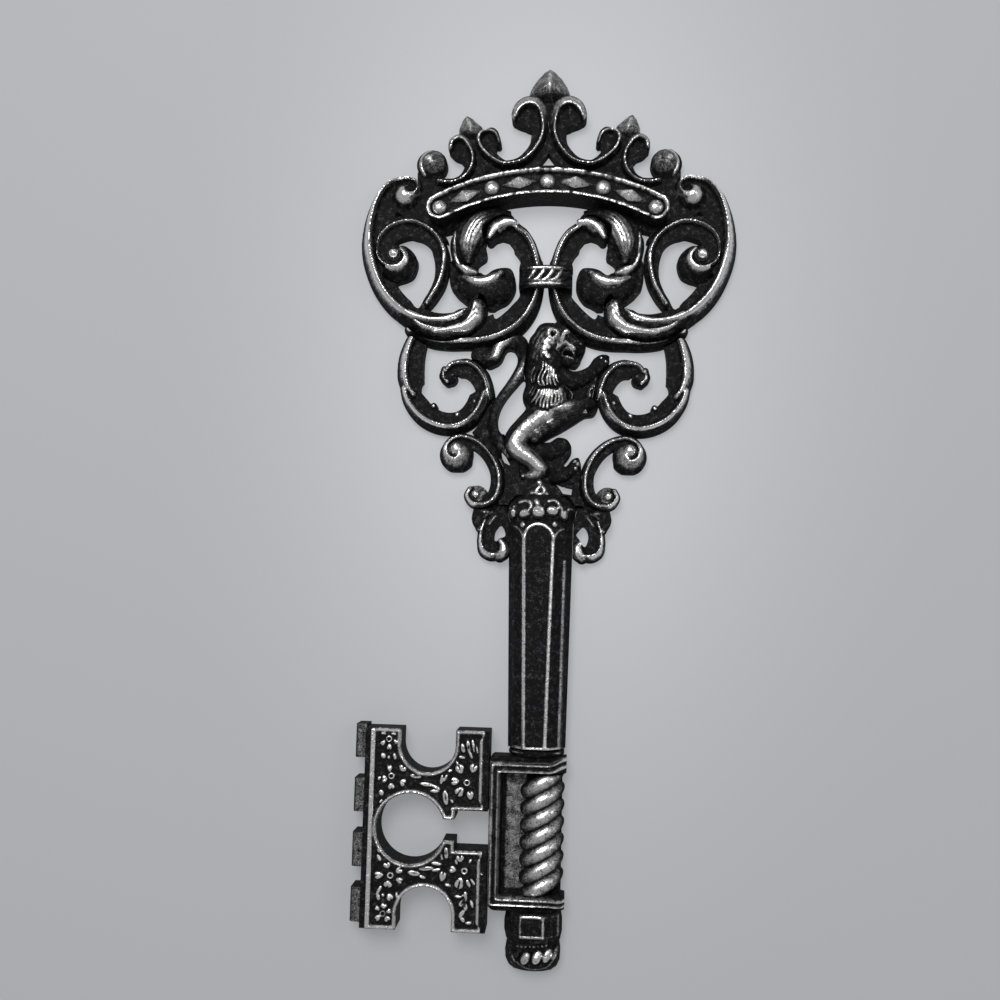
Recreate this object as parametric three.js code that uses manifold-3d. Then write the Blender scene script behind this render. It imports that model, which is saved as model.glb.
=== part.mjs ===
// Decorative wall key in cast metal: a pierced, crowned bow with a rampant lion,
// a tapering half-polygon shank, a framed rope-twist sleeve and a pierced bit with four teeth.
// The key lies on its flat back. X runs across the bow, Y along the key towards the crown
// and Z from the back to the front. Lengths are in millimetres.
import * as THREE from 'three';
import { mergeVertices } from 'three/addons/utils/BufferGeometryUtils.js';
import Module from 'manifold-3d';

const wasm = await Module();
wasm.setup();

// Driving sizes
const seam = 0.3;
const overrun = 2;
const shankLength = 86;
const bowHalfWidth = 76.5;
const bowHeight = 204;
const footScrollDrop = 16.5;
const reliefHeight = 15;

// Scrolled straps: outer = plan width of the slope outside the crest, inner = from the crest to the
// inner wall, edge = height of the outer wall, crest = height of the crest, rim = plan width of
// the crest's inner side, floor = height of the channel
const outerStrap = { outer: 4.9, inner: 11, edge: 1.6, crest: 10, rim: 1.3, floor: 6, bud: 5.6 };
const voluteStrap = {
  outer: 1.8, inner: 7.4, edge: 5, crest: 9.2, rim: 1.2, floor: 5.8, disc: 8.3, ball: 2.7,
};
const innerStrap = { outer: 4, inner: 8.6, edge: 2.4, crest: 9.6, rim: 1.3, floor: 6.2 };
const lowerStrap = { outer: 3.3, inner: 6.4, edge: 2, crest: 8.6, rim: 1.2, floor: 5.6, club: 3.7 };
const sideStrap = { outer: 2, inner: 3.2, edge: 3, crest: 8.2, rim: 1, floor: 5.2 };
const sideVolute = { disc: 6.8, ball: 3.2, smallDisc: 4.7, smallBall: 2, height: 5.6 };
const footStrap = { outer: 2, inner: 4, edge: 2, crest: 6.6, rim: 1, floor: 4.4, ball: 2.6, leafWidth: 3.6 };
const crownStrap = { outer: 2, inner: 4.2, edge: 3, crest: 9, rim: 1, floor: 5.6, curl: 3.7, endCurl: 4.2 };
const wingStrap = { outer: 1.8, inner: 3.2, edge: 3, crest: 8.6, rim: 1, floor: 5.4, curl: 3.8 };
const crownBall = { disc: 6.1, height: 5.4, ball: 3.6 };
const bandBar = { radius: 91.7, halfWidth: 5.1, height: 15, floor: 12.4, rim: 1.5 };
const bandBead = { radius: 2.7, height: 2.2 };
const bandLozenge = { length: 13, width: 4.4, height: 1.7 };
const leaf = { base: 5.6, crown: 11.5 };
const acanthusLobe = { upper: 5.4, crest: 3.2, small: 2.2, lower: 5, outerLeaf: 3.6 };
const bud = { edge: 3, crown: 9.4, sideCrown: 8.4 };
const webHeight = 4.6;
const collarBand = { halfWidth: 10.6, height: 14, length: 8.8, bead: 1.2, shoulder: 9, leg: 1.6, roof: 10.4 };
const lionRelief = { base: 4.8, head: 13.4, body: 12.4, limb: 10.6, paw: 8 };
const lionHead = { width: 13.6, length: 16, muzzleWidth: 9.6, muzzleLength: 8.4 };
const lionHalfWidth = {
  mane: 8.2, body: 5.4, shin: 4, hindFoot: 2.6, foreLeg: 2.8, raisedLeg: 3.4, farLeg: 3.4, farFoot: 2.6,
};
const tailStrap = { halfWidth: 2.3, edge: 4.4, crest: 8.6, tuft: 4.8 };
const pedestalBlock = { height: 6.4, trim: 9 };
const capitalDome = { halfWidth: 13.8, height: 12.8, side: 4.4, length: 10.4, gadroon: 2.7 };
const shankBody = { topHalfWidth: 12.6, footHalfWidth: 11, height: 13.2, rib: 0.8, archRise: 5 };
const tenonSize = { halfWidth: 3, low: 4.5, high: 9, reach: 4 };
const neckRing = { halfWidth: 10.6, height: 12.6, side: 4.2, length: 2.7 };
const sleeveFrame = {
  left: 17.4, right: 11.6, length: 57, height: 14, rim: 4, wall: 6, floor: 3.4, lip: 1.2, groove: 1.4,
  shoulderWidth: 8, shoulderDrop: 7,
};
const tang = { reach: 2.6, halfHeight: 6, low: 4, high: 9, offset: 18 };
const ropeTwist = { halfWidth: 9.3, height: 12.4, side: 5, lift: 1.8, rise: 7 };
const ropeTurns = 7;
const ferruleBody = { halfWidth: 10.9, height: 12.4, length: 10.3, chamfer: 0.7 };
const tipBulb = { halfWidth: 10.4, height: 12, side: 4, length: 12.2, gadroon: 2, gadroonLength: 3.4 };
const bitPlate = { width: 45.3, height: 74, thickness: 12.6, rise: 6, rim: 2, sink: 0.9 };
const bitHole = {
  radius: 13, fromEdge: 16, notch: 10.5, notchFromEdge: 22, notchDepth: 16, slotLength: 12.5,
  slotHeight: 14.7, throat: 7.8,
};
const bitTooth = {
  reach: 6.3, height: 12.6, thickness: 9.5, pitch: 20.3, rise: 1.3, bevel: 1.4, tenon: 2.4, tenonHalf: 3,
};
const toothCount = 4;

// Heights along the key that follow from the sizes above
const bowFoot = shankLength - footScrollDrop;
const neckTop = -seam;
const sleeveTop = neckTop - neckRing.length - seam;
const sleeveFoot = sleeveTop - sleeveFrame.length;
const ferruleTop = sleeveFoot - seam;
const ferruleFoot = ferruleTop - ferruleBody.length;
const tipTop = ferruleFoot - seam;
const capitalFoot = shankLength + seam;
const tall = reliefHeight + overrun;

// Finishes
const silver = new THREE.MeshStandardMaterial({ color: 0x8d8e90, roughness: 0.42, metalness: 0.9 });
const patina = new THREE.MeshStandardMaterial({ color: 0x2b2b2c, roughness: 0.58, metalness: 0.75 });
const halfWorn = new THREE.MeshStandardMaterial({ color: 0x55565a, roughness: 0.5, metalness: 0.85 });

// Routes and outlines of the bow. Each pair is a share of the bow's half width and of its height,
// from the axis and from the lowest curl of the bow; the left half mirrors the right one.
const outerRouteShares = [
  [0.718, 0.735], [0.712, 0.75], [0.735, 0.765], [0.77, 0.767], [0.817, 0.763], [0.869, 0.747],
  [0.909, 0.718], [0.932, 0.681], [0.933, 0.636], [0.906, 0.583], [0.854, 0.543], [0.788, 0.513],
  [0.707, 0.491], [0.611, 0.477], [0.521, 0.475], [0.459, 0.483], [0.433, 0.493],
];
const outerInnerShares = [0.3, 0.45, 0.9, 1, 0.8, 0.6, 0.45, 0.4, 0.35, 0.3];
const outerWidthShares = [0.7, 1, 1, 1, 1, 1, 0.9, 0.6, 0.4, 0.4];
const outerBudShares = [0.762, 0.735];
const outerLeafShares = [
  [0.73, 0.497], [0.66, 0.478], [0.59, 0.467], [0.52, 0.464], [0.442, 0.469], [0.391, 0.48],
  [0.355, 0.498], [0.337, 0.515],
];
const outerLeafWidthShares = [0.35, 0.6, 0.8, 0.9, 1, 1.1, 1, 0.7];
const outerWebShares = [
  [0.93, 0.66], [0.9, 0.72], [0.8, 0.75], [0.7, 0.75], [0.66, 0.72], [0.56, 0.7], [0.5, 0.685],
  [0.5, 0.65], [0.53, 0.64], [0.56, 0.655], [0.64, 0.66], [0.75, 0.67], [0.86, 0.65],
];
const voluteRouteShares = [
  [0.787, 0.593], [0.83, 0.588], [0.873, 0.597], [0.897, 0.618], [0.893, 0.644], [0.863, 0.665],
  [0.816, 0.677], [0.758, 0.681], [0.699, 0.679], [0.634, 0.669], [0.585, 0.652], [0.551, 0.628],
  [0.543, 0.593], [0.566, 0.553], [0.606, 0.522], [0.641, 0.502],
];
const voluteInnerShares = [0.3, 0.35, 0.5, 0.75, 0.85, 0.8, 0.7, 0.7, 0.75, 0.8];
const voluteOuterShares = [0.4, 0.5, 0.5, 0.6, 1, 1.1, 1.1, 1.3, 1.3, 1.2];
const voluteHeadShares = [0.798, 0.598];
const voluteBallShares = [0.808, 0.615];
const innerRouteShares = [
  [0.705, 0.462], [0.6, 0.443], [0.502, 0.436], [0.414, 0.436], [0.335, 0.44], [0.258, 0.448],
  [0.18, 0.46], [0.119, 0.48], [0.079, 0.506], [0.052, 0.536], [0.044, 0.562], [0.055, 0.592],
  [0.086, 0.626], [0.124, 0.653], [0.183, 0.665], [0.24, 0.661], [0.284, 0.645],
];
const innerInnerShares = [0.7, 0.8, 0.9, 1, 1, 1, 0.95, 0.85, 0.85, 0.8, 0.6, 0.3];
const innerOuterShares = [0.75, 0.8, 0.8, 0.8, 0.9, 1, 0.9, 0.7, 0.7, 0.9, 1, 0.8];
const acanthusUpperShares = [
  [0.17, 0.69], [0.24, 0.7], [0.33, 0.699], [0.42, 0.685], [0.48, 0.664], [0.51, 0.64], [0.5, 0.605],
  [0.47, 0.59], [0.41, 0.583], [0.35, 0.588], [0.315, 0.61], [0.325, 0.64], [0.31, 0.668], [0.24, 0.684],
];
const upperLobeShares = [
  [0.215, 0.687], [0.28, 0.686], [0.345, 0.676], [0.391, 0.655], [0.41, 0.634], [0.4, 0.606],
];
const upperLobeWidthShares = [0.5, 0.8, 1, 1.05, 0.85, 0.25];
const crestLobeShares = [[0.17, 0.672], [0.222, 0.672], [0.27, 0.66], [0.298, 0.642]];
const crestLobeWidthShares = [0.6, 1, 1.1, 0.5];
const acanthusLowerShares = [
  [0.5, 0.6], [0.51, 0.57], [0.5, 0.545], [0.465, 0.528], [0.411, 0.512], [0.35, 0.507],
  [0.272, 0.502], [0.213, 0.513], [0.17, 0.532], [0.158, 0.552], [0.165, 0.572], [0.19, 0.586],
  [0.24, 0.588], [0.3, 0.58], [0.36, 0.575], [0.43, 0.575],
];
const smallLobeShares = [[0.487, 0.65], [0.484, 0.617], [0.456, 0.592], [0.412, 0.577], [0.37, 0.574]];
const smallLobeWidthShares = [0.4, 0.7, 1, 1.1, 0.4];
const lowerLobeShares = [
  [0.462, 0.578], [0.43, 0.56], [0.37, 0.547], [0.31, 0.541], [0.255, 0.543], [0.218, 0.551],
];
const lowerLobeWidthShares = [0.25, 0.55, 0.85, 1.1, 1.25, 1.05];
const lowerRouteShares = [
  [0.7, 0.456], [0.726, 0.43], [0.738, 0.4], [0.734, 0.37], [0.711, 0.34], [0.672, 0.316],
  [0.623, 0.295], [0.564, 0.277], [0.501, 0.27], [0.439, 0.272], [0.388, 0.282], [0.348, 0.302],
  [0.32, 0.326], [0.316, 0.353], [0.342, 0.375], [0.385, 0.387], [0.432, 0.391], [0.474, 0.385],
  [0.504, 0.37],
];
const lowerInnerShares = [0.8, 0.9, 1, 0.95, 0.8, 0.8, 0.75, 0.8, 0.8, 0.7];
const lowerOuterShares = [1, 1, 1, 1, 1, 1, 1, 0.9, 0.7, 0.5];
const lowerClubShares = [0.492, 0.372];
const sideRouteShares = [
  [0.45, 0.244], [0.411, 0.247], [0.354, 0.239], [0.295, 0.222], [0.253, 0.201], [0.228, 0.177],
  [0.226, 0.15], [0.245, 0.132], [0.283, 0.121], [0.325, 0.12],
];
const sideInnerShares = [0.8, 1, 1, 1, 1, 1.05, 1];
const sideVoluteShares = [0.448, 0.217];
const sideSmallShares = [0.337, 0.13];
const footRouteShares = [
  [0.273, 0.094], [0.308, 0.077], [0.306, 0.05], [0.284, 0.029], [0.248, 0.018], [0.215, 0.021],
];
const footBallShares = [0.207, 0.033];
const footLeafShares = [[0.26, 0.122], [0.3, 0.106], [0.322, 0.086], [0.318, 0.068]];
const footLeafWidthShares = [0.9, 1, 0.8, 0.4];
const footInnerShares = [0.9, 1, 0.9, 0.6];
const footWebShares = [
  [0.29, 0.115], [0.3, 0.09], [0.3, 0.05], [0.27, 0.03], [0.22, 0.021], [0.15, 0.035], [0.15, 0.115],
];
const crownRouteShares = [
  [0.166, 0.89], [0.162, 0.905], [0.14, 0.917], [0.103, 0.922], [0.06, 0.914], [0.038, 0.893],
  [0.042, 0.868], [0.061, 0.839], [0.097, 0.818], [0.16, 0.803], [0.234, 0.797], [0.298, 0.804],
  [0.347, 0.823], [0.366, 0.845], [0.352, 0.86], [0.318, 0.866],
];
const crownCurlShares = [0.13, 0.899];
const crownEndShares = [0.31, 0.85];
const crownInnerShares = [0.7, 0.8, 1, 1, 1, 0.95, 0.9, 0.9, 0.8, 0.7];
const wingRouteShares = [
  [0.513, 0.834], [0.488, 0.846], [0.455, 0.842], [0.424, 0.825], [0.412, 0.807], [0.424, 0.786],
  [0.461, 0.772], [0.519, 0.763], [0.575, 0.768],
];
const wingInnerShares = [0.7, 1, 1, 1, 1];
const wingCurlShares = [0.483, 0.825];
const crownBallShares = [0.628, 0.799];
const sideBudShares = [
  [0.378, 0.868], [0.38, 0.89], [0.41, 0.902], [0.436, 0.906], [0.46, 0.9], [0.478, 0.884],
  [0.48, 0.86], [0.43, 0.848],
];
const finialShares = [
  [0, 0.937], [0.07, 0.936], [0.113, 0.946], [0.103, 0.962], [0.076, 0.981], [0.035, 0.997], [0, 1.003],
];
const crownWebShares = [
  [0.06, 0.95], [0.04, 0.905], [0.038, 0.87], [0.06, 0.835], [0.1, 0.812], [0.16, 0.799], [0.234, 0.793],
  [0.3, 0.8], [0.347, 0.823], [0.36, 0.86], [0.42, 0.87], [0.44, 0.85], [0.412, 0.81], [0.424, 0.785],
  [0.461, 0.768], [0.52, 0.759], [0.585, 0.765], [0.62, 0.79], [0.7, 0.79], [0.7, 0.72], [0.5, 0.7],
  [0.3, 0.73],
];
const crownWebHeadShares = [0, 0.95];
const crownWebFootShares = [0, 0.745];
const bandRiseShare = 0.7475;
const bandChordShare = 0.562;
const collarShare = 0.5585;
const evenShares = [1, 1];

// Openings of the pierced bow, right half of the pairs that mirror
const voluteOpeningShares = [
  [0.797, 0.641], [0.749, 0.646], [0.695, 0.647], [0.651, 0.641], [0.618, 0.629], [0.6, 0.61],
  [0.588, 0.589], [0.591, 0.563], [0.616, 0.538], [0.641, 0.522], [0.672, 0.503], [0.733, 0.528],
  [0.794, 0.554], [0.747, 0.561], [0.71, 0.569], [0.69, 0.585], [0.686, 0.602], [0.703, 0.616],
  [0.742, 0.63],
];
const innerOpeningShares = [
  [0.363, 0.59], [0.316, 0.606], [0.29, 0.616], [0.264, 0.626], [0.227, 0.629], [0.19, 0.627],
  [0.157, 0.616], [0.135, 0.6], [0.141, 0.584], [0.141, 0.563], [0.139, 0.543], [0.136, 0.527],
  [0.172, 0.51], [0.213, 0.494], [0.26, 0.482], [0.272, 0.5], [0.241, 0.509], [0.204, 0.516],
  [0.173, 0.531], [0.158, 0.549], [0.165, 0.569], [0.187, 0.584], [0.23, 0.586], [0.277, 0.582],
  [0.324, 0.571],
];
const cornerHoleShares = [[0.802, 0.701], [0.818, 0.691], [0.791, 0.689], [0.758, 0.691]];
const wedgeHoleShares = [[0.55, 0.658], [0.486, 0.664], [0.501, 0.649], [0.522, 0.641]];
const leafHoleShares = [
  [0.499, 0.544], [0.465, 0.528], [0.411, 0.512], [0.431, 0.502], [0.495, 0.498], [0.559, 0.497],
];
const crownHoleShares = [[0, 0.823], [0.05, 0.798], [-0.05, 0.798]];
const bandOpeningShares = [
  [0, 0.707], [0.077, 0.706], [0.151, 0.703], [0.226, 0.697], [0.16, 0.684], [0.111, 0.668],
  [0.059, 0.637], [0.026, 0.604], [0, 0.594],
];
const tailOpeningShares = [
  [-0.105, 0.363], [-0.094, 0.352], [-0.109, 0.334], [-0.108, 0.32], [-0.092, 0.306], [-0.132, 0.286],
  [-0.173, 0.268], [-0.208, 0.252], [-0.23, 0.263], [-0.237, 0.283], [-0.222, 0.305], [-0.192, 0.325],
  [-0.146, 0.347],
];
const heelHoleShares = [[0.088, 0.153], [0.15, 0.155], [0.156, 0.14], [0.135, 0.14], [0.104, 0.145]];
const footHoleShares = [[0.218, 0.075], [0.186, 0.058], [0.227, 0.046], [0.242, 0.052]];

// The lion rears up and faces right; the tail curls up behind its back
const lionOutlineShares = [
  [-0.022, 0.474], [0.03, 0.477], [0.067, 0.474], [0.14, 0.455], [0.19, 0.437], [0.214, 0.432],
  [0.196, 0.408], [0.16, 0.388], [0.118, 0.39], [0.13, 0.38], [0.171, 0.377], [0.228, 0.385],
  [0.259, 0.403], [0.289, 0.413], [0.336, 0.411], [0.32, 0.38], [0.295, 0.35], [0.29, 0.32],
  [0.263, 0.293], [0.216, 0.289], [0.15, 0.273], [0.078, 0.257], [0.011, 0.247], [-0.036, 0.241],
  [-0.036, 0.237], [-0.015, 0.233], [0.037, 0.239], [0.078, 0.249], [0.12, 0.245], [0.146, 0.234],
  [0.147, 0.218], [0.127, 0.204], [0.107, 0.194], [0.122, 0.192], [0.153, 0.206], [0.185, 0.21],
  [0.2, 0.19], [0.2, 0.165], [0.13, 0.155], [0.04, 0.155], [-0.03, 0.17], [-0.11, 0.17], [-0.12, 0.2],
  [-0.16, 0.22], [-0.2, 0.245], [-0.173, 0.268], [-0.132, 0.286], [-0.092, 0.306], [-0.108, 0.32],
  [-0.109, 0.334], [-0.094, 0.352], [-0.105, 0.375], [-0.094, 0.405], [-0.083, 0.438], [-0.053, 0.458],
];
const lionHeadShares = [0.035, 0.437];
const lionMuzzleShares = [0.133, 0.429];
const maneWidthShares = [0.8, 0.85, 0.95, 1.15, 0.8];
const bodyWidthShares = [1.3, 1.1, 0.95, 0.95, 0.7];
const limbWidthShares = [1.15, 1, 0.9, 0.8];
const maneShares = [[0.01, 0.43], [0.002, 0.4], [0.004, 0.37], [0.014, 0.335], [0.02, 0.308]];
const bodyShares = [[0.02, 0.325], [0.01, 0.3], [-0.05, 0.277], [-0.11, 0.255], [-0.13, 0.235]];
const shinShares = [[-0.13, 0.245], [-0.1, 0.22], [-0.05, 0.2], [-0.01, 0.183]];
const hindFootShares = [[0, 0.181], [-0.05, 0.173], [-0.1, 0.172]];
const foreLegShares = [[0.03, 0.305], [0.1, 0.31], [0.17, 0.318], [0.22, 0.34]];
const raisedLegShares = [[0.09, 0.37], [0.17, 0.366], [0.24, 0.38], [0.3, 0.4]];
const farLegShares = [[-0.01, 0.22], [0.05, 0.222], [0.1, 0.232]];
const farFootShares = [[0.07, 0.17], [0.13, 0.178], [0.17, 0.195]];
const tailRouteShares = [
  [-0.33, 0.4], [-0.352, 0.418], [-0.315, 0.433], [-0.232, 0.437], [-0.17, 0.44], [-0.125, 0.43],
  [-0.108, 0.411], [-0.12, 0.39], [-0.16, 0.364], [-0.21, 0.34], [-0.25, 0.314], [-0.265, 0.287],
  [-0.258, 0.259], [-0.222, 0.232], [-0.18, 0.212],
];
const tuftShares = [-0.335, 0.408];
const tailWebShares = [
  [-0.24, 0.31], [-0.3, 0.31], [-0.34, 0.27], [-0.37, 0.256], [-0.31, 0.235], [-0.26, 0.21], [-0.2, 0.205],
  [-0.21, 0.26],
];
const pedestalShares = [
  [-0.2, 0.118], [0.2, 0.118], [0.21, 0.15], [0.21, 0.2], [0.1, 0.2], [-0.1, 0.2], [-0.22, 0.262],
  [-0.32, 0.262], [-0.26, 0.2], [-0.21, 0.17],
];
const pedestalTrimShares = [[-0.055, 0.135], [0, 0.168], [0.055, 0.135]];

// Helpers for places on the bow
const onBow = (pair, side = 1) => new THREE.Vector2(
  side * pair[0] * bowHalfWidth,
  bowFoot + pair[1] * bowHeight,
);
const outlineOnBow = (pairs, side = 1) => pairs.map((pair) => onBow(pair, side));

// Right half of an outline, closed by its mirror image
function mirrored(pairs) {
  const offAxis = pairs.filter((pair) => pair[0] > 0).reverse();
  return [...pairs, ...offAxis.map((pair) => [-pair[0], pair[1]])];
}

function routeOnBow(pairs, side = 1) {
  const points = outlineOnBow(pairs, side).map((p) => new THREE.Vector3(p.x, p.y, 0));
  return new THREE.CatmullRomCurve3(points, false, 'centripetal');
}

// Value at t of a list spread evenly from 0 to 1
function along(list, t) {
  const place = t * (list.length - 1);
  const index = Math.min(Math.floor(place), list.length - 2);
  return THREE.MathUtils.lerp(list[index], list[index + 1], place - index);
}

// Solids from meshes and back
function solidOf(geometry) {
  const bare = geometry.clone();
  bare.deleteAttribute('normal');
  bare.deleteAttribute('uv');
  const merged = mergeVertices(bare);
  const mesh = new wasm.Mesh({
    numProp: 3,
    vertProperties: new Float32Array(merged.attributes.position.array),
    triVerts: new Uint32Array(merged.index.array),
  });
  return new wasm.Manifold(mesh);
}

function geometryOf(solid) {
  const mesh = solid.getMesh();
  const geometry = new THREE.BufferGeometry();
  geometry.setAttribute('position', new THREE.BufferAttribute(new Float32Array(mesh.vertProperties), 3));
  geometry.setIndex(new THREE.BufferAttribute(new Uint32Array(mesh.triVerts), 1));
  geometry.computeVertexNormals();
  return geometry;
}

// Closed skin over rings of equal point count; flat holds the first ring's points in its own plane
function loft(rings, flat) {
  const count = rings[0].length;
  const index = [];
  for (let row = 0; row < rings.length - 1; row += 1) {
    for (let k = 0; k < count; k += 1) {
      const a = row * count + k;
      const b = row * count + ((k + 1) % count);
      index.push(a, b, b + count, a, b + count, a + count);
    }
  }
  const last = (rings.length - 1) * count;
  const clockwise = THREE.ShapeUtils.isClockWise(flat);
  for (const triangle of THREE.ShapeUtils.triangulateShape(flat, [])) {
    const [a, b, c] = clockwise ? triangle.reverse() : triangle;
    index.push(a, c, b, last + a, last + b, last + c);
  }
  const points = rings.flat();
  const geometry = new THREE.BufferGeometry().setFromPoints(points);
  let volume = 0;
  for (let i = 0; i < index.length; i += 3) {
    const [a, b, c] = [points[index[i]], points[index[i + 1]], points[index[i + 2]]];
    volume += a.dot(b.clone().cross(c));
  }
  geometry.setIndex(volume > 0 ? index : index.reverse());
  return geometry;
}

// Sweep of a section along a plan route; section(t) gives pairs of offset from the route and height
function sweep(curve, steps, section, hand) {
  const rings = [];
  for (let i = 0; i <= steps; i += 1) {
    const t = i / steps;
    const point = curve.getPointAt(t);
    const ahead = curve.getTangentAt(t);
    const ring = section(t).map(([offset, height]) => new THREE.Vector3(
      point.x + hand * ahead.y * offset,
      point.y - hand * ahead.x * offset,
      height,
    ));
    rings.push(ring);
  }
  return loft(rings, section(0).map(([offset, height]) => new THREE.Vector2(offset, height)));
}

// Each form is a body and the shadow that it clears in whatever lies below it
const bareShadow = (body) => ({ body, shadow: body });

function plate(outline, low, high) {
  const geometry = new THREE.ExtrudeGeometry(new THREE.Shape(outline), {
    depth: high - low, bevelEnabled: false, curveSegments: 1,
  });
  return solidOf(geometry.translate(0, 0, low));
}

function block(x0, x1, y0, y1, z0, z1) {
  const box = new THREE.BoxGeometry(x1 - x0, y1 - y0, z1 - z0);
  return solidOf(box.translate((x0 + x1) / 2, (y0 + y1) / 2, (z0 + z1) / 2));
}

// Outline moved outwards by a distance
function grown(outline, distance) {
  const sense = Math.sign(THREE.ShapeUtils.area(outline));
  return outline.map((point, k) => {
    const before = outline[(k + outline.length - 1) % outline.length];
    const after = outline[(k + 1) % outline.length];
    const run = after.clone().sub(before).normalize();
    return new THREE.Vector2(point.x + sense * run.y * distance, point.y - sense * run.x * distance);
  });
}

function slab(outline, height) {
  return { body: plate(outline, 0, height), shadow: plate(grown(outline, seam), -overrun, tall) };
}

function circle(centre, radius, sides) {
  const points = [];
  for (let k = 0; k < sides; k += 1) {
    const turn = (k / sides) * 2 * Math.PI;
    points.push(new THREE.Vector2(centre.x + radius * Math.cos(turn), centre.y + radius * Math.sin(turn)));
  }
  return points;
}

// Channelled strap with a crest along its route
function strap(pairs, side, turn, size, steps, outerShares, innerShares) {
  const curve = routeOnBow(pairs, side);
  const hand = turn * side;
  const section = (t) => {
    const outer = size.outer * along(outerShares, t);
    const inner = size.inner * along(innerShares, t);
    return [
      [outer, 0], [outer, size.edge], [0, size.crest],
      [-size.rim, size.floor], [-inner, size.floor], [-inner, 0],
    ];
  };
  const clear = (t) => {
    const outer = size.outer * along(outerShares, t) + seam;
    const inner = size.inner * along(innerShares, t) + seam;
    return [[outer, -overrun], [outer, tall], [-inner, tall], [-inner, -overrun]];
  };
  return {
    body: solidOf(sweep(curve, steps, section, hand)),
    shadow: solidOf(sweep(curve, steps, clear, hand)),
  };
}

// Rounded lobe that swells and tapers along its route
const lobeShoulderShare = 0.72;
const lobeCheekShare = 0.8;
function lobe(pairs, side, halfWidth, crest, steps, widthShares, edge = leaf.base) {
  const curve = routeOnBow(pairs, side);
  const section = (t) => {
    const width = halfWidth * along(widthShares, t);
    const cheek = edge + (crest - edge) * lobeCheekShare;
    return [
      [width, 0], [width, edge], [width * lobeShoulderShare, cheek], [0, crest],
      [-width * lobeShoulderShare, cheek], [-width, edge], [-width, 0],
    ];
  };
  const clear = (t) => {
    const width = halfWidth * along(widthShares, t) + seam;
    return [[width, -overrun], [width, tall], [-width, tall], [-width, -overrun]];
  };
  return {
    body: solidOf(sweep(curve, steps, section, side)),
    shadow: solidOf(sweep(curve, steps, clear, side)),
  };
}

// Disc with a flattened ball on its face
const discSides = 16;
const ballFlattenShare = 0.8;
function boss(centre, radius, height, ballCentre, ballRadius) {
  const base = plate(circle(centre, radius, discSides), 0, height);
  const ball = new THREE.SphereGeometry(ballRadius, 10, 6);
  ball.scale(1, 1, ballFlattenShare).translate(ballCentre.x, ballCentre.y, height);
  return {
    body: base.add(solidOf(ball)),
    shadow: plate(circle(centre, radius + seam, discSides), -overrun, tall),
  };
}

// Domed form over an outline, from an edge height to a crown above its middle
const domeRings = 3;
function dome(outline, edge, crown, low = 0) {
  const middle = outline.reduce((sum, p) => sum.add(p), new THREE.Vector2()).divideScalar(outline.length);
  const ring = (share, height) => outline.map((p) => new THREE.Vector3(
    middle.x + (p.x - middle.x) * share,
    middle.y + (p.y - middle.y) * share,
    height,
  ));
  const rings = [ring(1, low)];
  for (let k = 0; k < domeRings; k += 1) {
    const turn = (k / domeRings) * (Math.PI / 2);
    rings.push(ring(Math.cos(turn), edge + (crown - edge) * Math.sin(turn)));
  }
  return solidOf(loft(rings, outline));
}

function rounded(centre, radiusX, radiusY, height, low) {
  const ball = new THREE.SphereGeometry(1, 12, 8);
  ball.scale(radiusX, radiusY, height - low).translate(centre.x, centre.y, low);
  return solidOf(ball);
}

const joined = (forms) => ({
  body: wasm.Manifold.union(forms.map((form) => form.body)),
  shadow: wasm.Manifold.union(forms.map((form) => form.shadow)),
});

// Largest lump of a cut solid, without the slivers beyond the cut
function largest(solid) {
  const lumps = solid.decompose();
  return lumps.reduce((best, lump) => (lump.volume() > best.volume() ? lump : best));
}

// Pieces are laid from the front of the relief to the back: each one gives way to those before it
const key = new THREE.Group();
const laid = [];
const openings = [];
const ground = block(-bowHeight, bowHeight, -bowHeight * 2, bowHeight * 2, -tall, 0);
function lay(name, material, form, options = {}) {
  let body = form.body.subtract(ground);
  for (const opening of options.whole ? [] : openings) body = body.subtract(opening);
  for (const above of laid) {
    if (!options.over || !options.over.includes(above.name)) body = body.subtract(above.shadow);
  }
  body = largest(body);
  laid.push({ name, shadow: form.shadow });
  const mesh = new THREE.Mesh(geometryOf(body), material);
  mesh.name = name;
  key.add(mesh);
}

const sides = [['left', -1], ['right', 1]];

// Openings through the bow
const pairedOpeningShares = [
  voluteOpeningShares, innerOpeningShares, cornerHoleShares, wedgeHoleShares, leafHoleShares, footHoleShares,
];
for (const [, side] of sides) {
  for (const pairs of pairedOpeningShares) openings.push(plate(outlineOnBow(pairs, side), -overrun, tall));
}
openings.push(plate(outlineOnBow(crownHoleShares), -overrun, tall));
openings.push(plate(outlineOnBow(mirrored(bandOpeningShares)), -overrun, tall));
openings.push(plate(outlineOnBow(tailOpeningShares), -overrun, tall));
openings.push(plate(outlineOnBow(heelHoleShares), -overrun, tall));

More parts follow.
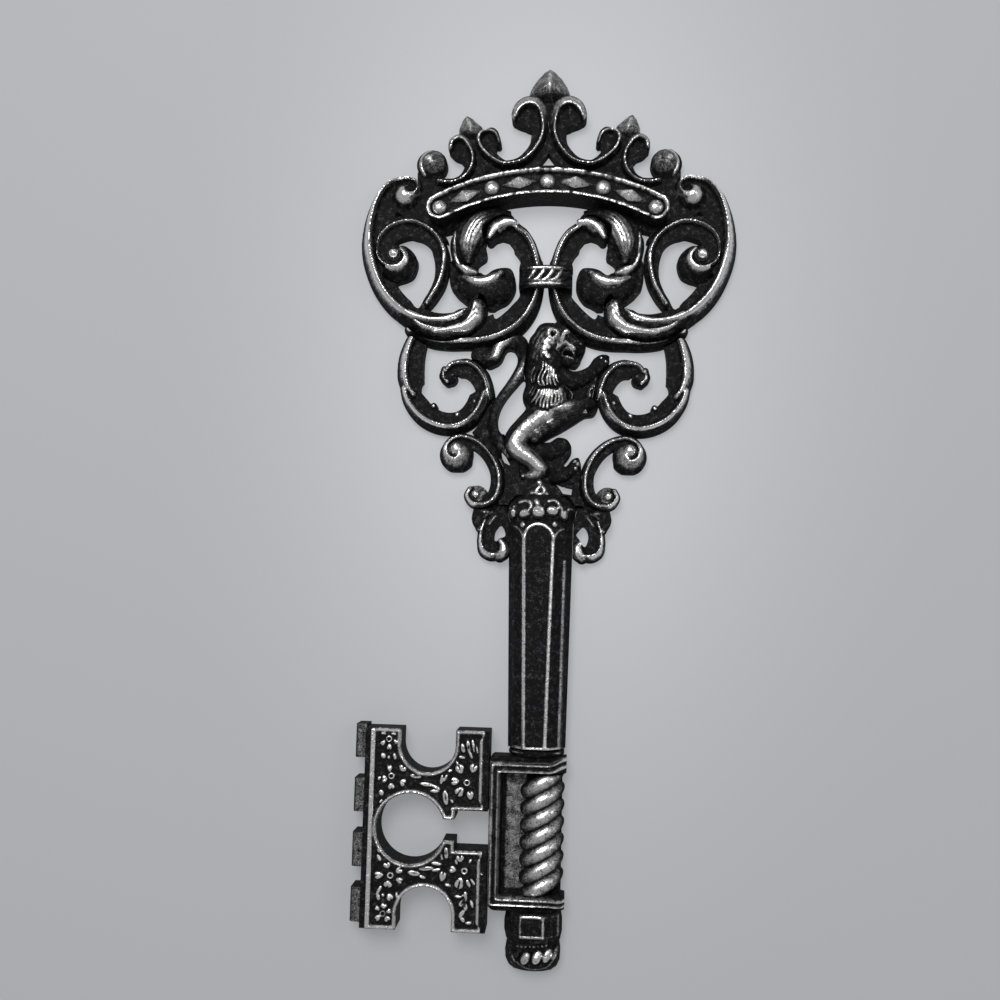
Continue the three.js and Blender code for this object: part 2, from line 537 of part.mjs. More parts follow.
// Crown band: a bent bar with rounded ends, a raised rim and a sunk floor
const bandCentre = new THREE.Vector2(0, bowFoot + bowHeight * bandRiseShare - bandBar.radius);
const bandAngle = Math.asin((bandChordShare * bowHalfWidth) / bandBar.radius);
const bandSteps = 16;
const endSteps = 6;
function polar(centre, radius, from, to, steps) {
  const points = [];
  for (let k = 0; k <= steps; k += 1) {
    const turn = THREE.MathUtils.lerp(from, to, k / steps);
    points.push(new THREE.Vector2(centre.x + radius * Math.cos(turn), centre.y + radius * Math.sin(turn)));
  }
  return points;
}
const upright = Math.PI / 2;
const onBand = (angle) => new THREE.Vector2(
  bandCentre.x + bandBar.radius * Math.sin(angle),
  bandCentre.y + bandBar.radius * Math.cos(angle),
);
function bandOutline(halfWidth) {
  const [rightTurnAt, leftTurnAt] = [upright - bandAngle, upright + bandAngle];
  const outerEdge = polar(bandCentre, bandBar.radius + halfWidth, rightTurnAt, leftTurnAt, bandSteps);
  const leftEnd = polar(onBand(-bandAngle), halfWidth, leftTurnAt, leftTurnAt + Math.PI, endSteps);
  const innerEdge = polar(bandCentre, bandBar.radius - halfWidth, leftTurnAt, rightTurnAt, bandSteps);
  const rightEnd = polar(onBand(bandAngle), halfWidth, rightTurnAt - Math.PI, rightTurnAt, endSteps);
  return [...outerEdge, ...leftEnd.slice(1, -1), ...innerEdge, ...rightEnd.slice(1, -1)];
}
const bandFloor = plate(bandOutline(bandBar.halfWidth - bandBar.rim), bandBar.floor, tall);
lay('crown_band', silver, {
  body: plate(bandOutline(bandBar.halfWidth), 0, bandBar.height).subtract(bandFloor),
  shadow: plate(bandOutline(bandBar.halfWidth + seam), -overrun, tall),
}, { whole: true });

// Beads and faceted lozenges stand in turn on the band's floor
const bandMarks = 4;
const beadSides = 12;
const onFloor = (body) => ({ body, shadow: body });
for (let k = 0; k <= bandMarks; k += 1) {
  const outline = circle(onBand(bandAngle * ((2 * k) / bandMarks - 1)), bandBead.radius, beadSides);
  const body = dome(outline, bandBar.floor, bandBar.floor + bandBead.height, bandBar.floor);
  lay(`band_bead_${k + 1}`, silver, onFloor(body), { over: ['crown_band'] });
}
const lozengeShares = [[1, 0], [0.3, 0.8], [0, 1], [-0.3, 0.8], [-1, 0], [-0.3, -0.8], [0, -1], [0.3, -0.8]];
const lozengeRidgeShares = [0.6, 0];
for (let k = 0; k < bandMarks; k += 1) {
  const angle = bandAngle * ((2 * k + 1) / bandMarks - 1);
  const at = onBand(angle);
  const outline = (alongShare, acrossShare) => lozengeShares.map(([a, b]) => new THREE.Vector2(
    (alongShare * a * bandLozenge.length) / 2, (acrossShare * b * bandLozenge.width) / 2,
  ).rotateAround(new THREE.Vector2(), -angle).add(at));
  const foot = outline(1, 1).map((p) => new THREE.Vector3(p.x, p.y, bandBar.floor));
  const ridge = outline(...lozengeRidgeShares).map((p) => (
    new THREE.Vector3(p.x, p.y, bandBar.floor + bandLozenge.height)
  ));
  const spindle = wasm.Manifold.hull([...foot, ...ridge].map((p) => [p.x, p.y, p.z]));
  lay(`band_lozenge_${k + 1}`, silver, onFloor(spindle), { over: ['crown_band'] });
}

// Collar that binds the two inner scrolls
function halfRound(halfWidth, height, side, sides) {
  const points = [new THREE.Vector2(halfWidth, 0)];
  for (let k = 0; k <= sides; k += 1) {
    const turn = (k / sides) * Math.PI;
    points.push(new THREE.Vector2(halfWidth * Math.cos(turn), side + (height - side) * Math.sin(turn)));
  }
  points.push(new THREE.Vector2(-halfWidth, 0));
  return points;
}
function alongKey(stations) {
  const rings = stations.map(({ y, section }) => section.map((p) => new THREE.Vector3(p.x, y, p.y)));
  return solidOf(loft(rings, stations[0].section));
}
const collarMiddle = bowFoot + bowHeight * collarShare;
const collarProfileShares = [
  [0, 0], [0.06, 1], [0.18, 1], [0.24, 0], [0.76, 0], [0.82, 1], [0.94, 1], [1, 0],
];
const collarSides = 8;
const collarForm = alongKey(collarProfileShares.map(([share, lift]) => ({
  y: collarMiddle - collarBand.length / 2 + share * collarBand.length,
  section: halfRound(
    collarBand.halfWidth, collarBand.height - collarBand.bead * (1 - lift), collarBand.shoulder, collarSides,
  ),
})));
const collarPass = collarBand.halfWidth - collarBand.leg;
const collarTunnel = block(
  -collarPass, collarPass, collarMiddle - collarBand.length, collarMiddle + collarBand.length,
  -overrun, collarBand.roof,
);
const collarLegNear = collarPass - seam;
const collarLegFar = collarBand.halfWidth + seam;
const collarLeg = (side) => block(
  Math.min(side * collarLegNear, side * collarLegFar), Math.max(side * collarLegNear, side * collarLegFar),
  collarMiddle - collarBand.length / 2 - seam, collarMiddle + collarBand.length / 2 + seam, -overrun, tall,
);
lay('collar', silver, {
  body: collarForm.subtract(collarTunnel),
  shadow: collarLeg(1).add(collarLeg(-1)),
}, { whole: true });

// Volute scrolls with their snail heads
const leftTurn = 1;
const rightTurn = -1;
for (const [label, side] of sides) {
  lay(`volute_scroll_${label}`, patina, joined([
    strap(voluteRouteShares, side, leftTurn, voluteStrap, 30, voluteOuterShares, voluteInnerShares),
    boss(
      onBow(voluteHeadShares, side), voluteStrap.disc, voluteStrap.floor,
      onBow(voluteBallShares, side), voluteStrap.ball,
    ),
  ]));
}

// Outer scrolls with the top bud, the web below the crown and the leaf at the foot
const outerForm = (side) => {
  const budAt = onBow(outerBudShares, side);
  return joined([
    strap(outerRouteShares, side, rightTurn, outerStrap, 32, outerWidthShares, outerInnerShares),
    slab(outlineOnBow(outerWebShares, side), outerStrap.floor),
    boss(budAt, outerStrap.bud, outerStrap.floor, budAt, outerStrap.bud * ballFlattenShare),
    lobe(outerLeafShares, side, acanthusLobe.outerLeaf, leaf.crown, 14, outerLeafWidthShares),
  ]);
};
for (const [label, side] of sides) lay(`outer_scroll_${label}`, silver, outerForm(side));

// Inner scrolls that pass through the collar
for (const [label, side] of sides) {
  lay(`inner_scroll_${label}`, patina, joined([
    strap(innerRouteShares, side, rightTurn, innerStrap, 28, innerOuterShares, innerInnerShares),
    lobe(crestLobeShares, side, acanthusLobe.crest, leaf.crown, 7, crestLobeWidthShares),
  ]));
}

// Acanthus leaves
for (const [label, side] of sides) {
  lay(`acanthus_upper_${label}`, halfWorn, joined([
    slab(outlineOnBow(acanthusUpperShares, side), leaf.base),
    lobe(upperLobeShares, side, acanthusLobe.upper, leaf.crown, 9, upperLobeWidthShares),
  ]));
}
for (const [label, side] of sides) {
  lay(`acanthus_lower_${label}`, halfWorn, joined([
    slab(outlineOnBow(acanthusLowerShares, side), leaf.base),
    lobe(smallLobeShares, side, acanthusLobe.small, leaf.crown, 8, smallLobeWidthShares),
    lobe(lowerLobeShares, side, acanthusLobe.lower, leaf.crown, 9, lowerLobeWidthShares),
  ]));
}

// Lower scrolls with club ends
for (const [label, side] of sides) {
  lay(`lower_scroll_${label}`, patina, joined([
    strap(lowerRouteShares, side, rightTurn, lowerStrap, 32, lowerOuterShares, lowerInnerShares),
    slab(circle(onBow(lowerClubShares, side), lowerStrap.club, 12), lowerStrap.floor),
  ]));
}

// The lion: a flat ground with rounded head, mane, body and legs raised on it
const lionForm = joined([
  slab(outlineOnBow(lionOutlineShares), lionRelief.base),
  bareShadow(rounded(
    onBow(lionHeadShares), lionHead.width / 2, lionHead.length / 2, lionRelief.head, lionRelief.base,
  )),
  bareShadow(rounded(
    onBow(lionMuzzleShares), lionHead.muzzleWidth / 2, lionHead.muzzleLength / 2,
    lionRelief.body, lionRelief.base,
  )),
  lobe(maneShares, 1, lionHalfWidth.mane, lionRelief.body, 6, maneWidthShares, lionRelief.base),
  lobe(bodyShares, 1, lionHalfWidth.body, lionRelief.body, 7, bodyWidthShares, lionRelief.base),
  lobe(shinShares, 1, lionHalfWidth.shin, lionRelief.body, 5, limbWidthShares, lionRelief.base),
  lobe(hindFootShares, 1, lionHalfWidth.hindFoot, lionRelief.paw, 4, limbWidthShares, lionRelief.base),
  lobe(foreLegShares, 1, lionHalfWidth.foreLeg, lionRelief.limb, 6, limbWidthShares, lionRelief.base),
  lobe(raisedLegShares, 1, lionHalfWidth.raisedLeg, lionRelief.paw, 6, limbWidthShares, lionRelief.base),
  lobe(farLegShares, 1, lionHalfWidth.farLeg, lionRelief.paw, 4, limbWidthShares, lionRelief.base),
  lobe(farFootShares, 1, lionHalfWidth.farFoot, lionRelief.paw, 4, limbWidthShares, lionRelief.base),
]);
lay('lion', silver, lionForm);

// Tail with its tuft and the web beside it
const tuftAt = onBow(tuftShares);
lay('lion_tail', patina, joined([
  lobe(tailRouteShares, 1, tailStrap.halfWidth, tailStrap.crest, 18, evenShares, tailStrap.edge),
  boss(tuftAt, tailStrap.tuft, tailStrap.edge, tuftAt, tailStrap.tuft * ballFlattenShare),
  slab(outlineOnBow(tailWebShares), webHeight),
]));

// Side scrolls between the lower scrolls and the capital
for (const [label, side] of sides) {
  const top = onBow(sideVoluteShares, side);
  const small = onBow(sideSmallShares, side);
  lay(`side_scroll_${label}`, halfWorn, joined([
    strap(sideRouteShares, side, leftTurn, sideStrap, 16, evenShares, sideInnerShares),
    boss(top, sideVolute.disc, sideVolute.height, top, sideVolute.ball),
    boss(small, sideVolute.smallDisc, sideVolute.height, small, sideVolute.smallBall),
  ]));
}

// Tenon boxes that lock the members of the stem end to end
function tenon(y0, y1, room = 0) {
  return block(
    -tenonSize.halfWidth - room, tenonSize.halfWidth + room, y0 - room, y1 + room, tenonSize.low - room,
    tenonSize.high + room,
  );
}

// Capital: a gadrooned half dome on the head of the shank
const capitalProfileShares = [[0, 0.87], [0.25, 0.98], [0.5, 1], [0.8, 0.93], [1, 0.8]];
const capitalSides = 8;
let capitalBody = alongKey(capitalProfileShares.map(([share, size]) => ({
  y: capitalFoot + share * capitalDome.length,
  section: halfRound(capitalDome.halfWidth * size, capitalDome.height * size, capitalDome.side, capitalSides),
})));
const gadroonPlaceShares = [-0.7, -0.37, 0, 0.37, 0.7];
const gadroonWidthShare = 0.8;
const gadroonLiftShare = 0.7;
for (const share of gadroonPlaceShares) {
  const centre = new THREE.Vector2(share * capitalDome.halfWidth, capitalFoot + capitalDome.gadroon);
  const level = capitalDome.height * Math.sqrt(1 - share * share);
  const drop = new THREE.SphereGeometry(capitalDome.gadroon, 8, 4);
  drop.scale(gadroonWidthShare, 1, gadroonLiftShare).translate(centre.x, centre.y, level);
  capitalBody = capitalBody.add(solidOf(drop));
}
capitalBody = capitalBody.subtract(tenon(shankLength, shankLength + tenonSize.reach, seam));
const capitalFootprint = capitalProfileShares.map(([share, size]) => new THREE.Vector2(
  capitalDome.halfWidth * size, capitalFoot + share * capitalDome.length,
));
const capitalOutline = [
  ...capitalFootprint, ...capitalFootprint.slice().reverse().map((p) => new THREE.Vector2(-p.x, p.y)),
];
lay('capital', halfWorn, { body: capitalBody, shadow: slab(capitalOutline, tall).shadow }, { whole: true });

// Shank: half a polygon in section, tapering to the foot, with raised arrises that meet in arches
const shankSectionShares = [
  [1, 0], [1, 0.42], [0.78, 0.74], [0.42, 1], [-0.42, 1], [-0.78, 0.74], [-1, 0.42], [-1, 0],
];
function shankSection(halfWidth, height) {
  return shankSectionShares.map(([a, b]) => new THREE.Vector2(a * halfWidth, b * height));
}
function shankWidthAt(y) {
  return THREE.MathUtils.mapLinear(y, 0, shankLength, shankBody.footHalfWidth, shankBody.topHalfWidth);
}
let shankForm = alongKey([0, shankLength].map((y) => ({
  y, section: shankSection(shankWidthAt(y), shankBody.height),
})));
const archFoot = shankLength - shankBody.archRise;
const squareShares = [[-1, -1], [1, -1], [1, 1], [-1, 1]];
function arris(widthShare, heightShare) {
  const bar = [0, archFoot].map((y) => ({
    y,
    section: squareShares.map(([a, b]) => new THREE.Vector2(
      widthShare * shankWidthAt(y) + a * shankBody.rib,
      heightShare * shankBody.height + b * shankBody.rib,
    )),
  }));
  return alongKey(bar);
}
for (const [widthShare, heightShare] of [shankSectionShares[2], shankSectionShares[3]]) {
  for (const [, side] of sides) shankForm = shankForm.add(arris(side * widthShare, heightShare));
}
const archWidth = shankSectionShares[3][0] * shankWidthAt(archFoot);
const archPlaceShares = [1, 0.7, 0, -0.7, -1];
const archRoute = new THREE.CatmullRomCurve3(archPlaceShares.map((share) => new THREE.Vector3(
  share * archWidth,
  archFoot + (shankBody.archRise - shankBody.rib) * Math.sqrt(1 - share * share),
  0,
)));
const archSection = () => squareShares.map(([a, b]) => [
  a * shankBody.rib, shankBody.height + b * shankBody.rib,
]);
shankForm = shankForm.add(solidOf(sweep(archRoute, 10, archSection, 1)));
const lowerReach = seam + neckRing.length + seam + tenonSize.reach;
shankForm = shankForm.add(tenon(shankLength - overrun, shankLength + tenonSize.reach));
shankForm = shankForm.add(tenon(-lowerReach, overrun));
const shankFootprint = [[1, 0], [1, 1], [-1, 1], [-1, 0]].map(([a, b]) => new THREE.Vector2(
  a * shankWidthAt(b * shankLength), b * shankLength,
));
const shankShadow = slab(shankFootprint, tall).shadow;
lay('shank', patina, { body: shankForm, shadow: shankShadow }, { whole: true, over: ['capital'] });

// Foot scrolls beside the capital, each with a small leaf
for (const [label, side] of sides) {
  const end = onBow(footBallShares, side);
  lay(`foot_scroll_${label}`, patina, joined([
    strap(footRouteShares, side, rightTurn, footStrap, 13, evenShares, footInnerShares),
    boss(end, footStrap.ball, footStrap.floor, end, footStrap.ball * ballFlattenShare),
    lobe(footLeafShares, side, footStrap.leafWidth, footStrap.crest, 6, footLeafWidthShares, footStrap.floor),
    slab(outlineOnBow(footWebShares, side), footStrap.floor),
  ]));
}

// Pedestal under the lion's feet, with a small peaked ornament
const pedestalTrim = dome(outlineOnBow(pedestalTrimShares), pedestalBlock.height, pedestalBlock.trim);
const pedestalBase = slab(outlineOnBow(pedestalShares), pedestalBlock.height);
lay('pedestal', patina, joined([pedestalBase, bareShadow(pedestalTrim)]));

// Crown scrolls, fleurons, balls and finial, with the web behind them
for (const [label, side] of sides) {
  const curl = onBow(crownCurlShares, side);
  const endCurl = onBow(crownEndShares, side);
  lay(`crown_inner_scroll_${label}`, halfWorn, joined([
    strap(crownRouteShares, side, leftTurn, crownStrap, 26, evenShares, crownInnerShares),
    slab(circle(curl, crownStrap.curl, 12), crownStrap.floor),
    slab(circle(endCurl, crownStrap.endCurl, 12), crownStrap.floor),
  ]));
}
for (const [label, side] of sides) {
  const ballAt = onBow(crownBallShares, side);
  const form = boss(ballAt, crownBall.disc, crownBall.height, ballAt, crownBall.ball);
  lay(`crown_ball_${label}`, halfWorn, form);
}
for (const [label, side] of sides) {
  lay(`crown_outer_scroll_${label}`, halfWorn, joined([
    strap(wingRouteShares, side, leftTurn, wingStrap, 14, evenShares, wingInnerShares),
    slab(circle(onBow(wingCurlShares, side), wingStrap.curl, 12), wingStrap.floor),
  ]));
}
for (const [label, side] of sides) {
  const outline = outlineOnBow(sideBudShares, side);
  const body = dome(outline, bud.edge, bud.sideCrown);
  lay(`crown_side_bud_${label}`, silver, { body, shadow: slab(outline, tall).shadow });
}
const finialOutline = outlineOnBow(mirrored(finialShares));
const finialBody = dome(finialOutline, bud.edge, bud.crown);
lay('crown_finial', silver, { body: finialBody, shadow: slab(finialOutline, tall).shadow });
const webOutline = outlineOnBow(mirrored([crownWebHeadShares, ...crownWebShares, crownWebFootShares]));
lay('crown_web', patina, slab(webOutline, webHeight));

// Neck ring: a half-round bead at the foot of the shank
const neckProfileShares = [[0, 0.86], [0.3, 1], [0.7, 1], [1, 0.9]];
const neckBody = alongKey(neckProfileShares.map(([share, size]) => ({
  y: neckTop - neckRing.length * (1 - share),
  section: halfRound(neckRing.halfWidth * size, neckRing.height * size, neckRing.side, capitalSides),
}))).subtract(tenon(neckTop - neckRing.length - overrun, neckTop + overrun, seam));
lay('neck_ring', silver, onFloor(neckBody), { whole: true, over: ['shank'] });

// Sleeve: a C-shaped frame with a grooved rim, rounded over and open on the right, round the rope core
const recessTop = sleeveTop - sleeveFrame.wall;
const recessFoot = sleeveFoot + sleeveFrame.wall;
const recessLeft = -sleeveFrame.left + sleeveFrame.rim;
const grooveFloor = sleeveFrame.height - sleeveFrame.groove;
const grooveLeft = -sleeveFrame.left + sleeveFrame.lip;
const grooveTop = sleeveTop - sleeveFrame.lip;
const grooveFoot = sleeveFoot + sleeveFrame.lip;
const sleeveCuts = [
  block(recessLeft, sleeveFrame.right + overrun, recessFoot, recessTop, sleeveFrame.floor, tall),
  block(grooveLeft, recessLeft - sleeveFrame.lip, grooveFoot, grooveTop, grooveFloor, tall),
  block(grooveLeft, sleeveFrame.right + overrun, recessTop + sleeveFrame.lip, grooveTop, grooveFloor, tall),
  block(grooveLeft, sleeveFrame.right + overrun, grooveFoot, recessFoot - sleeveFrame.lip, grooveFloor, tall),
  tenon(sleeveTop - tenonSize.reach, sleeveTop + overrun, seam),
  tenon(sleeveFoot - overrun, sleeveFoot + tenonSize.reach, seam),
];
const bitMiddle = bitPlate.rise - bitPlate.height / 2;
function tangBox(side, room) {
  const middle = bitMiddle + side * tang.offset;
  return block(
    -sleeveFrame.left - overrun - room, -sleeveFrame.left + tang.reach + room,
    middle - tang.halfHeight - room, middle + tang.halfHeight + room, tang.low - room, tang.high + room,
  );
}
const shoulderSteps = 5;
const shoulder = polar(new THREE.Vector2(), 1, 0, upright, shoulderSteps).map((p) => new THREE.Vector2(
  sleeveFrame.right - sleeveFrame.shoulderWidth * (1 - p.x),
  sleeveFrame.height - sleeveFrame.shoulderDrop * (1 - p.y),
));
const sleeveSection = [
  new THREE.Vector2(-sleeveFrame.left, 0), new THREE.Vector2(sleeveFrame.right, 0), ...shoulder,
  new THREE.Vector2(-sleeveFrame.left, sleeveFrame.height),
];
const sleeveBody = wasm.Manifold.difference([
  alongKey([sleeveFoot, sleeveTop].map((y) => ({ y, section: sleeveSection }))),
  ...sleeveCuts, tangBox(-1, seam), tangBox(1, seam),
]);
lay('sleeve', silver, onFloor(sleeveBody), { whole: true, over: ['shank', 'neck_ring'] });

// Rope-twist core: a rounded bar whose slanting turns swell between narrow grooves
const ropeSides = 8;
const ropeSwellShares = [0, 0.7, 1, 0.7];
const ropeSpareTurns = 2;
const ropeLow = recessFoot + seam;
const ropeHigh = recessTop - seam;
const ropeMiddle = sleeveFrame.right - ropeTwist.halfWidth - seam;
const ropePitch = (ropeHigh - ropeLow) / ropeTurns;
const ropeCount = (ropeTurns + 2 * ropeSpareTurns) * ropeSwellShares.length;
const ropeRings = [];
let ropeFlat = [];
for (let k = 0; k <= ropeCount; k += 1) {
  const drop = ropeTwist.lift * (1 - ropeSwellShares[k % ropeSwellShares.length]);
  const halfWidth = ropeTwist.halfWidth - drop / 2;
  const section = halfRound(halfWidth, ropeTwist.height - drop, ropeTwist.side, ropeSides);
  const start = ropeLow - ropeSpareTurns * ropePitch + (k * ropePitch) / ropeSwellShares.length;
  ropeRings.push(section.map((p) => new THREE.Vector3(
    ropeMiddle + p.x, start + (ropeTwist.rise * p.x) / (2 * ropeTwist.halfWidth), p.y,
  )));
  ropeFlat = section;
}
const ropeRoom = block(
  ropeMiddle - ropeTwist.halfWidth - overrun, ropeMiddle + ropeTwist.halfWidth + overrun, ropeLow, ropeHigh,
  sleeveFrame.floor, tall,
);
const ropeBody = solidOf(loft(ropeRings, ropeFlat)).intersect(ropeRoom);
lay('rope_core', silver, onFloor(ropeBody), { whole: true, over: ['sleeve'] });

// Ferrule: half a polygon in section, with chamfered ends, under the sleeve
const ferruleProfileShares = [[0, 0], [0.08, 1], [0.92, 1], [1, 0]];
const ferruleBare = alongKey(ferruleProfileShares.map(([share, full]) => {
  const size = 1 - ((1 - full) * ferruleBody.chamfer) / ferruleBody.halfWidth;
  return {
    y: ferruleFoot + share * ferruleBody.length,
    section: shankSection(ferruleBody.halfWidth * size, ferruleBody.height * size),
  };
}));
const ferruleSolid = ferruleBare
  .add(tenon(ferruleTop - overrun, ferruleTop + tenonSize.reach))
  .subtract(tenon(ferruleFoot - overrun, ferruleFoot + tenonSize.reach, seam));
lay('ferrule', halfWorn, onFloor(ferruleSolid), { whole: true, over: ['sleeve'] });

// Tip bulb: a half-round bulb with slanting gadroons
const bulbProfileShares = [[0, 0.35], [0.07, 0.62], [0.22, 0.86], [0.45, 0.98], [0.7, 1], [1, 0.94]];
let bulbSolid = alongKey(bulbProfileShares.map(([share, size]) => ({
  y: tipTop - tipBulb.length * (1 - share),
  section: halfRound(tipBulb.halfWidth * size, tipBulb.height * size, tipBulb.side * size, capitalSides),
})));
const bulbGadroonShares = [-0.68, -0.31, 0.08, 0.46, 0.8];
const bulbGadroonPlaceShare = 0.42;
const bulbGadroonLeanShare = 0.11;
for (const share of bulbGadroonShares) {
  const drop = new THREE.SphereGeometry(1, 6, 4);
  drop.scale(tipBulb.gadroon, tipBulb.gadroonLength, tipBulb.gadroon);
  drop.rotateZ(-bulbGadroonLeanShare * Math.PI);
  drop.translate(
    share * tipBulb.halfWidth,
    tipTop - tipBulb.length * (1 - bulbGadroonPlaceShare),
    (tipBulb.height - tipBulb.gadroon / 2) * Math.sqrt(1 - share * share / 2),
  );
  bulbSolid = bulbSolid.add(solidOf(drop));
}
bulbSolid = bulbSolid.add(tenon(tipTop - overrun, ferruleFoot + tenonSize.reach));
lay('tip_bulb', halfWorn, onFloor(bulbSolid), { whole: true, over: ['ferrule'] });

// Bit plate: two notches, a round hole and a slot, with a raised rim round them
const bitRight = -sleeveFrame.left - seam;
const bitLeft = bitRight - bitPlate.width;
const bitTop = bitPlate.rise;
const bitLow = bitTop - bitPlate.height;
const bitArcSteps = 14;
const holeMiddle = new THREE.Vector2(bitLeft + bitHole.fromEdge, bitMiddle);
const notchX = bitLeft + bitHole.notchFromEdge;
const notchTopY = bitTop - bitHole.notchDepth + bitHole.notch;
const notchLowY = bitLow + bitHole.notchDepth - bitHole.notch;
function notchOutline(side, room) {
  const radius = bitHole.notch + room;
  const middle = new THREE.Vector2(notchX, side > 0 ? notchTopY : notchLowY);
  const end = side > 0 ? bitTop + overrun : bitLow - overrun;
  return [
    ...polar(middle, radius, 0, -side * Math.PI, bitArcSteps),
    new THREE.Vector2(middle.x - radius, end),
    new THREE.Vector2(middle.x + radius, end),
  ];
}
const holeOutline = (room) => circle(holeMiddle, bitHole.radius + room, 2 * bitArcSteps);
const slotLeft = bitRight - bitHole.slotLength;
function slotPlate(room) {
  const half = bitHole.slotHeight / 2 + room;
  const halfThroat = bitHole.throat / 2 + room;
  const slot = block(slotLeft - room, bitRight + overrun, bitMiddle - half, bitMiddle + half, -overrun, tall);
  return slot.add(block(
    holeMiddle.x, slotLeft + overrun, bitMiddle - halfThroat, bitMiddle + halfThroat, -overrun, tall,
  ));
}
const voids = (room) => wasm.Manifold.union([
  plate(notchOutline(1, room), -overrun, tall), plate(notchOutline(-1, room), -overrun, tall),
  plate(holeOutline(room), -overrun, tall), slotPlate(room),
]);
const sunkFace = block(
  bitLeft + bitPlate.rim, bitRight - bitPlate.rim, bitLow + bitPlate.rim, bitTop - bitPlate.rim,
  bitPlate.thickness - bitPlate.sink, tall,
).subtract(voids(bitPlate.rim));
const toothMiddle = (k) => bitMiddle + bitTooth.rise + bitTooth.pitch * (k - (toothCount - 1) / 2);
const toothTenon = (k, room) => block(
  bitLeft - overrun, bitLeft + bitTooth.tenon + room,
  toothMiddle(k) - bitTooth.tenonHalf - room, toothMiddle(k) + bitTooth.tenonHalf + room,
  bitTooth.tenonHalf - room, bitTooth.thickness - bitTooth.tenonHalf + room,
);
const bitParts = [];
for (let k = 0; k < toothCount; k += 1) bitParts.push(toothTenon(k, seam));
const bitBody = wasm.Manifold.difference([
  block(bitLeft, bitRight, bitLow, bitTop, 0, bitPlate.thickness), voids(0), sunkFace, ...bitParts,
]).add(wasm.Manifold.union([tangBox(-1, 0), tangBox(1, 0)]));
lay('bit_plate', patina, onFloor(bitBody), { whole: true, over: ['sleeve'] });

// Bit teeth: blocks on the outer edge, each with a bevelled upper face and a tenon
for (let k = 0; k < toothCount; k += 1) {
  const right = bitLeft - seam;
  const left = right - bitTooth.reach;
  const profile = [
    [left, 0], [right, 0], [right, bitTooth.thickness], [left + bitTooth.bevel, bitTooth.thickness],
    [left, bitTooth.thickness - bitTooth.bevel],
  ].map(([x, z]) => new THREE.Vector2(x, z));
  const body = alongKey([-1, 1].map((end) => ({
    y: toothMiddle(k) + (end * bitTooth.height) / 2, section: profile,
  })));
  const tooth = body.add(block(
    right - overrun, bitLeft + bitTooth.tenon,
    toothMiddle(k) - bitTooth.tenonHalf, toothMiddle(k) + bitTooth.tenonHalf,
    bitTooth.tenonHalf, bitTooth.thickness - bitTooth.tenonHalf,
  ));
  lay(`bit_tooth_${k + 1}`, halfWorn, onFloor(tooth), { whole: true, over: ['bit_plate'] });
}

// The key lies on its back with the middle of its footprint at the origin
const reach = new THREE.Box3().setFromObject(key);
key.position.set(-(reach.min.x + reach.max.x) / 2, -(reach.min.y + reach.max.y) / 2, 0);

export default key;
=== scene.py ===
# %% [markdown]
# # A cast skeleton key for the wall
# The object is a large ornamental key of cast metal with a black finish rubbed back to bright silver on
# everything that stands up. Its solids are loaded first, and each is then given its finished shape in place.

# %% Load the solids
import math
import bpy
import numpy as np
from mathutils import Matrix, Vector


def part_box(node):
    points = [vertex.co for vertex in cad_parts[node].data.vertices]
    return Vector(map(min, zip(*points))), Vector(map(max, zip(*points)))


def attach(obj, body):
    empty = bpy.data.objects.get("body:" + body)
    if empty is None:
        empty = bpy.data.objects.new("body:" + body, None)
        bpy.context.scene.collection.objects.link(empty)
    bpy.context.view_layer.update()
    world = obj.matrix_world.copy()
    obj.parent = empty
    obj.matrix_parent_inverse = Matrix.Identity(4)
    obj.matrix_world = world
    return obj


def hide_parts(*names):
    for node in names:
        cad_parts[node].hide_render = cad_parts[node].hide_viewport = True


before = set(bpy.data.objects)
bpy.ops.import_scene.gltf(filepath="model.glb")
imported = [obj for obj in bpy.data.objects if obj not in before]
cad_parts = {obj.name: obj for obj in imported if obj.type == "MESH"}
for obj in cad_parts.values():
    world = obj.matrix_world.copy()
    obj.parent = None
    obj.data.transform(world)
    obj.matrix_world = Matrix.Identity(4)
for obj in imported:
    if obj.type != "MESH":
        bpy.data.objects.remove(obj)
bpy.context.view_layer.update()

# %% [markdown]
# ## Places and sizes
# The bow is the pierced head of the key. Every place on it is given as a share of the bow's half width and
# of its height, so a form is drawn once for the right side and mirrored for the left. All other sizes are
# millimetres, as on a maker's drawing, and become metres only when a mesh is written.

# %% Sizes and places
MM = 0.001
BOW_HALF = 76.5
BOW_FOOT = -25.856
BOW_HEIGHT = 204.0
SEAM = 0.12
CELL = 0.3
FINE_CELL = 0.25
FAR_OUT = -9.0
NO_LENGTH = 1e-9
SIDES = (("left", -1), ("right", 1))


def on_bow(pairs, side=1):
    return np.asarray(pairs, float) * [side * BOW_HALF, BOW_HEIGHT] + [0, BOW_FOOT]


def box_mm(node):
    """Low and high corner of a solid, in millimetres."""
    return [np.array(corner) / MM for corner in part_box(node)]


def ease(low, high, value):
    """Soft step from 0 at low to 1 at high."""
    share = np.clip((value - low) / (high - low), 0, 1)
    return share * share * (3 - 2 * share)

# %% [markdown]
# ## Drawn lines
# A scroll is drawn with a few points, and a smooth curve is passed through them, as a bent strip of wood
# would do it. Widths and heights are given at the same points and run evenly between them.

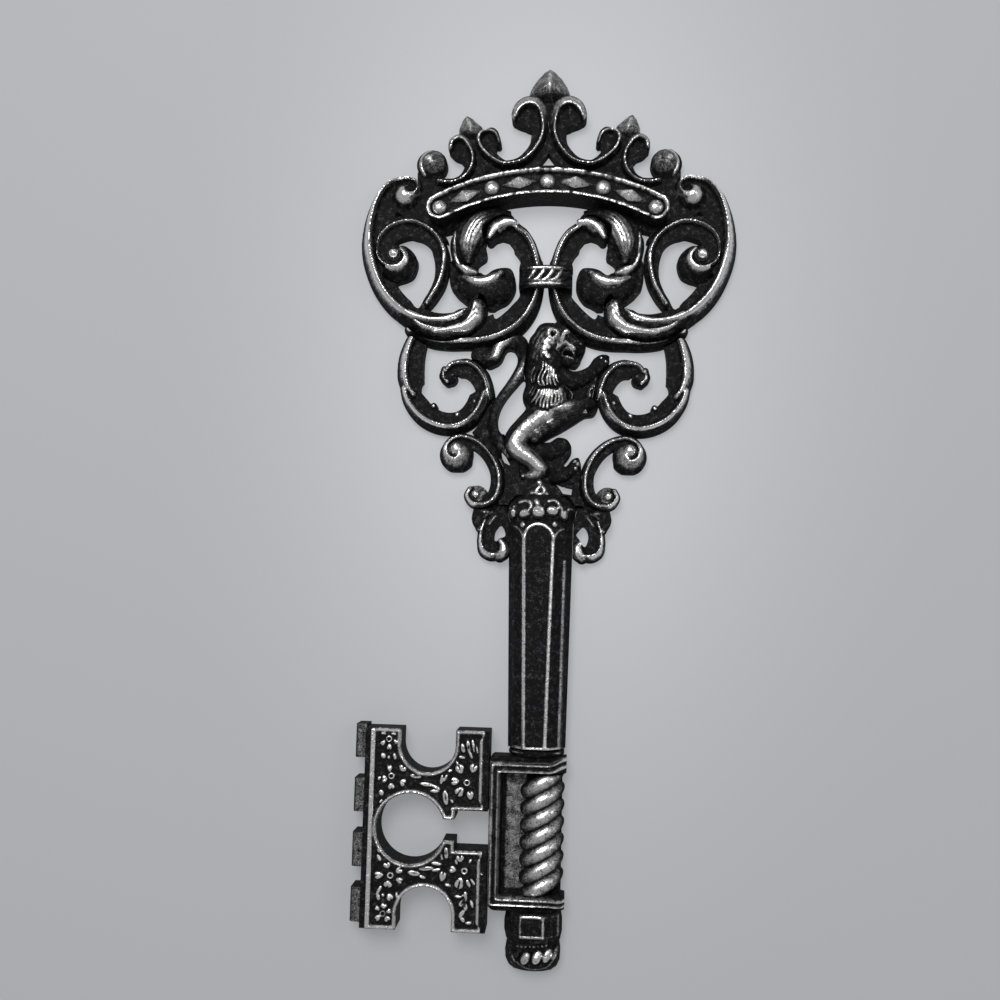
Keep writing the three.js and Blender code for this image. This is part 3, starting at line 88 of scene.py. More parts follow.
# %% Smooth lines
def spline(points, closed=False, step=0.6):
    """Smooth line through the points, with a vertex about every step."""
    p = np.asarray(points, float)
    p = np.vstack([p[-1], p, p[0], p[1]]) if closed else np.vstack([2 * p[0] - p[1], p, 2 * p[-1] - p[-2]])
    line = []
    for a, b, c, d in zip(p, p[1:], p[2:], p[3:]):
        k0, k1, k2 = (max(math.dist(u, v), 1e-6) ** 0.5 for u, v in ((a, b), (b, c), (c, d)))
        t = np.linspace(0, k1, max(2, math.ceil(math.dist(b, c) / step) + 1))[:-1, None]
        ab, bc, cd = a + (b - a) * (t + k0) / k0, b + (c - b) * t / k1, c + (d - c) * (t - k1) / k2
        abc = (ab * (k1 - t) + bc * (t + k0)) / (k0 + k1)
        bcd = (bc * (k1 + k2 - t) + cd * t) / (k1 + k2)
        line.append((abc * (k1 - t) + bcd * t) / k1)
    if not closed:
        line.append(p[-2][None])
    return np.vstack(line)


def along(values, t, knots=None):
    """Value at share t of a list given at the drawn points, or spread evenly if it is shorter or longer."""
    values = np.atleast_1d(np.asarray(values, float))
    if len(values) == 1:
        return values[0] + 0 * t
    even = knots is None or len(values) != len(knots)
    return np.interp(t, np.linspace(0, 1, len(values)) if even else knots, values)


def knots_of(line, points):
    """Share of the way along the line at which it passes each drawn point."""
    return [np.hypot(*(line - point).T).argmin() / (len(line) - 1) for point in points]


def mirrored(pairs):
    """Right half of an outline, closed with its mirror image."""
    return pairs + [[-x, y] for x, y in reversed(pairs) if x > 0]


def hole(pairs, side=1):
    """Smooth closed outline through places on the bow."""
    return spline(on_bow(pairs, side), closed=True, step=1.2)

# %% [markdown]
# ## A sheet of heights for every cast form
# A form cast in an open mould has no undercuts: seen from the front, every spot has one height. So each
# piece is worked as a sheet of heights on a fine grid, together with its distance from the outline. Forms
# are laid on the sheet one after the other and the highest one counts, just as a carver builds up wax.
# Tone notes where a form is rubbed bright by hand, and on some forms it also holds painted highlights and
# painted sheen; shade notes where black is left on purpose, and on the lion's haunch it also holds painted
# shade.

# %% Height sheet
class Sheet:
    def __init__(self, x0, y0, x1, y1, cell=CELL):
        self.cell = cell
        self.xs = np.arange(math.floor(x0 / cell), math.ceil(x1 / cell) + 1) * cell
        self.ys = np.arange(math.floor(y0 / cell), math.ceil(y1 / cell) + 1) * cell
        self.x, self.y = np.meshgrid(self.xs, self.ys)
        self.inside = np.full(self.x.shape, FAR_OUT)
        self.height, self.tone, self.shade = (np.zeros(self.x.shape) for _ in range(3))

    def window(self, x0, y0, x1, y1):
        cols = slice(*np.searchsorted(self.xs, [x0, x1]))
        rows = slice(*np.searchsorted(self.ys, [y0, y1]))
        return rows, cols

    def lay(self, inside, height, spot=(slice(None), slice(None)), valid=True, tone=0.0):
        """Add one form: the outline grows to hold it and the higher surface wins."""
        inside = np.where(valid, inside, FAR_OUT)
        up = (inside > 0) & (height > self.height[spot])
        self.height[spot] = np.where(up, height, self.height[spot])
        self.tone[spot] = np.where(up, tone, self.tone[spot])
        self.inside[spot] = np.maximum(self.inside[spot], inside)

    def lift(self, up, rise, tone=0.0, shade=0.0):
        """Raise the surface by a share of rise, or sink it where rise is below zero."""
        self.height += rise * up
        self.brighten(tone * up)
        self.shade = np.maximum(self.shade, shade * up)

    def brighten(self, tone):
        self.tone = np.maximum(self.tone, tone)


def side_sheet(side, near, foot, far, top, cell=CELL):
    """Sheet over one half of the bow, near and far counted from the middle."""
    return Sheet(near, foot, far, top, cell) if side > 0 else Sheet(-far, foot, -near, top, cell)


def sheet_on(low, high, cell=CELL):
    """Sheet that reaches one millimetre beyond a box."""
    return Sheet(low[0] - 1, low[1] - 1, high[0] + 1, high[1] + 1, cell)

# %% [markdown]
# ## Forms that follow a line
# Scrolls curl back on themselves, so the nearest spot on the whole line would jump from one turn to the
# next. The line is therefore walked in short runs, and each run lays its own stretch of the form.

# %% Walk along a line
def stretches(line, count=16):
    """Short runs of a line that overlap by one piece, so that a spiral never meets itself."""
    for first in range(0, len(line) - 1, count):
        yield max(first - 1, 0), min(first + count + 1, len(line) - 1)


def nearest(line, start, stop, x, y):
    """Offset to the left of a run of the line, share of the way along it, and whether it is beside it."""
    a, b = line[start:stop], line[start + 1:stop + 1]
    d = b - a
    length2 = np.maximum((d ** 2).sum(1), NO_LENGTH)
    px, py = x[..., None] - a[:, 0], y[..., None] - a[:, 1]
    raw = (px * d[:, 0] + py * d[:, 1]) / length2
    t = np.clip(raw, 0, 1)
    dist = np.hypot(px - t * d[:, 0], py - t * d[:, 1])
    k = dist.argmin(-1)
    pick = lambda field: np.take_along_axis(field, k[..., None], -1)[..., 0]
    cross = d[k, 0] * pick(py) - d[k, 1] * pick(px)
    beside = np.ones(x.shape, bool)
    if start > 0:
        beside &= ~((k == 0) & (pick(raw) < 0))
    if stop < len(line) - 1:
        beside &= ~((k == stop - start - 1) & (pick(raw) > 1))
    return pick(dist) * np.where(cross < 0, -1.0, 1.0), (start + k + pick(t)) / (len(line) - 1), beside


def follow(sheet, line, reach, form):
    """Lay a form along a line; form() gives how far inside it a spot is, its height and its tone."""
    for start, stop in stretches(line):
        low, high = line[start:stop + 1].min(0) - reach, line[start:stop + 1].max(0) + reach
        spot = sheet.window(*low, *high)
        x, y = sheet.x[spot], sheet.y[spot]
        if x.size:
            offset, share, beside = nearest(line, start, stop, x, y)
            inside, height, tone = form(offset, share, x, y)
            sheet.lay(inside, height, spot, beside, tone)

# %% [markdown]
# ## Strap and lobe
# A strap is a band with a sharp crest near one edge: outside the crest it slopes away, inside it drops
# into a hollow channel. All the scrolls are straps. A lobe is a rounded swelling that tapers, with ribs
# where it is a leaf. Leaves, limbs and curled ends are lobes.

# %% Strap and lobe
LEAST_WIDTH = 0.1
HOLLOW_CURVE = 1.6
PAST_EDGE = 1.0


def strap(sheet, pairs, side, turn, crest, outer, inner, edge=2.0, floor=6.0, rim=1.4, swell=1.5, grey=0.0,
          disc=None, fade=(0.35, 1.0)):
    """turn is 1 when the crest's outer side lies to the right of the way it is drawn on the right half."""
    line = spline(on_bow(pairs, side))
    knots = knots_of(line, on_bow(pairs, side))

    def form(offset, share, x, y):
        away = -turn * side * offset
        wide, deep, top, low, bed, lip, wear_and_highlight = (
            along(v, share, knots) for v in (outer, inner, crest, edge, floor, rim, grey))
        if disc:
            centre, radius, end = disc
            to_edge = radius - np.hypot(x - centre[0], y - centre[1])
            wide = np.where((away > 0) & (share < end), np.maximum(wide, away + to_edge), wide)
        u = np.clip(away / np.maximum(wide, LEAST_WIDTH), 0, 1)
        v = np.clip(-away / lip, 0, 1)
        slope = low + (top - low) * (1 - u ** swell)
        hollow = bed + (top - bed) * (1 - v) ** HOLLOW_CURVE
        # The grey on the outer slope is partly rubbed wear and partly painted sheen.
        tone = np.where(away > 0, wear_and_highlight * (1 - ease(*fade, u)), 0.0)
        return np.minimum(wide - away, deep + away), np.where(away >= 0, slope, hollow), tone

    follow(sheet, line, max(np.max(outer), np.max(inner)) + PAST_EDGE, form)


def lobe(sheet, pairs, side, width, crown, base=5.6, round_=0.5, ribs=0, rib=0.0, tone=0.0):
    line = spline(on_bow(pairs, side))
    knots = knots_of(line, on_bow(pairs, side))

    def form(offset, share, x, y):
        half, top, low, wear_and_highlight = (along(v, share, knots) for v in (width, crown, base, tone))
        u = np.clip(np.abs(offset) / np.maximum(half, LEAST_WIDTH), 0, 1)
        height = low + (top - low) * (1 - u ** 2) ** round_
        if ribs:
            wave = np.abs(np.sin(np.pi * ribs * (offset * side / np.maximum(half, LEAST_WIDTH) * 0.5 + 0.5)))
            height = height - rib * (1 - wave) ** 1.5
            wear_and_highlight = wear_and_highlight * ease(0.1, 0.6, wave)
        return half - np.abs(offset), height, wear_and_highlight * ease(0.95, 0.35, u)

    follow(sheet, line, np.max(width) + PAST_EDGE, form)

# %% [markdown]
# ## Ball, plate and dome
# A ball is a flattened bead, a plate is flat with softened edges and a dome swells over any outline. The
# last two need the distance of every spot from a closed outline, which also serves to cut the openings.

# %% Ball, plate and dome
def ball(sheet, centre, radius, top, base, round_=0.5, tone=0.0):
    (x, y), reach = centre, radius + PAST_EDGE
    spot = sheet.window(x - reach, y - reach, x + reach, y + reach)
    d = np.hypot(sheet.x[spot] - x, sheet.y[spot] - y)
    height = base + (top - base) * np.clip(1 - (d / radius) ** 2, 0, 1) ** round_
    sheet.lay(radius - d, height, spot, tone=tone)


def line_distance(sheet, line):
    best = np.full(sheet.x.shape, 1e9)
    for (ax, ay), (bx, by) in zip(line, line[1:]):
        dx, dy = bx - ax, by - ay
        t = ((sheet.x - ax) * dx + (sheet.y - ay) * dy) / max(dx * dx + dy * dy, NO_LENGTH)
        t = np.clip(t, 0, 1)
        best = np.minimum(best, (sheet.x - ax - t * dx) ** 2 + (sheet.y - ay - t * dy) ** 2)
    return np.sqrt(best)


def edge_distance(sheet, outline):
    """Distance of every spot from a closed outline, positive inside it."""
    crossings = np.zeros(sheet.x.shape, int)
    for (ax, ay), (bx, by) in zip(outline, np.roll(outline, -1, 0)):
        if ay != by:
            spans = (sheet.y >= min(ay, by)) & (sheet.y < max(ay, by))
            crossings += spans & (sheet.x < ax + (sheet.y - ay) / (by - ay) * (bx - ax))
    return line_distance(sheet, np.vstack([outline, outline[:1]])) * np.where(crossings % 2 == 1, 1.0, -1.0)


def slab(sheet, outline, height, soft=0.8):
    inside = edge_distance(sheet, outline)
    round_off = soft * (1 - np.sqrt(1 - (1 - np.clip(inside / soft, 0, 1)) ** 2))
    sheet.lay(inside, height - round_off)


def dome(sheet, outline, edge, crown, reach, round_=0.5):
    """Swelling over an outline: full height where the edge is farther away than reach."""
    inside = edge_distance(sheet, outline)
    u = 1 - np.clip(inside / reach, 0, 1)
    sheet.lay(inside, edge + (crown - edge) * (1 - u ** 2) ** round_)

# %% [markdown]
# ## Fine lines, dots and oval swellings
# Veins, hair, frame lines, bumps and pits are worked on top of the forms, as with a fine tool at the end:
# they raise or sink the surface that is there, and say whether they end up bright or black.

# %% Fine work
def ridge(sheet, points, half, rise, tone=0.0, shade=0.0, where=1.0):
    """Raise a thin line on the surface, or cut one where rise is below zero."""
    d = line_distance(sheet, spline(points, step=0.8))
    sheet.lift(ease(half * 1.4, half * 0.5, d) * where * (sheet.inside > 0), rise, tone, shade)


def dot(sheet, pairs, radius, rise, tone=0.0, shade=0.0):
    """Small round bumps, or pits where rise is below zero."""
    for x, y in on_bow(np.atleast_2d(pairs)):
        up = ease(radius, radius * 0.35, np.hypot(sheet.x - x, sheet.y - y)) * (sheet.inside > 0)
        sheet.lift(up, rise, tone, shade)


def swelling(sheet, centre, half_x, half_y, rise, turn=0.0, groove=0.5, tone=0.0):
    """Oval bulge with a groove round it."""
    dx, dy = sheet.x - centre[0], sheet.y - centre[1]
    p = (dx * math.cos(turn) + dy * math.sin(turn)) / half_x
    q = (-dx * math.sin(turn) + dy * math.cos(turn)) / half_y
    d = np.hypot(p, q)
    ring = (d - 1) * min(half_x, half_y)
    bump = np.where(d < 1, rise * np.clip(1 - d ** 2, 0, 1) ** 0.5, -groove * np.exp(-(ring / 0.5) ** 2))
    sheet.height += bump * (sheet.inside > 0)
    sheet.brighten(tone * ease(0.98, 0.72, d))

# %% [markdown]
# ## Soft edges and polish
# Sand and plaster moulds soften every edge and leave a faint unevenness, so each sheet is blurred a
# little and gets a fine grain from a fixed seed. Where a spot stands higher than what surrounds it, the
# polishing cloth reached it: that share is kept with every vertex, and the finish reads it.
# The tones and shades laid with the forms go into the same share, with painted highlights, painted sheen and
# painted shade among them.

# %% Softening, grain and polish
def blurred(field, weight, sigma, cell):
    """Gaussian mean of a field over the spots that have weight."""
    rows, cols = field.shape
    pad = int(3 * sigma / cell) + 2
    fy = np.fft.fftfreq(rows + pad)[:, None]
    fx = np.fft.rfftfreq(cols + pad)[None]
    soft = np.exp(-2 * (np.pi * sigma / cell) ** 2 * (fx ** 2 + fy ** 2))
    full = (rows + pad, cols + pad)
    mean = lambda f: np.fft.irfft2(np.fft.rfft2(f, full) * soft, full)
    return mean(field * weight)[:rows, :cols] / np.maximum(mean(weight)[:rows, :cols], 1e-3)


def grain(shape, sigma, seed):
    """Smooth random unevenness with a spread of one."""
    noise = np.random.default_rng(seed).standard_normal(shape)
    soft = blurred(noise, np.ones(shape), sigma, 1.0)
    return soft / soft.std()


TONE_BLUR = 0.3
WEAR = ((0.8, 0.10, 0.55), (2.4, 0.35, 1.7))


def polish_of(sheet, height, weight, wear):
    """Share of polish; wear lists the reach and the steps in height at which it starts and is full."""
    polish = np.maximum(0, blurred(sheet.tone, weight, TONE_BLUR, sheet.cell))
    for reach, low, high in wear:
        polish = np.maximum(polish, ease(low, high, height - blurred(height, weight, reach, sheet.cell)))
    return np.clip(polish - blurred(sheet.shade, weight, TONE_BLUR, sheet.cell), 0, 1)

# %% [markdown]
# ## Joints
# Neighbouring pieces meet at a fine seam. The piece that is laid first keeps its outline, and every later
# one is cut back round it, as a fitter files a part until it drops into place. Of what is left, only the
# biggest connected part counts, so that no crumb of metal floats beside the piece.

# %% Seams between pieces
LEAST_INSIDE = 0.012
laid = []


def give_way(sheet, inside, over=()):
    """Cut the outline back to leave the joint round every piece laid earlier, save those it runs over."""
    for name, other in laid:
        if name in over:
            continue
        rows = (sheet.y - other.ys[0]) / other.cell
        cols = (sheet.x - other.xs[0]) / other.cell
        last_row, last_col = (size - 1 for size in other.x.shape)
        r, c = np.clip(rows, 0, last_row - 0.001), np.clip(cols, 0, last_col - 0.001)
        i, j = r.astype(int), c.astype(int)
        fr, fc = r - i, c - j
        f = other.cut
        left = f[i, j] * (1 - fr) + f[i + 1, j] * fr
        right = f[i, j + 1] * (1 - fr) + f[i + 1, j + 1] * fr
        outside = (rows < 0) | (cols < 0) | (rows > last_row) | (cols > last_col)
        theirs = left * (1 - fc) + right * fc
        inside = np.minimum(inside, np.where(outside, -FAR_OUT, -(theirs + SEAM)))
    return inside


def sweep_max(label):
    """Carry the highest label forward row by row through connected spots."""
    out = label.copy()
    for row in range(1, len(out)):
        out[row] = np.where(out[row] > 0, np.maximum(out[row], out[row - 1]), 0)
    return out


def largest_lump(inside):
    """Keep the biggest connected part of the outline."""
    mask = inside > 0
    label = np.where(mask, np.arange(mask.size).reshape(mask.shape) + 1, 0)
    settled = False
    while not settled:
        grown_label = label.copy()
        for axis in (0, 1):
            for step in (1, -1):
                rows = np.moveaxis(grown_label, axis, 0)[::step]
                rows[:] = sweep_max(rows)
        settled = (grown_label == label).all()
        label = grown_label
    names, counts = np.unique(label[label > 0], return_counts=True)
    return np.where(label == names[counts.argmax()], inside, np.minimum(inside, -LEAST_INSIDE))

# %% [markdown]
# ## From sheet to triangles
# The sheet is cut along its outline: whole triangles stay, and those that the outline crosses are
# clipped. A wall goes down from the cut edge to the flat back. A ring of vertices just below the edge
# carries only a little polish, so that the rim is worn and the wall stays black.

# %% Cut a sheet
RIM_DROP = 0.4
RING_POLISH = 0.2


def cut_sheet(sheet, inside, height, polish, base):
    """Points, triangles and polish of a closed body: top, ring, wall and back."""
    size = inside.size
    inside = inside.copy()
    inside[0], inside[-1], inside[:, 0], inside[:, -1] = -1, -1, -1, -1
    inside[np.abs(inside) < LEAST_INSIDE] = LEAST_INSIDE
    inside = largest_lump(inside)
    f, h, p, x, y, floor = (field.ravel() for field in (inside, height, polish, sheet.x, sheet.y, base))
    index = np.arange(size).reshape(inside.shape)
    a, b, c, d = index[:-1, :-1], index[:-1, 1:], index[1:, 1:], index[1:, :-1]
    tris = np.concatenate([np.stack([a, b, c], -1).reshape(-1, 3), np.stack([a, c, d], -1).reshape(-1, 3)])
    sign = f[tris] > 0
    count = sign.sum(1)
    turn = lambda t, k: np.take_along_axis(t, (k[:, None] + np.arange(3)) % 3, 1)
    whole = tris[count == 3]
    one = turn(tris[count == 1], sign[count == 1].argmax(1))
    two = turn(tris[count == 2], (~sign[count == 2]).argmax(1))
    edges = np.concatenate([one[:, [0, 1]], one[:, [0, 2]], two[:, [1, 0]], two[:, [2, 0]]])
    key, place = np.unique(edges[:, 0] * size + edges[:, 1], return_inverse=True)
    u, v = key // size, key % size
    share = f[u] / (f[u] - f[v])
    used = np.unique(np.concatenate([whole.ravel(), one[:, 0], two[:, 1], two[:, 2]]))
    number = np.full(size, -1)
    number[used] = np.arange(len(used))
    mix = lambda g: np.concatenate([g[used], g[u] + (g[v] - g[u]) * share])
    points = np.stack([mix(x), mix(y), mix(h)], 1)
    shine = mix(p)
    n1, n2 = len(one), len(two)
    e01, e02, e10, e20 = np.split(len(used) + place, [n1, 2 * n1, 2 * n1 + n2])
    top = np.concatenate([
        number[whole],
        np.stack([number[one[:, 0]], e01, e02], 1),
        np.stack([e10, number[two[:, 1]], number[two[:, 2]]], 1),
        np.stack([e10, number[two[:, 2]], e20], 1),
    ])
    back = points.copy()
    back[:, 2] = mix(floor)
    ring = points[len(used):].copy()
    ring[:, 2] = np.maximum(ring[:, 2] - RIM_DROP, (ring[:, 2] + back[len(used):, 2]) / 2)
    total = len(points)
    step = 2 * total - len(used)
    first, second = np.concatenate([[e01, e02], [e20, e10]], 1)
    wall = np.concatenate([
        np.stack([first, first + step, second + step], 1),
        np.stack([first, second + step, second], 1),
        np.stack([first + step, first + total, second + total], 1),
        np.stack([first + step, second + total, second + step], 1),
    ])
    faces = np.concatenate([top, wall, top[:, ::-1] + total])
    shine = np.concatenate([shine, 0 * shine, RING_POLISH * shine[len(used):]])
    return np.concatenate([points, back, ring]), faces, shine

# %% [markdown]
# ## The finished piece
# Each piece takes the place of its own solid: it hides it, hangs under the root body and wears the finish it
# is given. Faces are smooth, save across folds that are sharper than the given angle.

# %% Finished piece
WIDE_GRAIN, CLOSE_GRAIN = 1.6, 0.8


def finish_piece(piece, material, name, angle=38):
    mesh = piece.data
    mesh.materials.clear()
    mesh.materials.append(material)
    mesh.polygons.foreach_set("use_smooth", np.ones(len(mesh.polygons), bool))
    mesh.set_sharp_from_angle(angle=math.radians(angle))
    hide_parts(name)
    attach(piece, "root")
    print(f"{piece.name:30s} {len(mesh.loops) - 2 * len(mesh.polygons):7d} triangles")


def new_object(name, data):
    piece = bpy.data.objects.new(name, data)
    bpy.context.scene.collection.objects.link(piece)
    return piece


def body_of(name, sheet, material, base=0.0, over=(), holes=(), soften=0.28, rough=0.035, seed=1, wear=WEAR):
    """Finish a sheet and build the closed mesh of one piece from it."""
    inside = sheet.inside.copy()
    for outline in holes:
        inside = np.minimum(inside, -edge_distance(sheet, outline))
    inside = give_way(sheet, inside, over)
    sheet.cut = inside
    laid.append((name, sheet))
    weight = (sheet.inside > 0).astype(float)
    height = blurred(sheet.height, weight, soften, sheet.cell)
    polish = polish_of(sheet, height, weight, wear)
    height = height + rough * grain(height.shape, WIDE_GRAIN, seed)
    height = height + rough * 0.6 * grain(height.shape, CLOSE_GRAIN, seed + 1)
    height = np.maximum(height, base + 0.2)
    points, faces, shine = cut_sheet(sheet, inside, height, polish, np.broadcast_to(base, height.shape))
    mesh = bpy.data.meshes.new(f"{name}_casting")
    mesh.vertices.add(len(points))
    mesh.vertices.foreach_set("co", (points * MM).astype(np.float32).ravel())
    mesh.loops.add(faces.size)
    mesh.loops.foreach_set("vertex_index", faces.astype(np.int32).ravel())
    mesh.polygons.add(len(faces))
    mesh.polygons.foreach_set("loop_start", np.arange(0, faces.size, 3, dtype=np.int32))
    mesh.polygons.foreach_set("loop_total", np.full(len(faces), 3, dtype=np.int32))
    mesh.update(calc_edges=True)
    wear_and_highlight = mesh.attributes.new("polish", "FLOAT", "POINT")
    wear_and_highlight.data.foreach_set("value", shine.astype(np.float32))
    finish_piece(new_object(f"{name}_casting", mesh), material, name)


def bow_piece(name, sheet, material, seed, openings=(), **rest):
    """Piece of the bow, with every opening of the bow taken out of it."""
    body_of(name, sheet, material, holes=HOLES + list(openings), seed=seed, **rest)

# %% [markdown]
# ## Finish
# The metal was blackened all over and then rubbed, so the black stays in the hollows and on the side walls
# while crests, balls and leaf crowns turn to bright metal. One shared shader group reads the polish kept
# in the mesh, breaks its border up with fine grain, pits it, and gives colour, metal, roughness and bump.
# Besides the rubbing, that polish carries the painted highlights, painted sheen and painted shade of some
# forms.

# %% Node helper
def put(tree, kind, *values, out=0, **settings):
    """Add a node to a tree, fill its sockets in order and give back one of its outputs."""
    node = tree.nodes.new(kind)
    for key, value in settings.items():
        setattr(node, key, value)
    for socket, value in zip(node.inputs, values):
        if isinstance(value, bpy.types.NodeSocket):
            tree.links.new(value, socket)
        elif value is not None:
            socket.default_value = value
    return node.outputs[out]


# %% Worn metal
def worn_metal_group():
    group = bpy.data.node_groups.new("Worn cast metal", "ShaderNodeTree")
    for name in ("Polish", "Grain"):
        group.interface.new_socket(name, in_out="INPUT", socket_type="NodeSocketFloat")
    for name, kind in (("Color", "Color"), ("Metal", "Float"), ("Roughness", "Float"), ("Height", "Float")):
        group.interface.new_socket(name, in_out="OUTPUT", socket_type="NodeSocket" + kind)
    given = group.nodes.new("NodeGroupInput").outputs
    result = group.nodes.new("NodeGroupOutput")
    place = put(group, "ShaderNodeTexCoord", out="Object")

    def noise(scale, detail, rough):
        return put(group, "ShaderNodeTexNoise", place, None, scale, detail, rough)

    def maths(operation, first, second):
        return put(group, "ShaderNodeMath", first, second, operation=operation)

    def remap(value, *ends):
        return put(group, "ShaderNodeMapRange", value, *ends, interpolation_type="SMOOTHSTEP")

    specks = noise(2600, 4, 0.7)
    blotches = noise(520, 3, 0.6)
    pits = remap(noise(1500, 2, 0.5), 0.30, 0.42, 1, 0)
    broken = maths("MULTIPLY", maths("SUBTRACT", specks, 0.5), 0.9)
    drift = maths("MULTIPLY", maths("SUBTRACT", blotches, 0.5), 0.5)
    reached = remap(given["Polish"], 0.02, 0.22, 0.25, 1)
    uneven = maths("MULTIPLY", maths("MULTIPLY", maths("ADD", broken, drift), given["Grain"]), reached)
    level = maths("ADD", given["Polish"], uneven)
    level = maths("SUBTRACT", level, maths("MULTIPLY", pits, 0.35))
    bright = remap(level, 0.12, 0.72, 0, 1)
    mottled = maths("ADD", maths("MULTIPLY", specks, 0.6), maths("MULTIPLY", blotches, 0.4))
    scuffs = maths("MULTIPLY", remap(mottled, 0.5, 0.66, 0, 0.33), given["Grain"])
    bare = maths("MAXIMUM", bright, scuffs)
    colour = group.nodes.new("ShaderNodeValToRGB")
    group.links.new(bare, colour.inputs["Fac"])
    stops = colour.color_ramp.elements
    stops[0].color = (0.0035, 0.0035, 0.004, 1)
    stops[1].color = (0.88, 0.87, 0.86, 1)
    for at, tone in ((0.2, (0.035, 0.035, 0.037, 1)), (0.5, (0.19, 0.19, 0.188, 1))):
        stops.new(at).color = tone
    patchy = maths("MULTIPLY", maths("SUBTRACT", blotches, 0.5), 0.25)
    sheen = maths("ADD", remap(bare, 0.05, 0.9, 0.68, 0.27), patchy)
    grains = maths("ADD", maths("MULTIPLY", specks, 0.5), maths("MULTIPLY", pits, -0.6))
    height = maths("ADD", grains, maths("MULTIPLY", blotches, 0.25))
    made = (colour.outputs["Color"], remap(bare, 0.3, 0.75, 0.0, 1), sheen, height)
    for source, socket in zip(made, result.inputs):
        group.links.new(source, socket)
    return group


WORN = worn_metal_group()


def worn_metal(name, lift):
    """Material whose polish comes from the mesh; lift brightens the whole piece."""
    material = bpy.data.materials.new(name)
    material.use_nodes = True
    tree = material.node_tree
    shader = tree.nodes["Principled BSDF"]
    wear_and_highlight = tree.nodes.new("ShaderNodeGroup")
    wear_and_highlight.node_tree = WORN
    wear_and_highlight.inputs["Grain"].default_value = 1.0
    polish = put(tree, "ShaderNodeAttribute", attribute_name="polish", out="Fac")
    tree.links.new(put(tree, "ShaderNodeMath", polish, lift, operation="ADD"), wear_and_highlight.inputs["Polish"])
    bump = tree.nodes.new("ShaderNodeBump")
    bump.inputs["Strength"].default_value = 0.35
    bump.inputs["Distance"].default_value = 0.0002
    tree.links.new(wear_and_highlight.outputs["Height"], bump.inputs["Height"])
    for source, socket in (("Color", "Base Color"), ("Metal", "Metallic"), ("Roughness", "Roughness")):
        tree.links.new(wear_and_highlight.outputs[source], shader.inputs[socket])
    tree.links.new(bump.outputs["Normal"], shader.inputs["Normal"])
    shader.inputs["Specular IOR Level"].default_value = 0.09
    return material


SILVER = worn_metal("rubbed_metal", 0.03)
HALF = worn_metal("half_rubbed_metal", 0.01)
BLACK = worn_metal("blackened_metal", 0.0)
print(len(WORN.nodes), "nodes make the finish")

# %% [markdown]
# ## Openings
# The head is pierced: light comes through between the scrolls. Each opening is drawn once as a smooth
# closed line and taken out of every piece that reaches into it.

# %% Openings of the bow
VOLUTE_OPENING = [
    [0.797, 0.641], [0.749, 0.646], [0.695, 0.647], [0.651, 0.641], [0.618, 0.629], [0.6, 0.61],
    [0.588, 0.589], [0.591, 0.563], [0.616, 0.538], [0.641, 0.522], [0.672, 0.503], [0.733, 0.528],
    [0.794, 0.554], [0.747, 0.561], [0.71, 0.569], [0.69, 0.585], [0.686, 0.602], [0.703, 0.616],
    [0.742, 0.63],
]
INNER_OPENING = [
    [0.363, 0.59], [0.316, 0.606], [0.29, 0.616], [0.264, 0.626], [0.227, 0.629], [0.19, 0.627],
    [0.157, 0.616], [0.135, 0.6], [0.141, 0.584], [0.141, 0.563], [0.139, 0.543], [0.136, 0.527],
    [0.172, 0.51], [0.213, 0.494], [0.26, 0.482], [0.272, 0.5], [0.241, 0.509], [0.204, 0.516],
    [0.173, 0.531], [0.158, 0.549], [0.165, 0.569], [0.187, 0.584], [0.23, 0.586], [0.277, 0.582],
    [0.324, 0.571],
]
CORNER_HOLE = [[0.802, 0.701], [0.818, 0.691], [0.791, 0.689], [0.758, 0.691]]
WEDGE_HOLE = [[0.55, 0.658], [0.486, 0.664], [0.501, 0.649], [0.522, 0.641]]
LEAF_HOLE = [[0.499, 0.544], [0.465, 0.528], [0.411, 0.512], [0.431, 0.502], [0.495, 0.498], [0.559, 0.497]]
FOOT_HOLE_LEFT = [
    [-0.209, 0.076], [-0.226, 0.07], [-0.239, 0.061], [-0.24, 0.047], [-0.225, 0.045], [-0.215, 0.05],
    [-0.184, 0.055], [-0.185, 0.063], [-0.195, 0.071],
]
FOOT_HOLE_RIGHT = [
    [0.215, 0.076], [0.194, 0.068], [0.18, 0.06], [0.195, 0.052], [0.211, 0.041], [0.226, 0.037],
    [0.241, 0.049], [0.243, 0.06], [0.23, 0.072],
]
CROWN_HOLE = [[0, 0.823], [0.05, 0.798], [-0.05, 0.798]]
BAND_OPENING = [
    [0, 0.707], [0.077, 0.706], [0.151, 0.703], [0.226, 0.697], [0.16, 0.684], [0.111, 0.668],
    [0.059, 0.637], [0.026, 0.604], [0, 0.594],
]
TAIL_OPENING = [
    [-0.105, 0.363], [-0.094, 0.352], [-0.109, 0.334], [-0.108, 0.32], [-0.092, 0.306], [-0.132, 0.286],
    [-0.173, 0.268], [-0.208, 0.252], [-0.23, 0.263], [-0.237, 0.283], [-0.222, 0.305], [-0.192, 0.325],
    [-0.146, 0.347],
]
HEEL_HOLE = [[0.07, 0.159], [0.113, 0.153], [0.156, 0.15], [0.152, 0.136], [0.109, 0.138]]
KNEE_HOLE = [[-0.217, 0.222], [-0.191, 0.211], [-0.163, 0.191], [-0.195, 0.197], [-0.211, 0.209]]
PAIRED = (VOLUTE_OPENING, INNER_OPENING)
CORNERED = (CORNER_HOLE, WEDGE_HOLE, LEAF_HOLE)
HOLES = [hole(pairs, side) for pairs in PAIRED for side in (1, -1)]
HOLES += [on_bow(pairs, side) for pairs in CORNERED for side in (1, -1)]
HOLES += [on_bow(CROWN_HOLE), on_bow(mirrored(BAND_OPENING)), hole(TAIL_OPENING)]
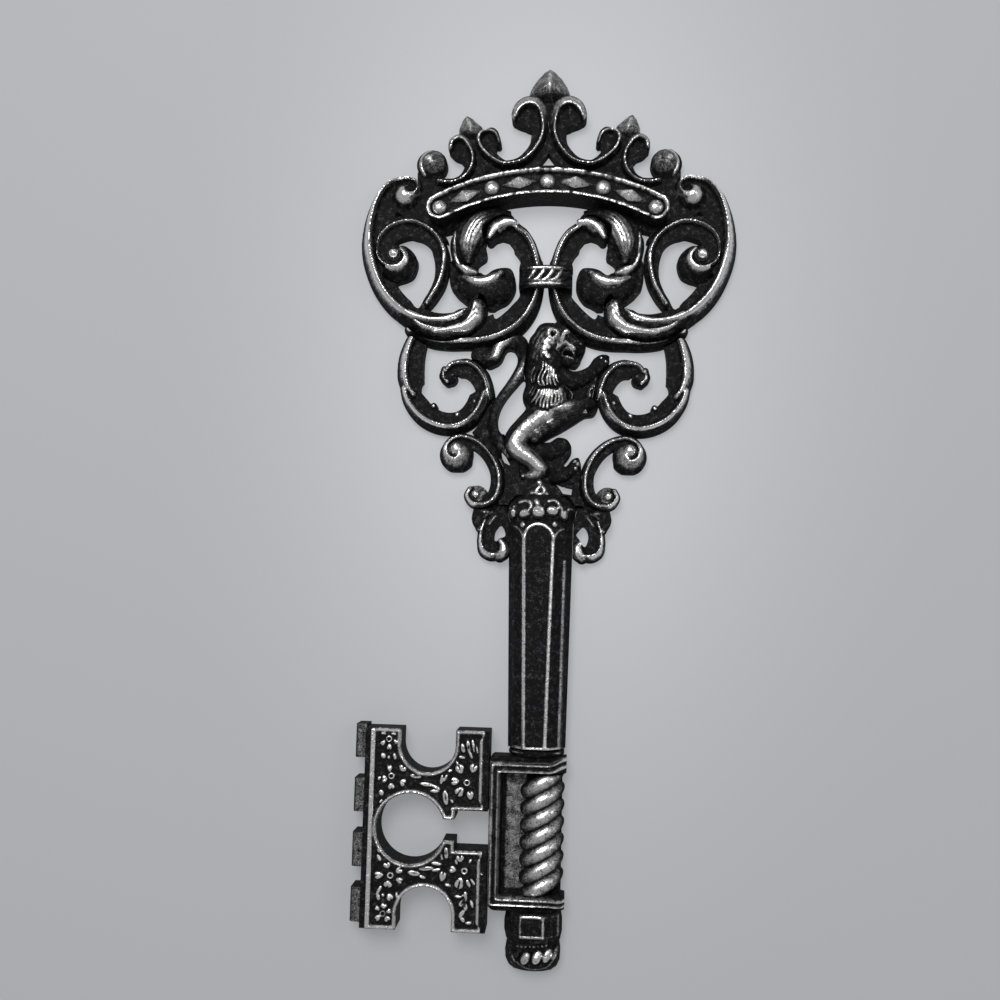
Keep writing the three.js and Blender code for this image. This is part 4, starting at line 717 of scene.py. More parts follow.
HOLES += [on_bow(HEEL_HOLE), on_bow(KNEE_HOLE)]
HOLES += [hole(FOOT_HOLE_LEFT), hole(FOOT_HOLE_RIGHT)]
print(len(HOLES), "openings")

# %% [markdown]
# ## Band below the crown
# A bent band with a raised rim on both edges carries the crown. Its arc is walked as a line, with the two
# rims beside a sunk floor on which beads and lozenges are set later.

# %% Band
BAND = {"radius": 91.7, "half": 5.1, "height": 15.0, "floor": 12.4, "rim": 1.5}
BAND_Y = BOW_FOOT + BOW_HEIGHT * 0.7475 - BAND["radius"]
BAND_ANGLE = math.asin(0.562 * BOW_HALF / BAND["radius"])


def on_band(angle):
    return np.array([BAND["radius"] * math.sin(angle), BAND_Y + BAND["radius"] * math.cos(angle)])


band = Sheet(-50, 108, 50, 134)
band_line = np.array([on_band(BAND_ANGLE * k / 80) for k in range(-80, 81)])


def band_form(offset, share, x, y):
    inside = BAND["half"] - np.abs(offset)
    rim = BAND["height"] - 0.7 * (1 - np.clip(inside / 0.5, 0, 1)) ** 2
    rim = rim - 0.5 * np.exp(-((inside - 1.0) / 0.22) ** 2)
    shift = np.where(offset > 0, 0.0, 2.0)
    grains = 0.3 * np.sin(share * 2 * math.pi * 92 + 2.2 * np.sin(share * 71) + shift)
    wall = ease(BAND["rim"] + 0.35, BAND["rim"] - 0.35, inside)
    return inside, BAND["floor"] + (rim + grains - 0.3 - BAND["floor"]) * wall, 0.0


follow(band, band_line, BAND["half"] + 1, band_form)
rims = np.exp(-((band.inside - 0.75) / 0.62) ** 4) * (band.inside > 0)
band.tone = rims * np.clip(0.66 + 0.22 * grain(band.x.shape, 1.4, 12), 0, 1)
body_of("crown_band", band, SILVER, seed=11, rough=0.05, wear=())

# %% [markdown]
# ## Collar
# A twisted collar ties the two inner scrolls together. It bridges them, so its back is a tunnel, and
# slanting ridges between two end rings give the twist.

# %% Collar
low, high = box_mm("collar")
COLLAR = {"pass": 9.0, "roof": 10.4, "shoulder": 8.6, "body": 12.8}
collar = sheet_on(low, high, 0.2)
across = np.abs(collar.x) / high[0]
up = (collar.y - low[1]) / (high[1] - low[1])
arch = COLLAR["shoulder"] + (COLLAR["body"] - COLLAR["shoulder"]) * np.sqrt(np.clip(1 - across ** 2, 0, 1))
collar.lay(np.minimum(high[0] - np.abs(collar.x), np.minimum(collar.y - low[1], high[1] - collar.y)), arch)
for k in range(-3, 3):
    start = np.array([k * 3.6 - 2.0, low[1] + 2.0])
    strand = [start, start + [1.9, 0.9], start + [3.4, 2.3], start + [4.7, 4.2]]
    where = ease(0.99, 0.85, across) * ease(0.2, 0.26, up) * ease(0.8, 0.74, up)
    ridge(collar, strand, 0.8, 1.2, 0.66, where=where)
for place, shine in ((0.13, 0.7), (0.86, 0.8)):
    rise = np.sqrt(np.clip(1 - ((up - place) / 0.09) ** 2, 0, 1)) * (collar.inside > 0)
    collar.height += 1.2 * rise
    collar.brighten(shine * ease(0.35, 0.9, rise))
collar.tone *= ease(0.9, 0.3, across)
tunnel = np.where(np.abs(collar.x) < COLLAR["pass"], COLLAR["roof"], 0.0)
body_of("collar", collar, SILVER, base=tunnel, seed=145, soften=0.18, wear=())
collar.cut = np.minimum(collar.cut, np.abs(collar.x) - COLLAR["pass"])

# %% [markdown]
# ## Volute scrolls
# The large rolled scrolls at both sides are straps that curl in to a knob. Their widths are listed at
# the same points as the route, and a disc fills the innermost turn, where the strap meets itself.

# %% Volute scrolls
VOLUTE_ROUTE = [
    [0.776, 0.623], [0.76, 0.615], [0.753, 0.605], [0.763, 0.596], [0.784, 0.589], [0.815, 0.587],
    [0.848, 0.59], [0.875, 0.597], [0.892, 0.607], [0.898, 0.619], [0.897, 0.634], [0.885, 0.648],
    [0.86, 0.66], [0.828, 0.669], [0.792, 0.675], [0.733, 0.679], [0.69, 0.676], [0.624, 0.663],
    [0.573, 0.643], [0.545, 0.617], [0.545, 0.586], [0.565, 0.554], [0.6, 0.528], [0.624, 0.513],
]
VOLUTE_OUTER = [
    1.6, 1.6, 1.6, 1.6, 1.6, 1.4, 1.2, 1.0, 0.9, 0.9, 0.9, 1.0, 1.1, 1.2, 1.3, 1.4, 1.6, 1.8, 2.0, 2.2, 2.4,
    2.4, 2.2, 1.8,
]
VOLUTE_INNER = [
    1.0, 1.2, 1.6, 2.4, 3.4, 4.6, 5.4, 6.0, 6.4, 6.6, 6.6, 6.4, 6.4, 6.2, 6.2, 6.0, 5.8, 5.6, 5.4, 5.2, 5.4,
    5.8, 6.0, 5.4,
]
SNAIL = [0.783, 0.594]
for label, side in SIDES:
    sheet = side_sheet(side, 37, 72, 72, 118)
    strap(sheet, VOLUTE_ROUTE, side, 1, [8.6, 9.2, 9.4, 9.2, 9.2], VOLUTE_OUTER, VOLUTE_INNER,
          edge=[3, 3, 3, 3.5, 5, 5, 5], floor=[6.0, 5.6, 5.6], rim=[0.8, 1.2, 1.6, 1.6],
          grey=[0.5, 0.5, 0.5, 0.5, 0.45, 0.3] + [0.0] * 18, disc=(on_bow(SNAIL, side), 8.2, 0.17),
          fade=(0.1, 0.6))
    ball(sheet, on_bow([0.809, 0.612], side), 2.5, 9.4, 6.0, tone=0.9)
    ball(sheet, on_bow([0.806, 0.606], side), 5.2, 5.8, 5.2)
    bow_piece(f"volute_scroll_{label}", sheet, BLACK, 20 + side)

# %% [markdown]
# ## Outer scrolls
# From the horn below the crown a scroll runs round the outside of the bow to the middle. A second crest
# and a thick lobe lie beside it near the middle, and a plain web fills the corner behind the horn.

# %% Outer scrolls
OUTER_ROUTE = [
    [0.781, 0.744], [0.77, 0.732], [0.737, 0.726], [0.706, 0.736], [0.691, 0.748], [0.697, 0.759],
    [0.73, 0.766], [0.783, 0.765], [0.836, 0.758], [0.883, 0.737], [0.914, 0.707], [0.932, 0.666],
    [0.932, 0.629], [0.906, 0.587], [0.853, 0.543], [0.787, 0.513], [0.706, 0.49], [0.626, 0.479],
    [0.547, 0.475], [0.468, 0.478], [0.43, 0.486],
]
SECOND_CREST = [[0.757, 0.491], [0.693, 0.479], [0.624, 0.464], [0.518, 0.458], [0.43, 0.468],
                [0.385, 0.488], [0.365, 0.508]]
CLUB = [[0.58, 0.452], [0.494, 0.456], [0.42, 0.463], [0.362, 0.482], [0.352, 0.502]]
RAGGED_LEAF = [[0.716, 0.495], [0.651, 0.483], [0.572, 0.477], [0.504, 0.48], [0.452, 0.488], [0.417, 0.498]]
HORN_CURL = [[0.782, 0.748], [0.774, 0.737], [0.744, 0.727], [0.714, 0.731], [0.694, 0.742]]
HORN_PIT = [0.733, 0.745]
OUTER_WEB = [
    [0.93, 0.66], [0.9, 0.72], [0.8, 0.75], [0.7, 0.75], [0.66, 0.72], [0.56, 0.7], [0.5, 0.685],
    [0.5, 0.65], [0.53, 0.64], [0.56, 0.655], [0.64, 0.66], [0.75, 0.67], [0.86, 0.65],
]
for label, side in SIDES:
    sheet = side_sheet(side, 20, 60, 78, 138)
    strap(sheet, OUTER_ROUTE, side, -1, [8.8, 9.6, 9.8, 10],
          [1.0, 1.2, 1.6, 2.2, 3.2, 3.6, 4.2, 4.6, 4.9, 4.9, 4.9, 5.0, 4.6, 3.4, 2.0, 1.6],
          [1.4, 2, 3, 8, 11, 10, 8, 6, 5, 4.5, 4, 3.5, 3.5], edge=1.6, floor=[6.6, 5.6, 5.6, 6, 6.4],
          rim=[1.0, 1.4, 1.4, 1.4, 1.4, 2.2], swell=1.8, grey=[0.2, 0.35, 0.55, 0.6, 0.5, 0.4, 0.3])
    strap(sheet, SECOND_CREST, side, -1, [8, 9.4, 10.4, 11, 11.2], [3, 4.4, 4.6, 5, 5.6, 4.6],
          [2.0, 2.2, 2.2, 2.4, 3.0, 2.4], edge=2.4, floor=[7, 8, 8.6], rim=[1.6, 2, 3], swell=1.6,
          grey=[0.1, 0.3, 0.4])
    lobe(sheet, CLUB, side, [1.4, 2.4, 3.4, 4.2, 3.6], [10.4, 11.0, 11.4, 11.4, 10.4], 4.0, 0.6,
         tone=[0.7, 0.75, 0.75, 0.7, 0.4])
    lobe(sheet, RAGGED_LEAF, side, [0.7, 1.0, 1.5, 1.7, 1.3, 0.7], [9.4, 9.8, 10, 10, 9.8, 9.4], 7.0, 0.6,
         tone=[0.8, 0.95, 0.95, 0.9, 0.8, 0.4])
    slab(sheet, hole(OUTER_WEB, side), 5.4)
    ball(sheet, on_bow([0.757, 0.731], side), 5.9, 10.2, 4.0, 0.7)
    ridge(sheet, on_bow(HORN_CURL, side), 1.1, 0.3, 0.85)
    pit_x, pit_y = on_bow(HORN_PIT, side)
    pit = np.hypot(sheet.x - pit_x, sheet.y - pit_y)
    sheet.height -= 2.6 * ease(2.2, 0.8, pit) * (sheet.inside > 0)
    sheet.shade = np.maximum(sheet.shade, ease(2.0, 1.0, pit))
    bow_piece(f"outer_scroll_{label}", sheet, SILVER, 30 + side)

# %% [markdown]
# ## Inner scrolls
# Two tall scrolls rise from the sides, meet in the middle under the collar and curl out under the band.
# They run over the band's foot, so only here the seam to the band is left out.

# %% Inner scrolls
INNER_ROUTE = [
    [0.705, 0.462], [0.6, 0.443], [0.502, 0.438], [0.424, 0.439], [0.335, 0.441], [0.258, 0.448],
    [0.18, 0.463], [0.119, 0.484], [0.079, 0.508], [0.052, 0.536], [0.042, 0.562], [0.052, 0.592],
    [0.078, 0.625], [0.118, 0.65], [0.18, 0.664], [0.24, 0.663], [0.281, 0.654],
]
for label, side in SIDES:
    sheet = side_sheet(side, -1, 56, 58, 118)
    strap(sheet, INNER_ROUTE, side, -1, [9, 9.6, 9.6, 9.8],
          [3, 3.2, 3.2, 3.4, 3.8, 4, 3.4, 2.6, 2.8, 3.6, 4, 4.4],
          [6, 7, 8, 8.6, 8.6, 8.6, 8, 7.4, 7.2, 6.8, 5, 2.6], edge=2.4, floor=6.2, rim=1.5)
    lobe(sheet, [[0.17, 0.672], [0.222, 0.672], [0.27, 0.66], [0.298, 0.642]], side, [1.9, 3.2, 3.5, 1.6],
         11, 6.2)
    bow_piece(f"inner_scroll_{label}", sheet, BLACK, 40 + side, over=("crown_band",))

# %% [markdown]
# ## Lower scrolls
# Below them hangs a pair in three runs that meet in the eye of the scroll: from the side down, along
# the belly and back up into the curl. Small beads end the runs.

# %% Lower scrolls
LOWER_TOP = [
    [0.667, 0.455], [0.692, 0.438], [0.71, 0.414], [0.719, 0.39], [0.717, 0.365], [0.699, 0.343],
    [0.676, 0.331],
]
LOWER_BELLY = [
    [0.724, 0.342], [0.706, 0.322], [0.664, 0.3], [0.615, 0.284], [0.552, 0.273], [0.489, 0.269],
    [0.433, 0.273], [0.387, 0.283], [0.346, 0.301], [0.322, 0.321], [0.309, 0.335],
]
LOWER_CURL = [
    [0.287, 0.327], [0.298, 0.344], [0.32, 0.366], [0.352, 0.382], [0.394, 0.392], [0.442, 0.393],
    [0.483, 0.389], [0.51, 0.377],
]
for label, side in SIDES:
    sheet = side_sheet(side, 18, 22, 62, 72)
    strap(sheet, LOWER_TOP, side, -1, 8.8, [2.8, 3.6, 4.2, 4.4, 4.4, 4.0, 2.4],
          [5.4, 5.6, 6.0, 6.4, 6.4, 5.6, 2.6],
          floor=5.4, rim=1.2, grey=[0.2, 0.5, 0.65, 0.65, 0.5, 0.15, 0.0])
    strap(sheet, LOWER_BELLY, side, -1, [8.4, 8.6, 8.6, 9.2, 9.6],
          [2.6, 3.0, 3.6, 3.8, 3.8, 3.6, 3.6, 3.6, 3.4, 3.2, 2.6],
          [5.0, 5.6, 6.0, 5.6, 5.2, 5.2, 5.0, 5.0, 5.2, 5.2, 3.0], floor=5.4, rim=[1.0, 1.1, 1.2, 1.6, 2.0],
          grey=[0.65, 0.55, 0.4, 0.2, 0.1, 0.1, 0.1, 0.2, 0.6, 0.8, 0.8])
    strap(sheet, LOWER_CURL, side, -1, 8.4, [2.6, 2.8, 3.0, 2.8, 2.4, 2.2, 2.0, 1.8],
          [3.0, 4.6, 5.0, 5.2, 5.4, 5.2, 4.6, 3.6], edge=2.6, floor=5.2, rim=1.0, swell=1.4,
          grey=[0.2, 0.35, 0.35, 0.3, 0.3, 0.3, 0.2, 0.1])
    ball(sheet, on_bow([0.492, 0.364], side), 2.9, 7.0, 4.4)
    lobe(sheet, [[0.52, 0.38], [0.524, 0.366], [0.504, 0.356]], side, [1.6, 1.9, 1.6], 7.2, 3.6, 0.6)
    ball(sheet, on_bow([0.685, 0.329], side), 1.7, 7.4, 5.0, 0.6)
    ball(sheet, on_bow([0.572, 0.307], side), 1.3, 6.4, 5.0, 0.6)
    dot(sheet, [[side * 0.449, 0.292], [side * 0.362, 0.318]], 1.3, 0.1, 0.45)
    bow_piece(f"lower_scroll_{label}", sheet, BLACK, 50 + side)

# %% [markdown]
# ## Acanthus leaves
# Two ribbed leaves fill the corner between inner and outer scroll. Each is a flat ground with folded
# lobes over it, and fine ribs run along the folds.

# %% Acanthus leaves
UPPER_LEAF = [
    [0.17, 0.69], [0.24, 0.7], [0.33, 0.699], [0.42, 0.685], [0.48, 0.664], [0.51, 0.64], [0.5, 0.605],
    [0.47, 0.59], [0.41, 0.583], [0.35, 0.588], [0.315, 0.61], [0.325, 0.64], [0.31, 0.668], [0.24, 0.684],
]
UPPER_FOLD = [[0.2, 0.69], [0.28, 0.693], [0.36, 0.685], [0.43, 0.664], [0.455, 0.635], [0.45, 0.605]]
UPPER_CROWN = [[0.215, 0.687], [0.28, 0.686], [0.345, 0.676], [0.387, 0.655], [0.41, 0.63], [0.41, 0.598]]
LOWER_LEAF = [
    [0.5, 0.6], [0.51, 0.57], [0.5, 0.545], [0.465, 0.528], [0.411, 0.512], [0.35, 0.507],
    [0.272, 0.502], [0.213, 0.513], [0.17, 0.532], [0.158, 0.552], [0.165, 0.572], [0.19, 0.586],
    [0.24, 0.588], [0.3, 0.58], [0.36, 0.575], [0.43, 0.575],
]
for label, side in SIDES:
    sheet = side_sheet(side, 12, 90, 41, 119)
    slab(sheet, hole(UPPER_LEAF, side), 5.6)
    lobe(sheet, UPPER_FOLD, side, [2.2, 3.2, 3.8, 4.4, 3.6, 1.6], [8.4, 8.8, 8.8, 8.6, 8.2, 7.0], 5.0,
         ribs=5, rib=0.25, tone=0.12)
    lobe(sheet, UPPER_CROWN, side, [1.8, 3.6, 5.4, 6.2, 5.4, 2.0], [9.4, 10.8, 11.6, 11.8, 11.4, 9.0], 5.2,
         0.7, ribs=7, rib=0.3, tone=[0.05, 0.15, 0.45, 0.75, 0.65, 0.3])
    leaf_edge = on_bow([[0.487, 0.655], [0.489, 0.635], [0.484, 0.615], [0.474, 0.6], [0.455, 0.59]], side)
    ridge(sheet, leaf_edge, 0.5, 0.6, 0.75)
    bow_piece(f"acanthus_upper_{label}", sheet, HALF, 60 + side, wear=((0.8, 0.3, 1.2),))
for label, side in SIDES:
    sheet = side_sheet(side, 10, 73, 41, 100)
    slab(sheet, hole(LOWER_LEAF, side), 5.6)
    lobe(sheet, [[0.487, 0.65], [0.484, 0.617], [0.456, 0.592], [0.412, 0.577], [0.37, 0.572]], side,
         [1.2, 1.7, 2.2, 2.5, 1.4], [8.2, 9.0, 9.6, 10.2, 9.0], 5.6, tone=[0.2, 0.3, 0.7, 0.95, 0.6])
    lobe(sheet, [[0.46, 0.563], [0.41, 0.54], [0.34, 0.53], [0.27, 0.534], [0.22, 0.543]], side,
         [2.0, 3.4, 4.6, 5.4, 5.6], [7.4, 8.8, 9.8, 10.2, 9.8], 4.6, 0.6, ribs=5, rib=0.3, tone=0.15)
    lobe(sheet, [[0.43, 0.562], [0.37, 0.553], [0.31, 0.553], [0.26, 0.562], [0.235, 0.57]], side,
         [1.6, 2.8, 3.2, 2.8, 1.6], [9.4, 11.2, 11.5, 11.2, 10.2], 6.4, 0.7, ribs=4, rib=0.22,
         tone=[0.4, 0.9, 0.95, 0.85, 0.4])
    bow_piece(f"acanthus_lower_{label}", sheet, HALF, 64 + side, wear=((0.8, 0.25, 1.0),))

# %% [markdown]
# ## The lion
# A lion rears up in the middle of the head and faces right, tail up behind it. It is modelled like wax on
# a flat ground: swellings for skull, muzzle, chest, belly and legs, then locks of mane cut in as grooves.

# %% Lion
LION_OUTLINE = [
    [-0.022, 0.474], [0.03, 0.477], [0.067, 0.474], [0.14, 0.455], [0.19, 0.437], [0.214, 0.432],
    [0.196, 0.408], [0.16, 0.388], [0.118, 0.39], [0.13, 0.38], [0.171, 0.377], [0.228, 0.385],
    [0.259, 0.403], [0.289, 0.413], [0.336, 0.411], [0.32, 0.38], [0.295, 0.35], [0.29, 0.32],
    [0.263, 0.293], [0.216, 0.289], [0.15, 0.273], [0.078, 0.257], [0.011, 0.247], [-0.036, 0.241],
    [-0.036, 0.237], [-0.015, 0.233], [0.037, 0.239], [0.078, 0.249], [0.12, 0.245], [0.146, 0.234],
    [0.147, 0.218], [0.127, 0.204], [0.107, 0.194], [0.122, 0.192], [0.153, 0.206], [0.185, 0.21],
    [0.2, 0.19], [0.2, 0.165], [0.13, 0.155], [0.04, 0.155], [-0.03, 0.17], [-0.11, 0.17], [-0.12, 0.2],
    [-0.16, 0.22], [-0.2, 0.245], [-0.173, 0.268], [-0.132, 0.286], [-0.092, 0.306], [-0.108, 0.32],
    [-0.109, 0.334], [-0.094, 0.352], [-0.105, 0.375], [-0.094, 0.405], [-0.083, 0.438], [-0.053, 0.458],
]
lion = Sheet(-18, 3, 28, 74, 0.2)
lion_edge = spline(on_bow(LION_OUTLINE), closed=True, step=1.6)
slab(lion, lion_edge, 4.8)


def muscle(pairs, width, crown, base=4.6, round_=0.6, tone=0.0):
    lobe(lion, pairs, 1, width, crown, base, round_, tone=tone)


def stroke(pairs, half, rise, tone=0.0, shade=0.0):
    ridge(lion, on_bow(pairs), half, rise, tone, shade)


def locks(strands, half, rise, gap, tone=0.95):
    """Strands of hair: each one stands up as a thin bent ridge, and the ground between them stays dark."""
    away = np.minimum.reduce([line_distance(lion, spline(on_bow(pairs), step=0.8)) for pairs in strands])
    up = ease(half * 1.35, half * 0.45, away) * (lion.inside > 0)
    near = ease(gap, gap * 0.6, away) * (lion.inside > 0)
    lion.height += rise * up - 0.35 * near * (1 - up)
    lion.brighten(tone * up)
    lion.shade = np.maximum(lion.shade, 0.9 * near * (1 - up))


# The tones of the muscles are partly rubbed wear on the high points and partly painted highlights where the
# rounded forms face up and to the left.
muscle([[0.012, 0.452], [0.0, 0.42]], [4.8, 6.4], [11.8, 11.8], tone=[0.2, 0.25])
muscle([[0.09, 0.452], [0.15, 0.428]], [5.6, 4.4], [11.0, 10.0])
muscle([[0.12, 0.398], [0.165, 0.395]], [3.0, 2.2], [9.0, 8.2])
muscle([[0.0, 0.43], [0.002, 0.4], [0.004, 0.37], [0.014, 0.335], [0.02, 0.308]],
       [6.5, 7, 7.8, 9.2, 6.6], 11.4)
muscle([[0.03, 0.32], [0.015, 0.3], [-0.03, 0.281], [-0.09, 0.262], [-0.13, 0.243]], [6.4, 6, 5.2, 5.0, 4.2],
       [11.6, 12.2, 12.2, 12.2, 12], tone=[0.2, 0.6, 0.5, 0.6, 0.85])
muscle([[-0.125, 0.25], [-0.14, 0.233], [-0.108, 0.217], [-0.061, 0.205], [-0.01, 0.187]],
       [4.4, 4.4, 4.2, 3.8, 3.4], [12, 12.4, 12.4, 12.2, 11.4], tone=[0.95, 1, 1, 1, 0.9])
muscle([[0.0, 0.185], [-0.045, 0.174], [-0.096, 0.171]], [3.0, 2.3, 1.5], [10.4, 8.8, 7.6],
       tone=[0.9, 0.7, 0.35])
muscle([[0.045, 0.303], [0.097, 0.305], [0.158, 0.309], [0.218, 0.313], [0.262, 0.32]],
       [3.6, 3.4, 3.0, 2.6, 2.4], [12.4, 11.8, 10.4, 9.4, 8.4], tone=[1, 0.85, 0.3, 0.15, 0.1])
muscle([[0.236, 0.318], [0.244, 0.333], [0.253, 0.347]], [1.9, 2.2, 1.6], [8.8, 9.4, 8.6],
       tone=[0.35, 0.3, 0.3])
muscle([[0.094, 0.364], [0.166, 0.362], [0.237, 0.38], [0.3, 0.398]], [4.6, 3.8, 3.4, 3.0],
       [8.2, 7.6, 7.4, 7.2])
muscle([[-0.01, 0.22], [0.05, 0.222], [0.1, 0.232]], [3.6, 3.6, 3.2], [7.2, 7, 6.6])
muscle([[0.07, 0.17], [0.13, 0.178], [0.17, 0.195]], [2.8, 2.4, 2.2], [7.4, 7.6, 8.0])
muscle([[0.0, 0.385], [0.012, 0.36], [0.022, 0.345]], [3.6, 4.6, 5.6], [12.2, 12.9, 12.2])
muscle([[0.02, 0.338], [0.022, 0.322], [0.02, 0.303]], [5.4, 6.4, 6.6], [12.6, 12.9, 11.8])
muscle([[0.21, 0.3], [0.13, 0.288], [0.07, 0.274], [0.01, 0.262], [-0.04, 0.25]], [1.8, 2.8, 3.4, 3.4, 3.4],
       [8.6, 9.8, 10.6, 11.0, 11.2], tone=[0.05, 0.16, 0.2, 0.24, 0.3])
lion.tone = blurred(lion.tone, (lion.inside > 0).astype(float), 0.9, lion.cell)
head_zone = lion.y > BOW_FOOT + BOW_HEIGHT * 0.36
trimmed = np.minimum(lion.inside, edge_distance(lion, lion_edge) + 0.25)
lion.inside = np.where(head_zone, trimmed, lion.inside)

# %% [markdown]
# ## Head of the lion
# Ear, brow, eye, nose and open mouth are a few bright lines round dark pits, as a chaser cuts them.
# The skull and the muzzle below them are the first two muscles.

# %% Head of the lion
EAR = [0.0405, 0.447]
round_ear = np.linspace(0, 2 * math.pi, 13)
ear_ring = [[EAR[0] + 0.0185 * math.cos(a), EAR[1] + 0.0098 * math.sin(a)] for a in round_ear]
stroke(ear_ring, 0.62, 0.9, 1.0)
dot(lion, [[EAR[0] + 0.001, EAR[1] - 0.002]], 0.95, -1.6, shade=1.0)
stroke([[0.059, 0.455], [0.071, 0.449], [0.073, 0.44], [0.065, 0.432]], 0.5, 0.4, 0.4)
stroke([[0.066, 0.419], [0.08, 0.429], [0.095, 0.441], [0.105, 0.45], [0.118, 0.453]], 0.75, 0.7, 0.9)
dot(lion, [[0.11, 0.45], [0.121, 0.4515]], 1.2, 0.3, 0.55)
stroke([[0.106, 0.443], [0.113, 0.4465], [0.121, 0.444], [0.122, 0.44]], 0.3, 0.4, 0.5)
dot(lion, [0.113, 0.443], 0.55, -0.8, shade=0.9)
dot(lion, [[0.172, 0.434], [0.188, 0.43]], 0.8, 0.4, 0.3)
dot(lion, [[0.136, 0.4235], [0.15, 0.419]], 1.1, 0.5, 0.9)
stroke([[0.091, 0.427], [0.108, 0.4315], [0.127, 0.4255]], 0.55, 0.4, 0.75)
MOUTH = [
    [0.156, 0.4085], [0.142, 0.415], [0.124, 0.42], [0.102, 0.4185], [0.094, 0.4145], [0.104, 0.408],
    [0.123, 0.4045], [0.148, 0.4015],
]
dot(lion, [[0.107, 0.414], [0.122, 0.4125], [0.136, 0.411]], 1.2, -1.6, shade=1.0)
stroke(MOUTH, 0.34, 0.5, 0.9)
CHEEK = [[0.009, 0.428], [0.019, 0.42], [0.039, 0.431], [0.024, 0.434], [0.005, 0.409], [0.02, 0.402],
         [0.0, 0.417]]
dot(lion, CHEEK, 1.35, 0.3, 0.95)
dot(lion, [[0.049, 0.418], [0.057, 0.423]], 0.9, -0.3, shade=0.7)
FUR = [
    [[-0.006, 0.447], [-0.03, 0.435], [-0.046, 0.42]], [[0.004, 0.438], [-0.02, 0.426], [-0.035, 0.41]],
    [[-0.014, 0.456], [-0.04, 0.445], [-0.06, 0.43]], [[-0.016, 0.41], [-0.014, 0.399]],
    [[-0.05, 0.412], [-0.058, 0.396]], [[-0.034, 0.404], [-0.038, 0.392]],
]
for pairs in FUR:
    stroke(pairs, 0.4, 0.35, 0.4)

# %% [markdown]
# ## Mane and paws
# The mane hangs in two tiers of thin bent locks with loose ones at its edges. The ground between them
# stays black, and so do the creases between thigh, tail and paws.

# %% Mane and paws
UPPER_MANE = [
    [[-0.004, 0.389], [-0.006, 0.377], [-0.023, 0.364], [-0.027, 0.353], [-0.02, 0.346], [-0.01, 0.342]],
    [[0.012, 0.387], [0.014, 0.375], [-0.001, 0.364], [-0.008, 0.354], [0.006, 0.342]],
    [[0.027, 0.383], [0.028, 0.369], [0.018, 0.357], [0.021, 0.343]],
    [[0.039, 0.381], [0.041, 0.367], [0.033, 0.356], [0.041, 0.342]],
    [[0.052, 0.377], [0.054, 0.365], [0.051, 0.356], [0.064, 0.345]],
    [[0.068, 0.367], [0.067, 0.358], [0.08, 0.35]],
]
LOWER_MANE = [
    [[-0.022, 0.338], [-0.034, 0.326], [-0.057, 0.315]],
    [[-0.008, 0.336], [-0.015, 0.325], [-0.034, 0.315], [-0.039, 0.306]],
    [[0.005, 0.336], [0.0, 0.324], [-0.014, 0.313], [-0.016, 0.303]],
    [[0.019, 0.336], [0.016, 0.322], [0.005, 0.311], [0.001, 0.301]],
    [[0.033, 0.338], [0.03, 0.323], [0.023, 0.311], [0.022, 0.3]],
    [[0.046, 0.336], [0.047, 0.323], [0.042, 0.313], [0.041, 0.304]],
    [[0.06, 0.335], [0.066, 0.323], [0.062, 0.313], [0.057, 0.306]],
    [[0.074, 0.335], [0.084, 0.325], [0.082, 0.315], [0.073, 0.308]],
    [[0.082, 0.34], [0.096, 0.329], [0.101, 0.319], [0.093, 0.312]],
    [[0.092, 0.342], [0.112, 0.333], [0.117, 0.321]],
]
OUTER_LOCKS = [
    [[-0.047, 0.381], [-0.065, 0.365], [-0.061, 0.351]], [[-0.027, 0.375], [-0.047, 0.363], [-0.048, 0.351]],
    [[0.083, 0.37], [0.084, 0.36], [0.093, 0.352]], [[-0.053, 0.343], [-0.073, 0.33]],
    [[-0.036, 0.342], [-0.06, 0.326]], [[0.1, 0.344], [0.122, 0.336], [0.133, 0.326]],
    [[0.11, 0.346], [0.136, 0.34], [0.149, 0.333], [0.145, 0.325]],
]
locks(UPPER_MANE, 0.52, 0.8, 1.6)
locks(LOWER_MANE, 0.56, 0.8, 1.6)
locks(OUTER_LOCKS, 0.45, 0.6, 1.3, 0.7)
dot(lion, [[0.055, 0.303], [0.072, 0.302], [0.09, 0.305], [0.108, 0.306]], 1.9, 0.3, 0.95)
dot(lion, [[0.011, 0.287], [-0.01, 0.286], [0.03, 0.281], [-0.035, 0.276]], 2.4, 0.2, 0.9)
dot(lion, [[0.244, 0.342], [0.263, 0.339]], 1.0, 0.6, 0.85)
# A broad band of painted shade darkens the outer left edge of the haunch and hind leg.
stroke([[-0.045, 0.305], [-0.1, 0.286], [-0.15, 0.262], [-0.19, 0.24]], 1.6, 0.0, shade=0.5)
dot(lion, [[0.238, 0.328], [0.293, 0.405], [0.318, 0.397], [0.165, 0.201]], 0.9, 0.6, 0.45)
dot(lion, [[0.183, 0.195], [0.174, 0.186]], 1.0, 0.8, 0.85)
stroke([[0.236, 0.352], [0.246, 0.338], [0.243, 0.32]], 0.3, -0.5, shade=0.6)
stroke([[0.256, 0.352], [0.256, 0.336], [0.25, 0.322]], 0.3, -0.5, shade=0.6)
stroke([[0.0, 0.205], [0.03, 0.19], [0.02, 0.176]], 0.3, -0.4, shade=0.5)
bow_piece("lion", lion, SILVER, 71, soften=0.16, wear=((0.7, 0.2, 0.8),))

# %% [markdown]
# ## Tail
# The tail swings out behind the lion and up again, with a small rosette beside its tip. It is one long
# lobe over a flat web.

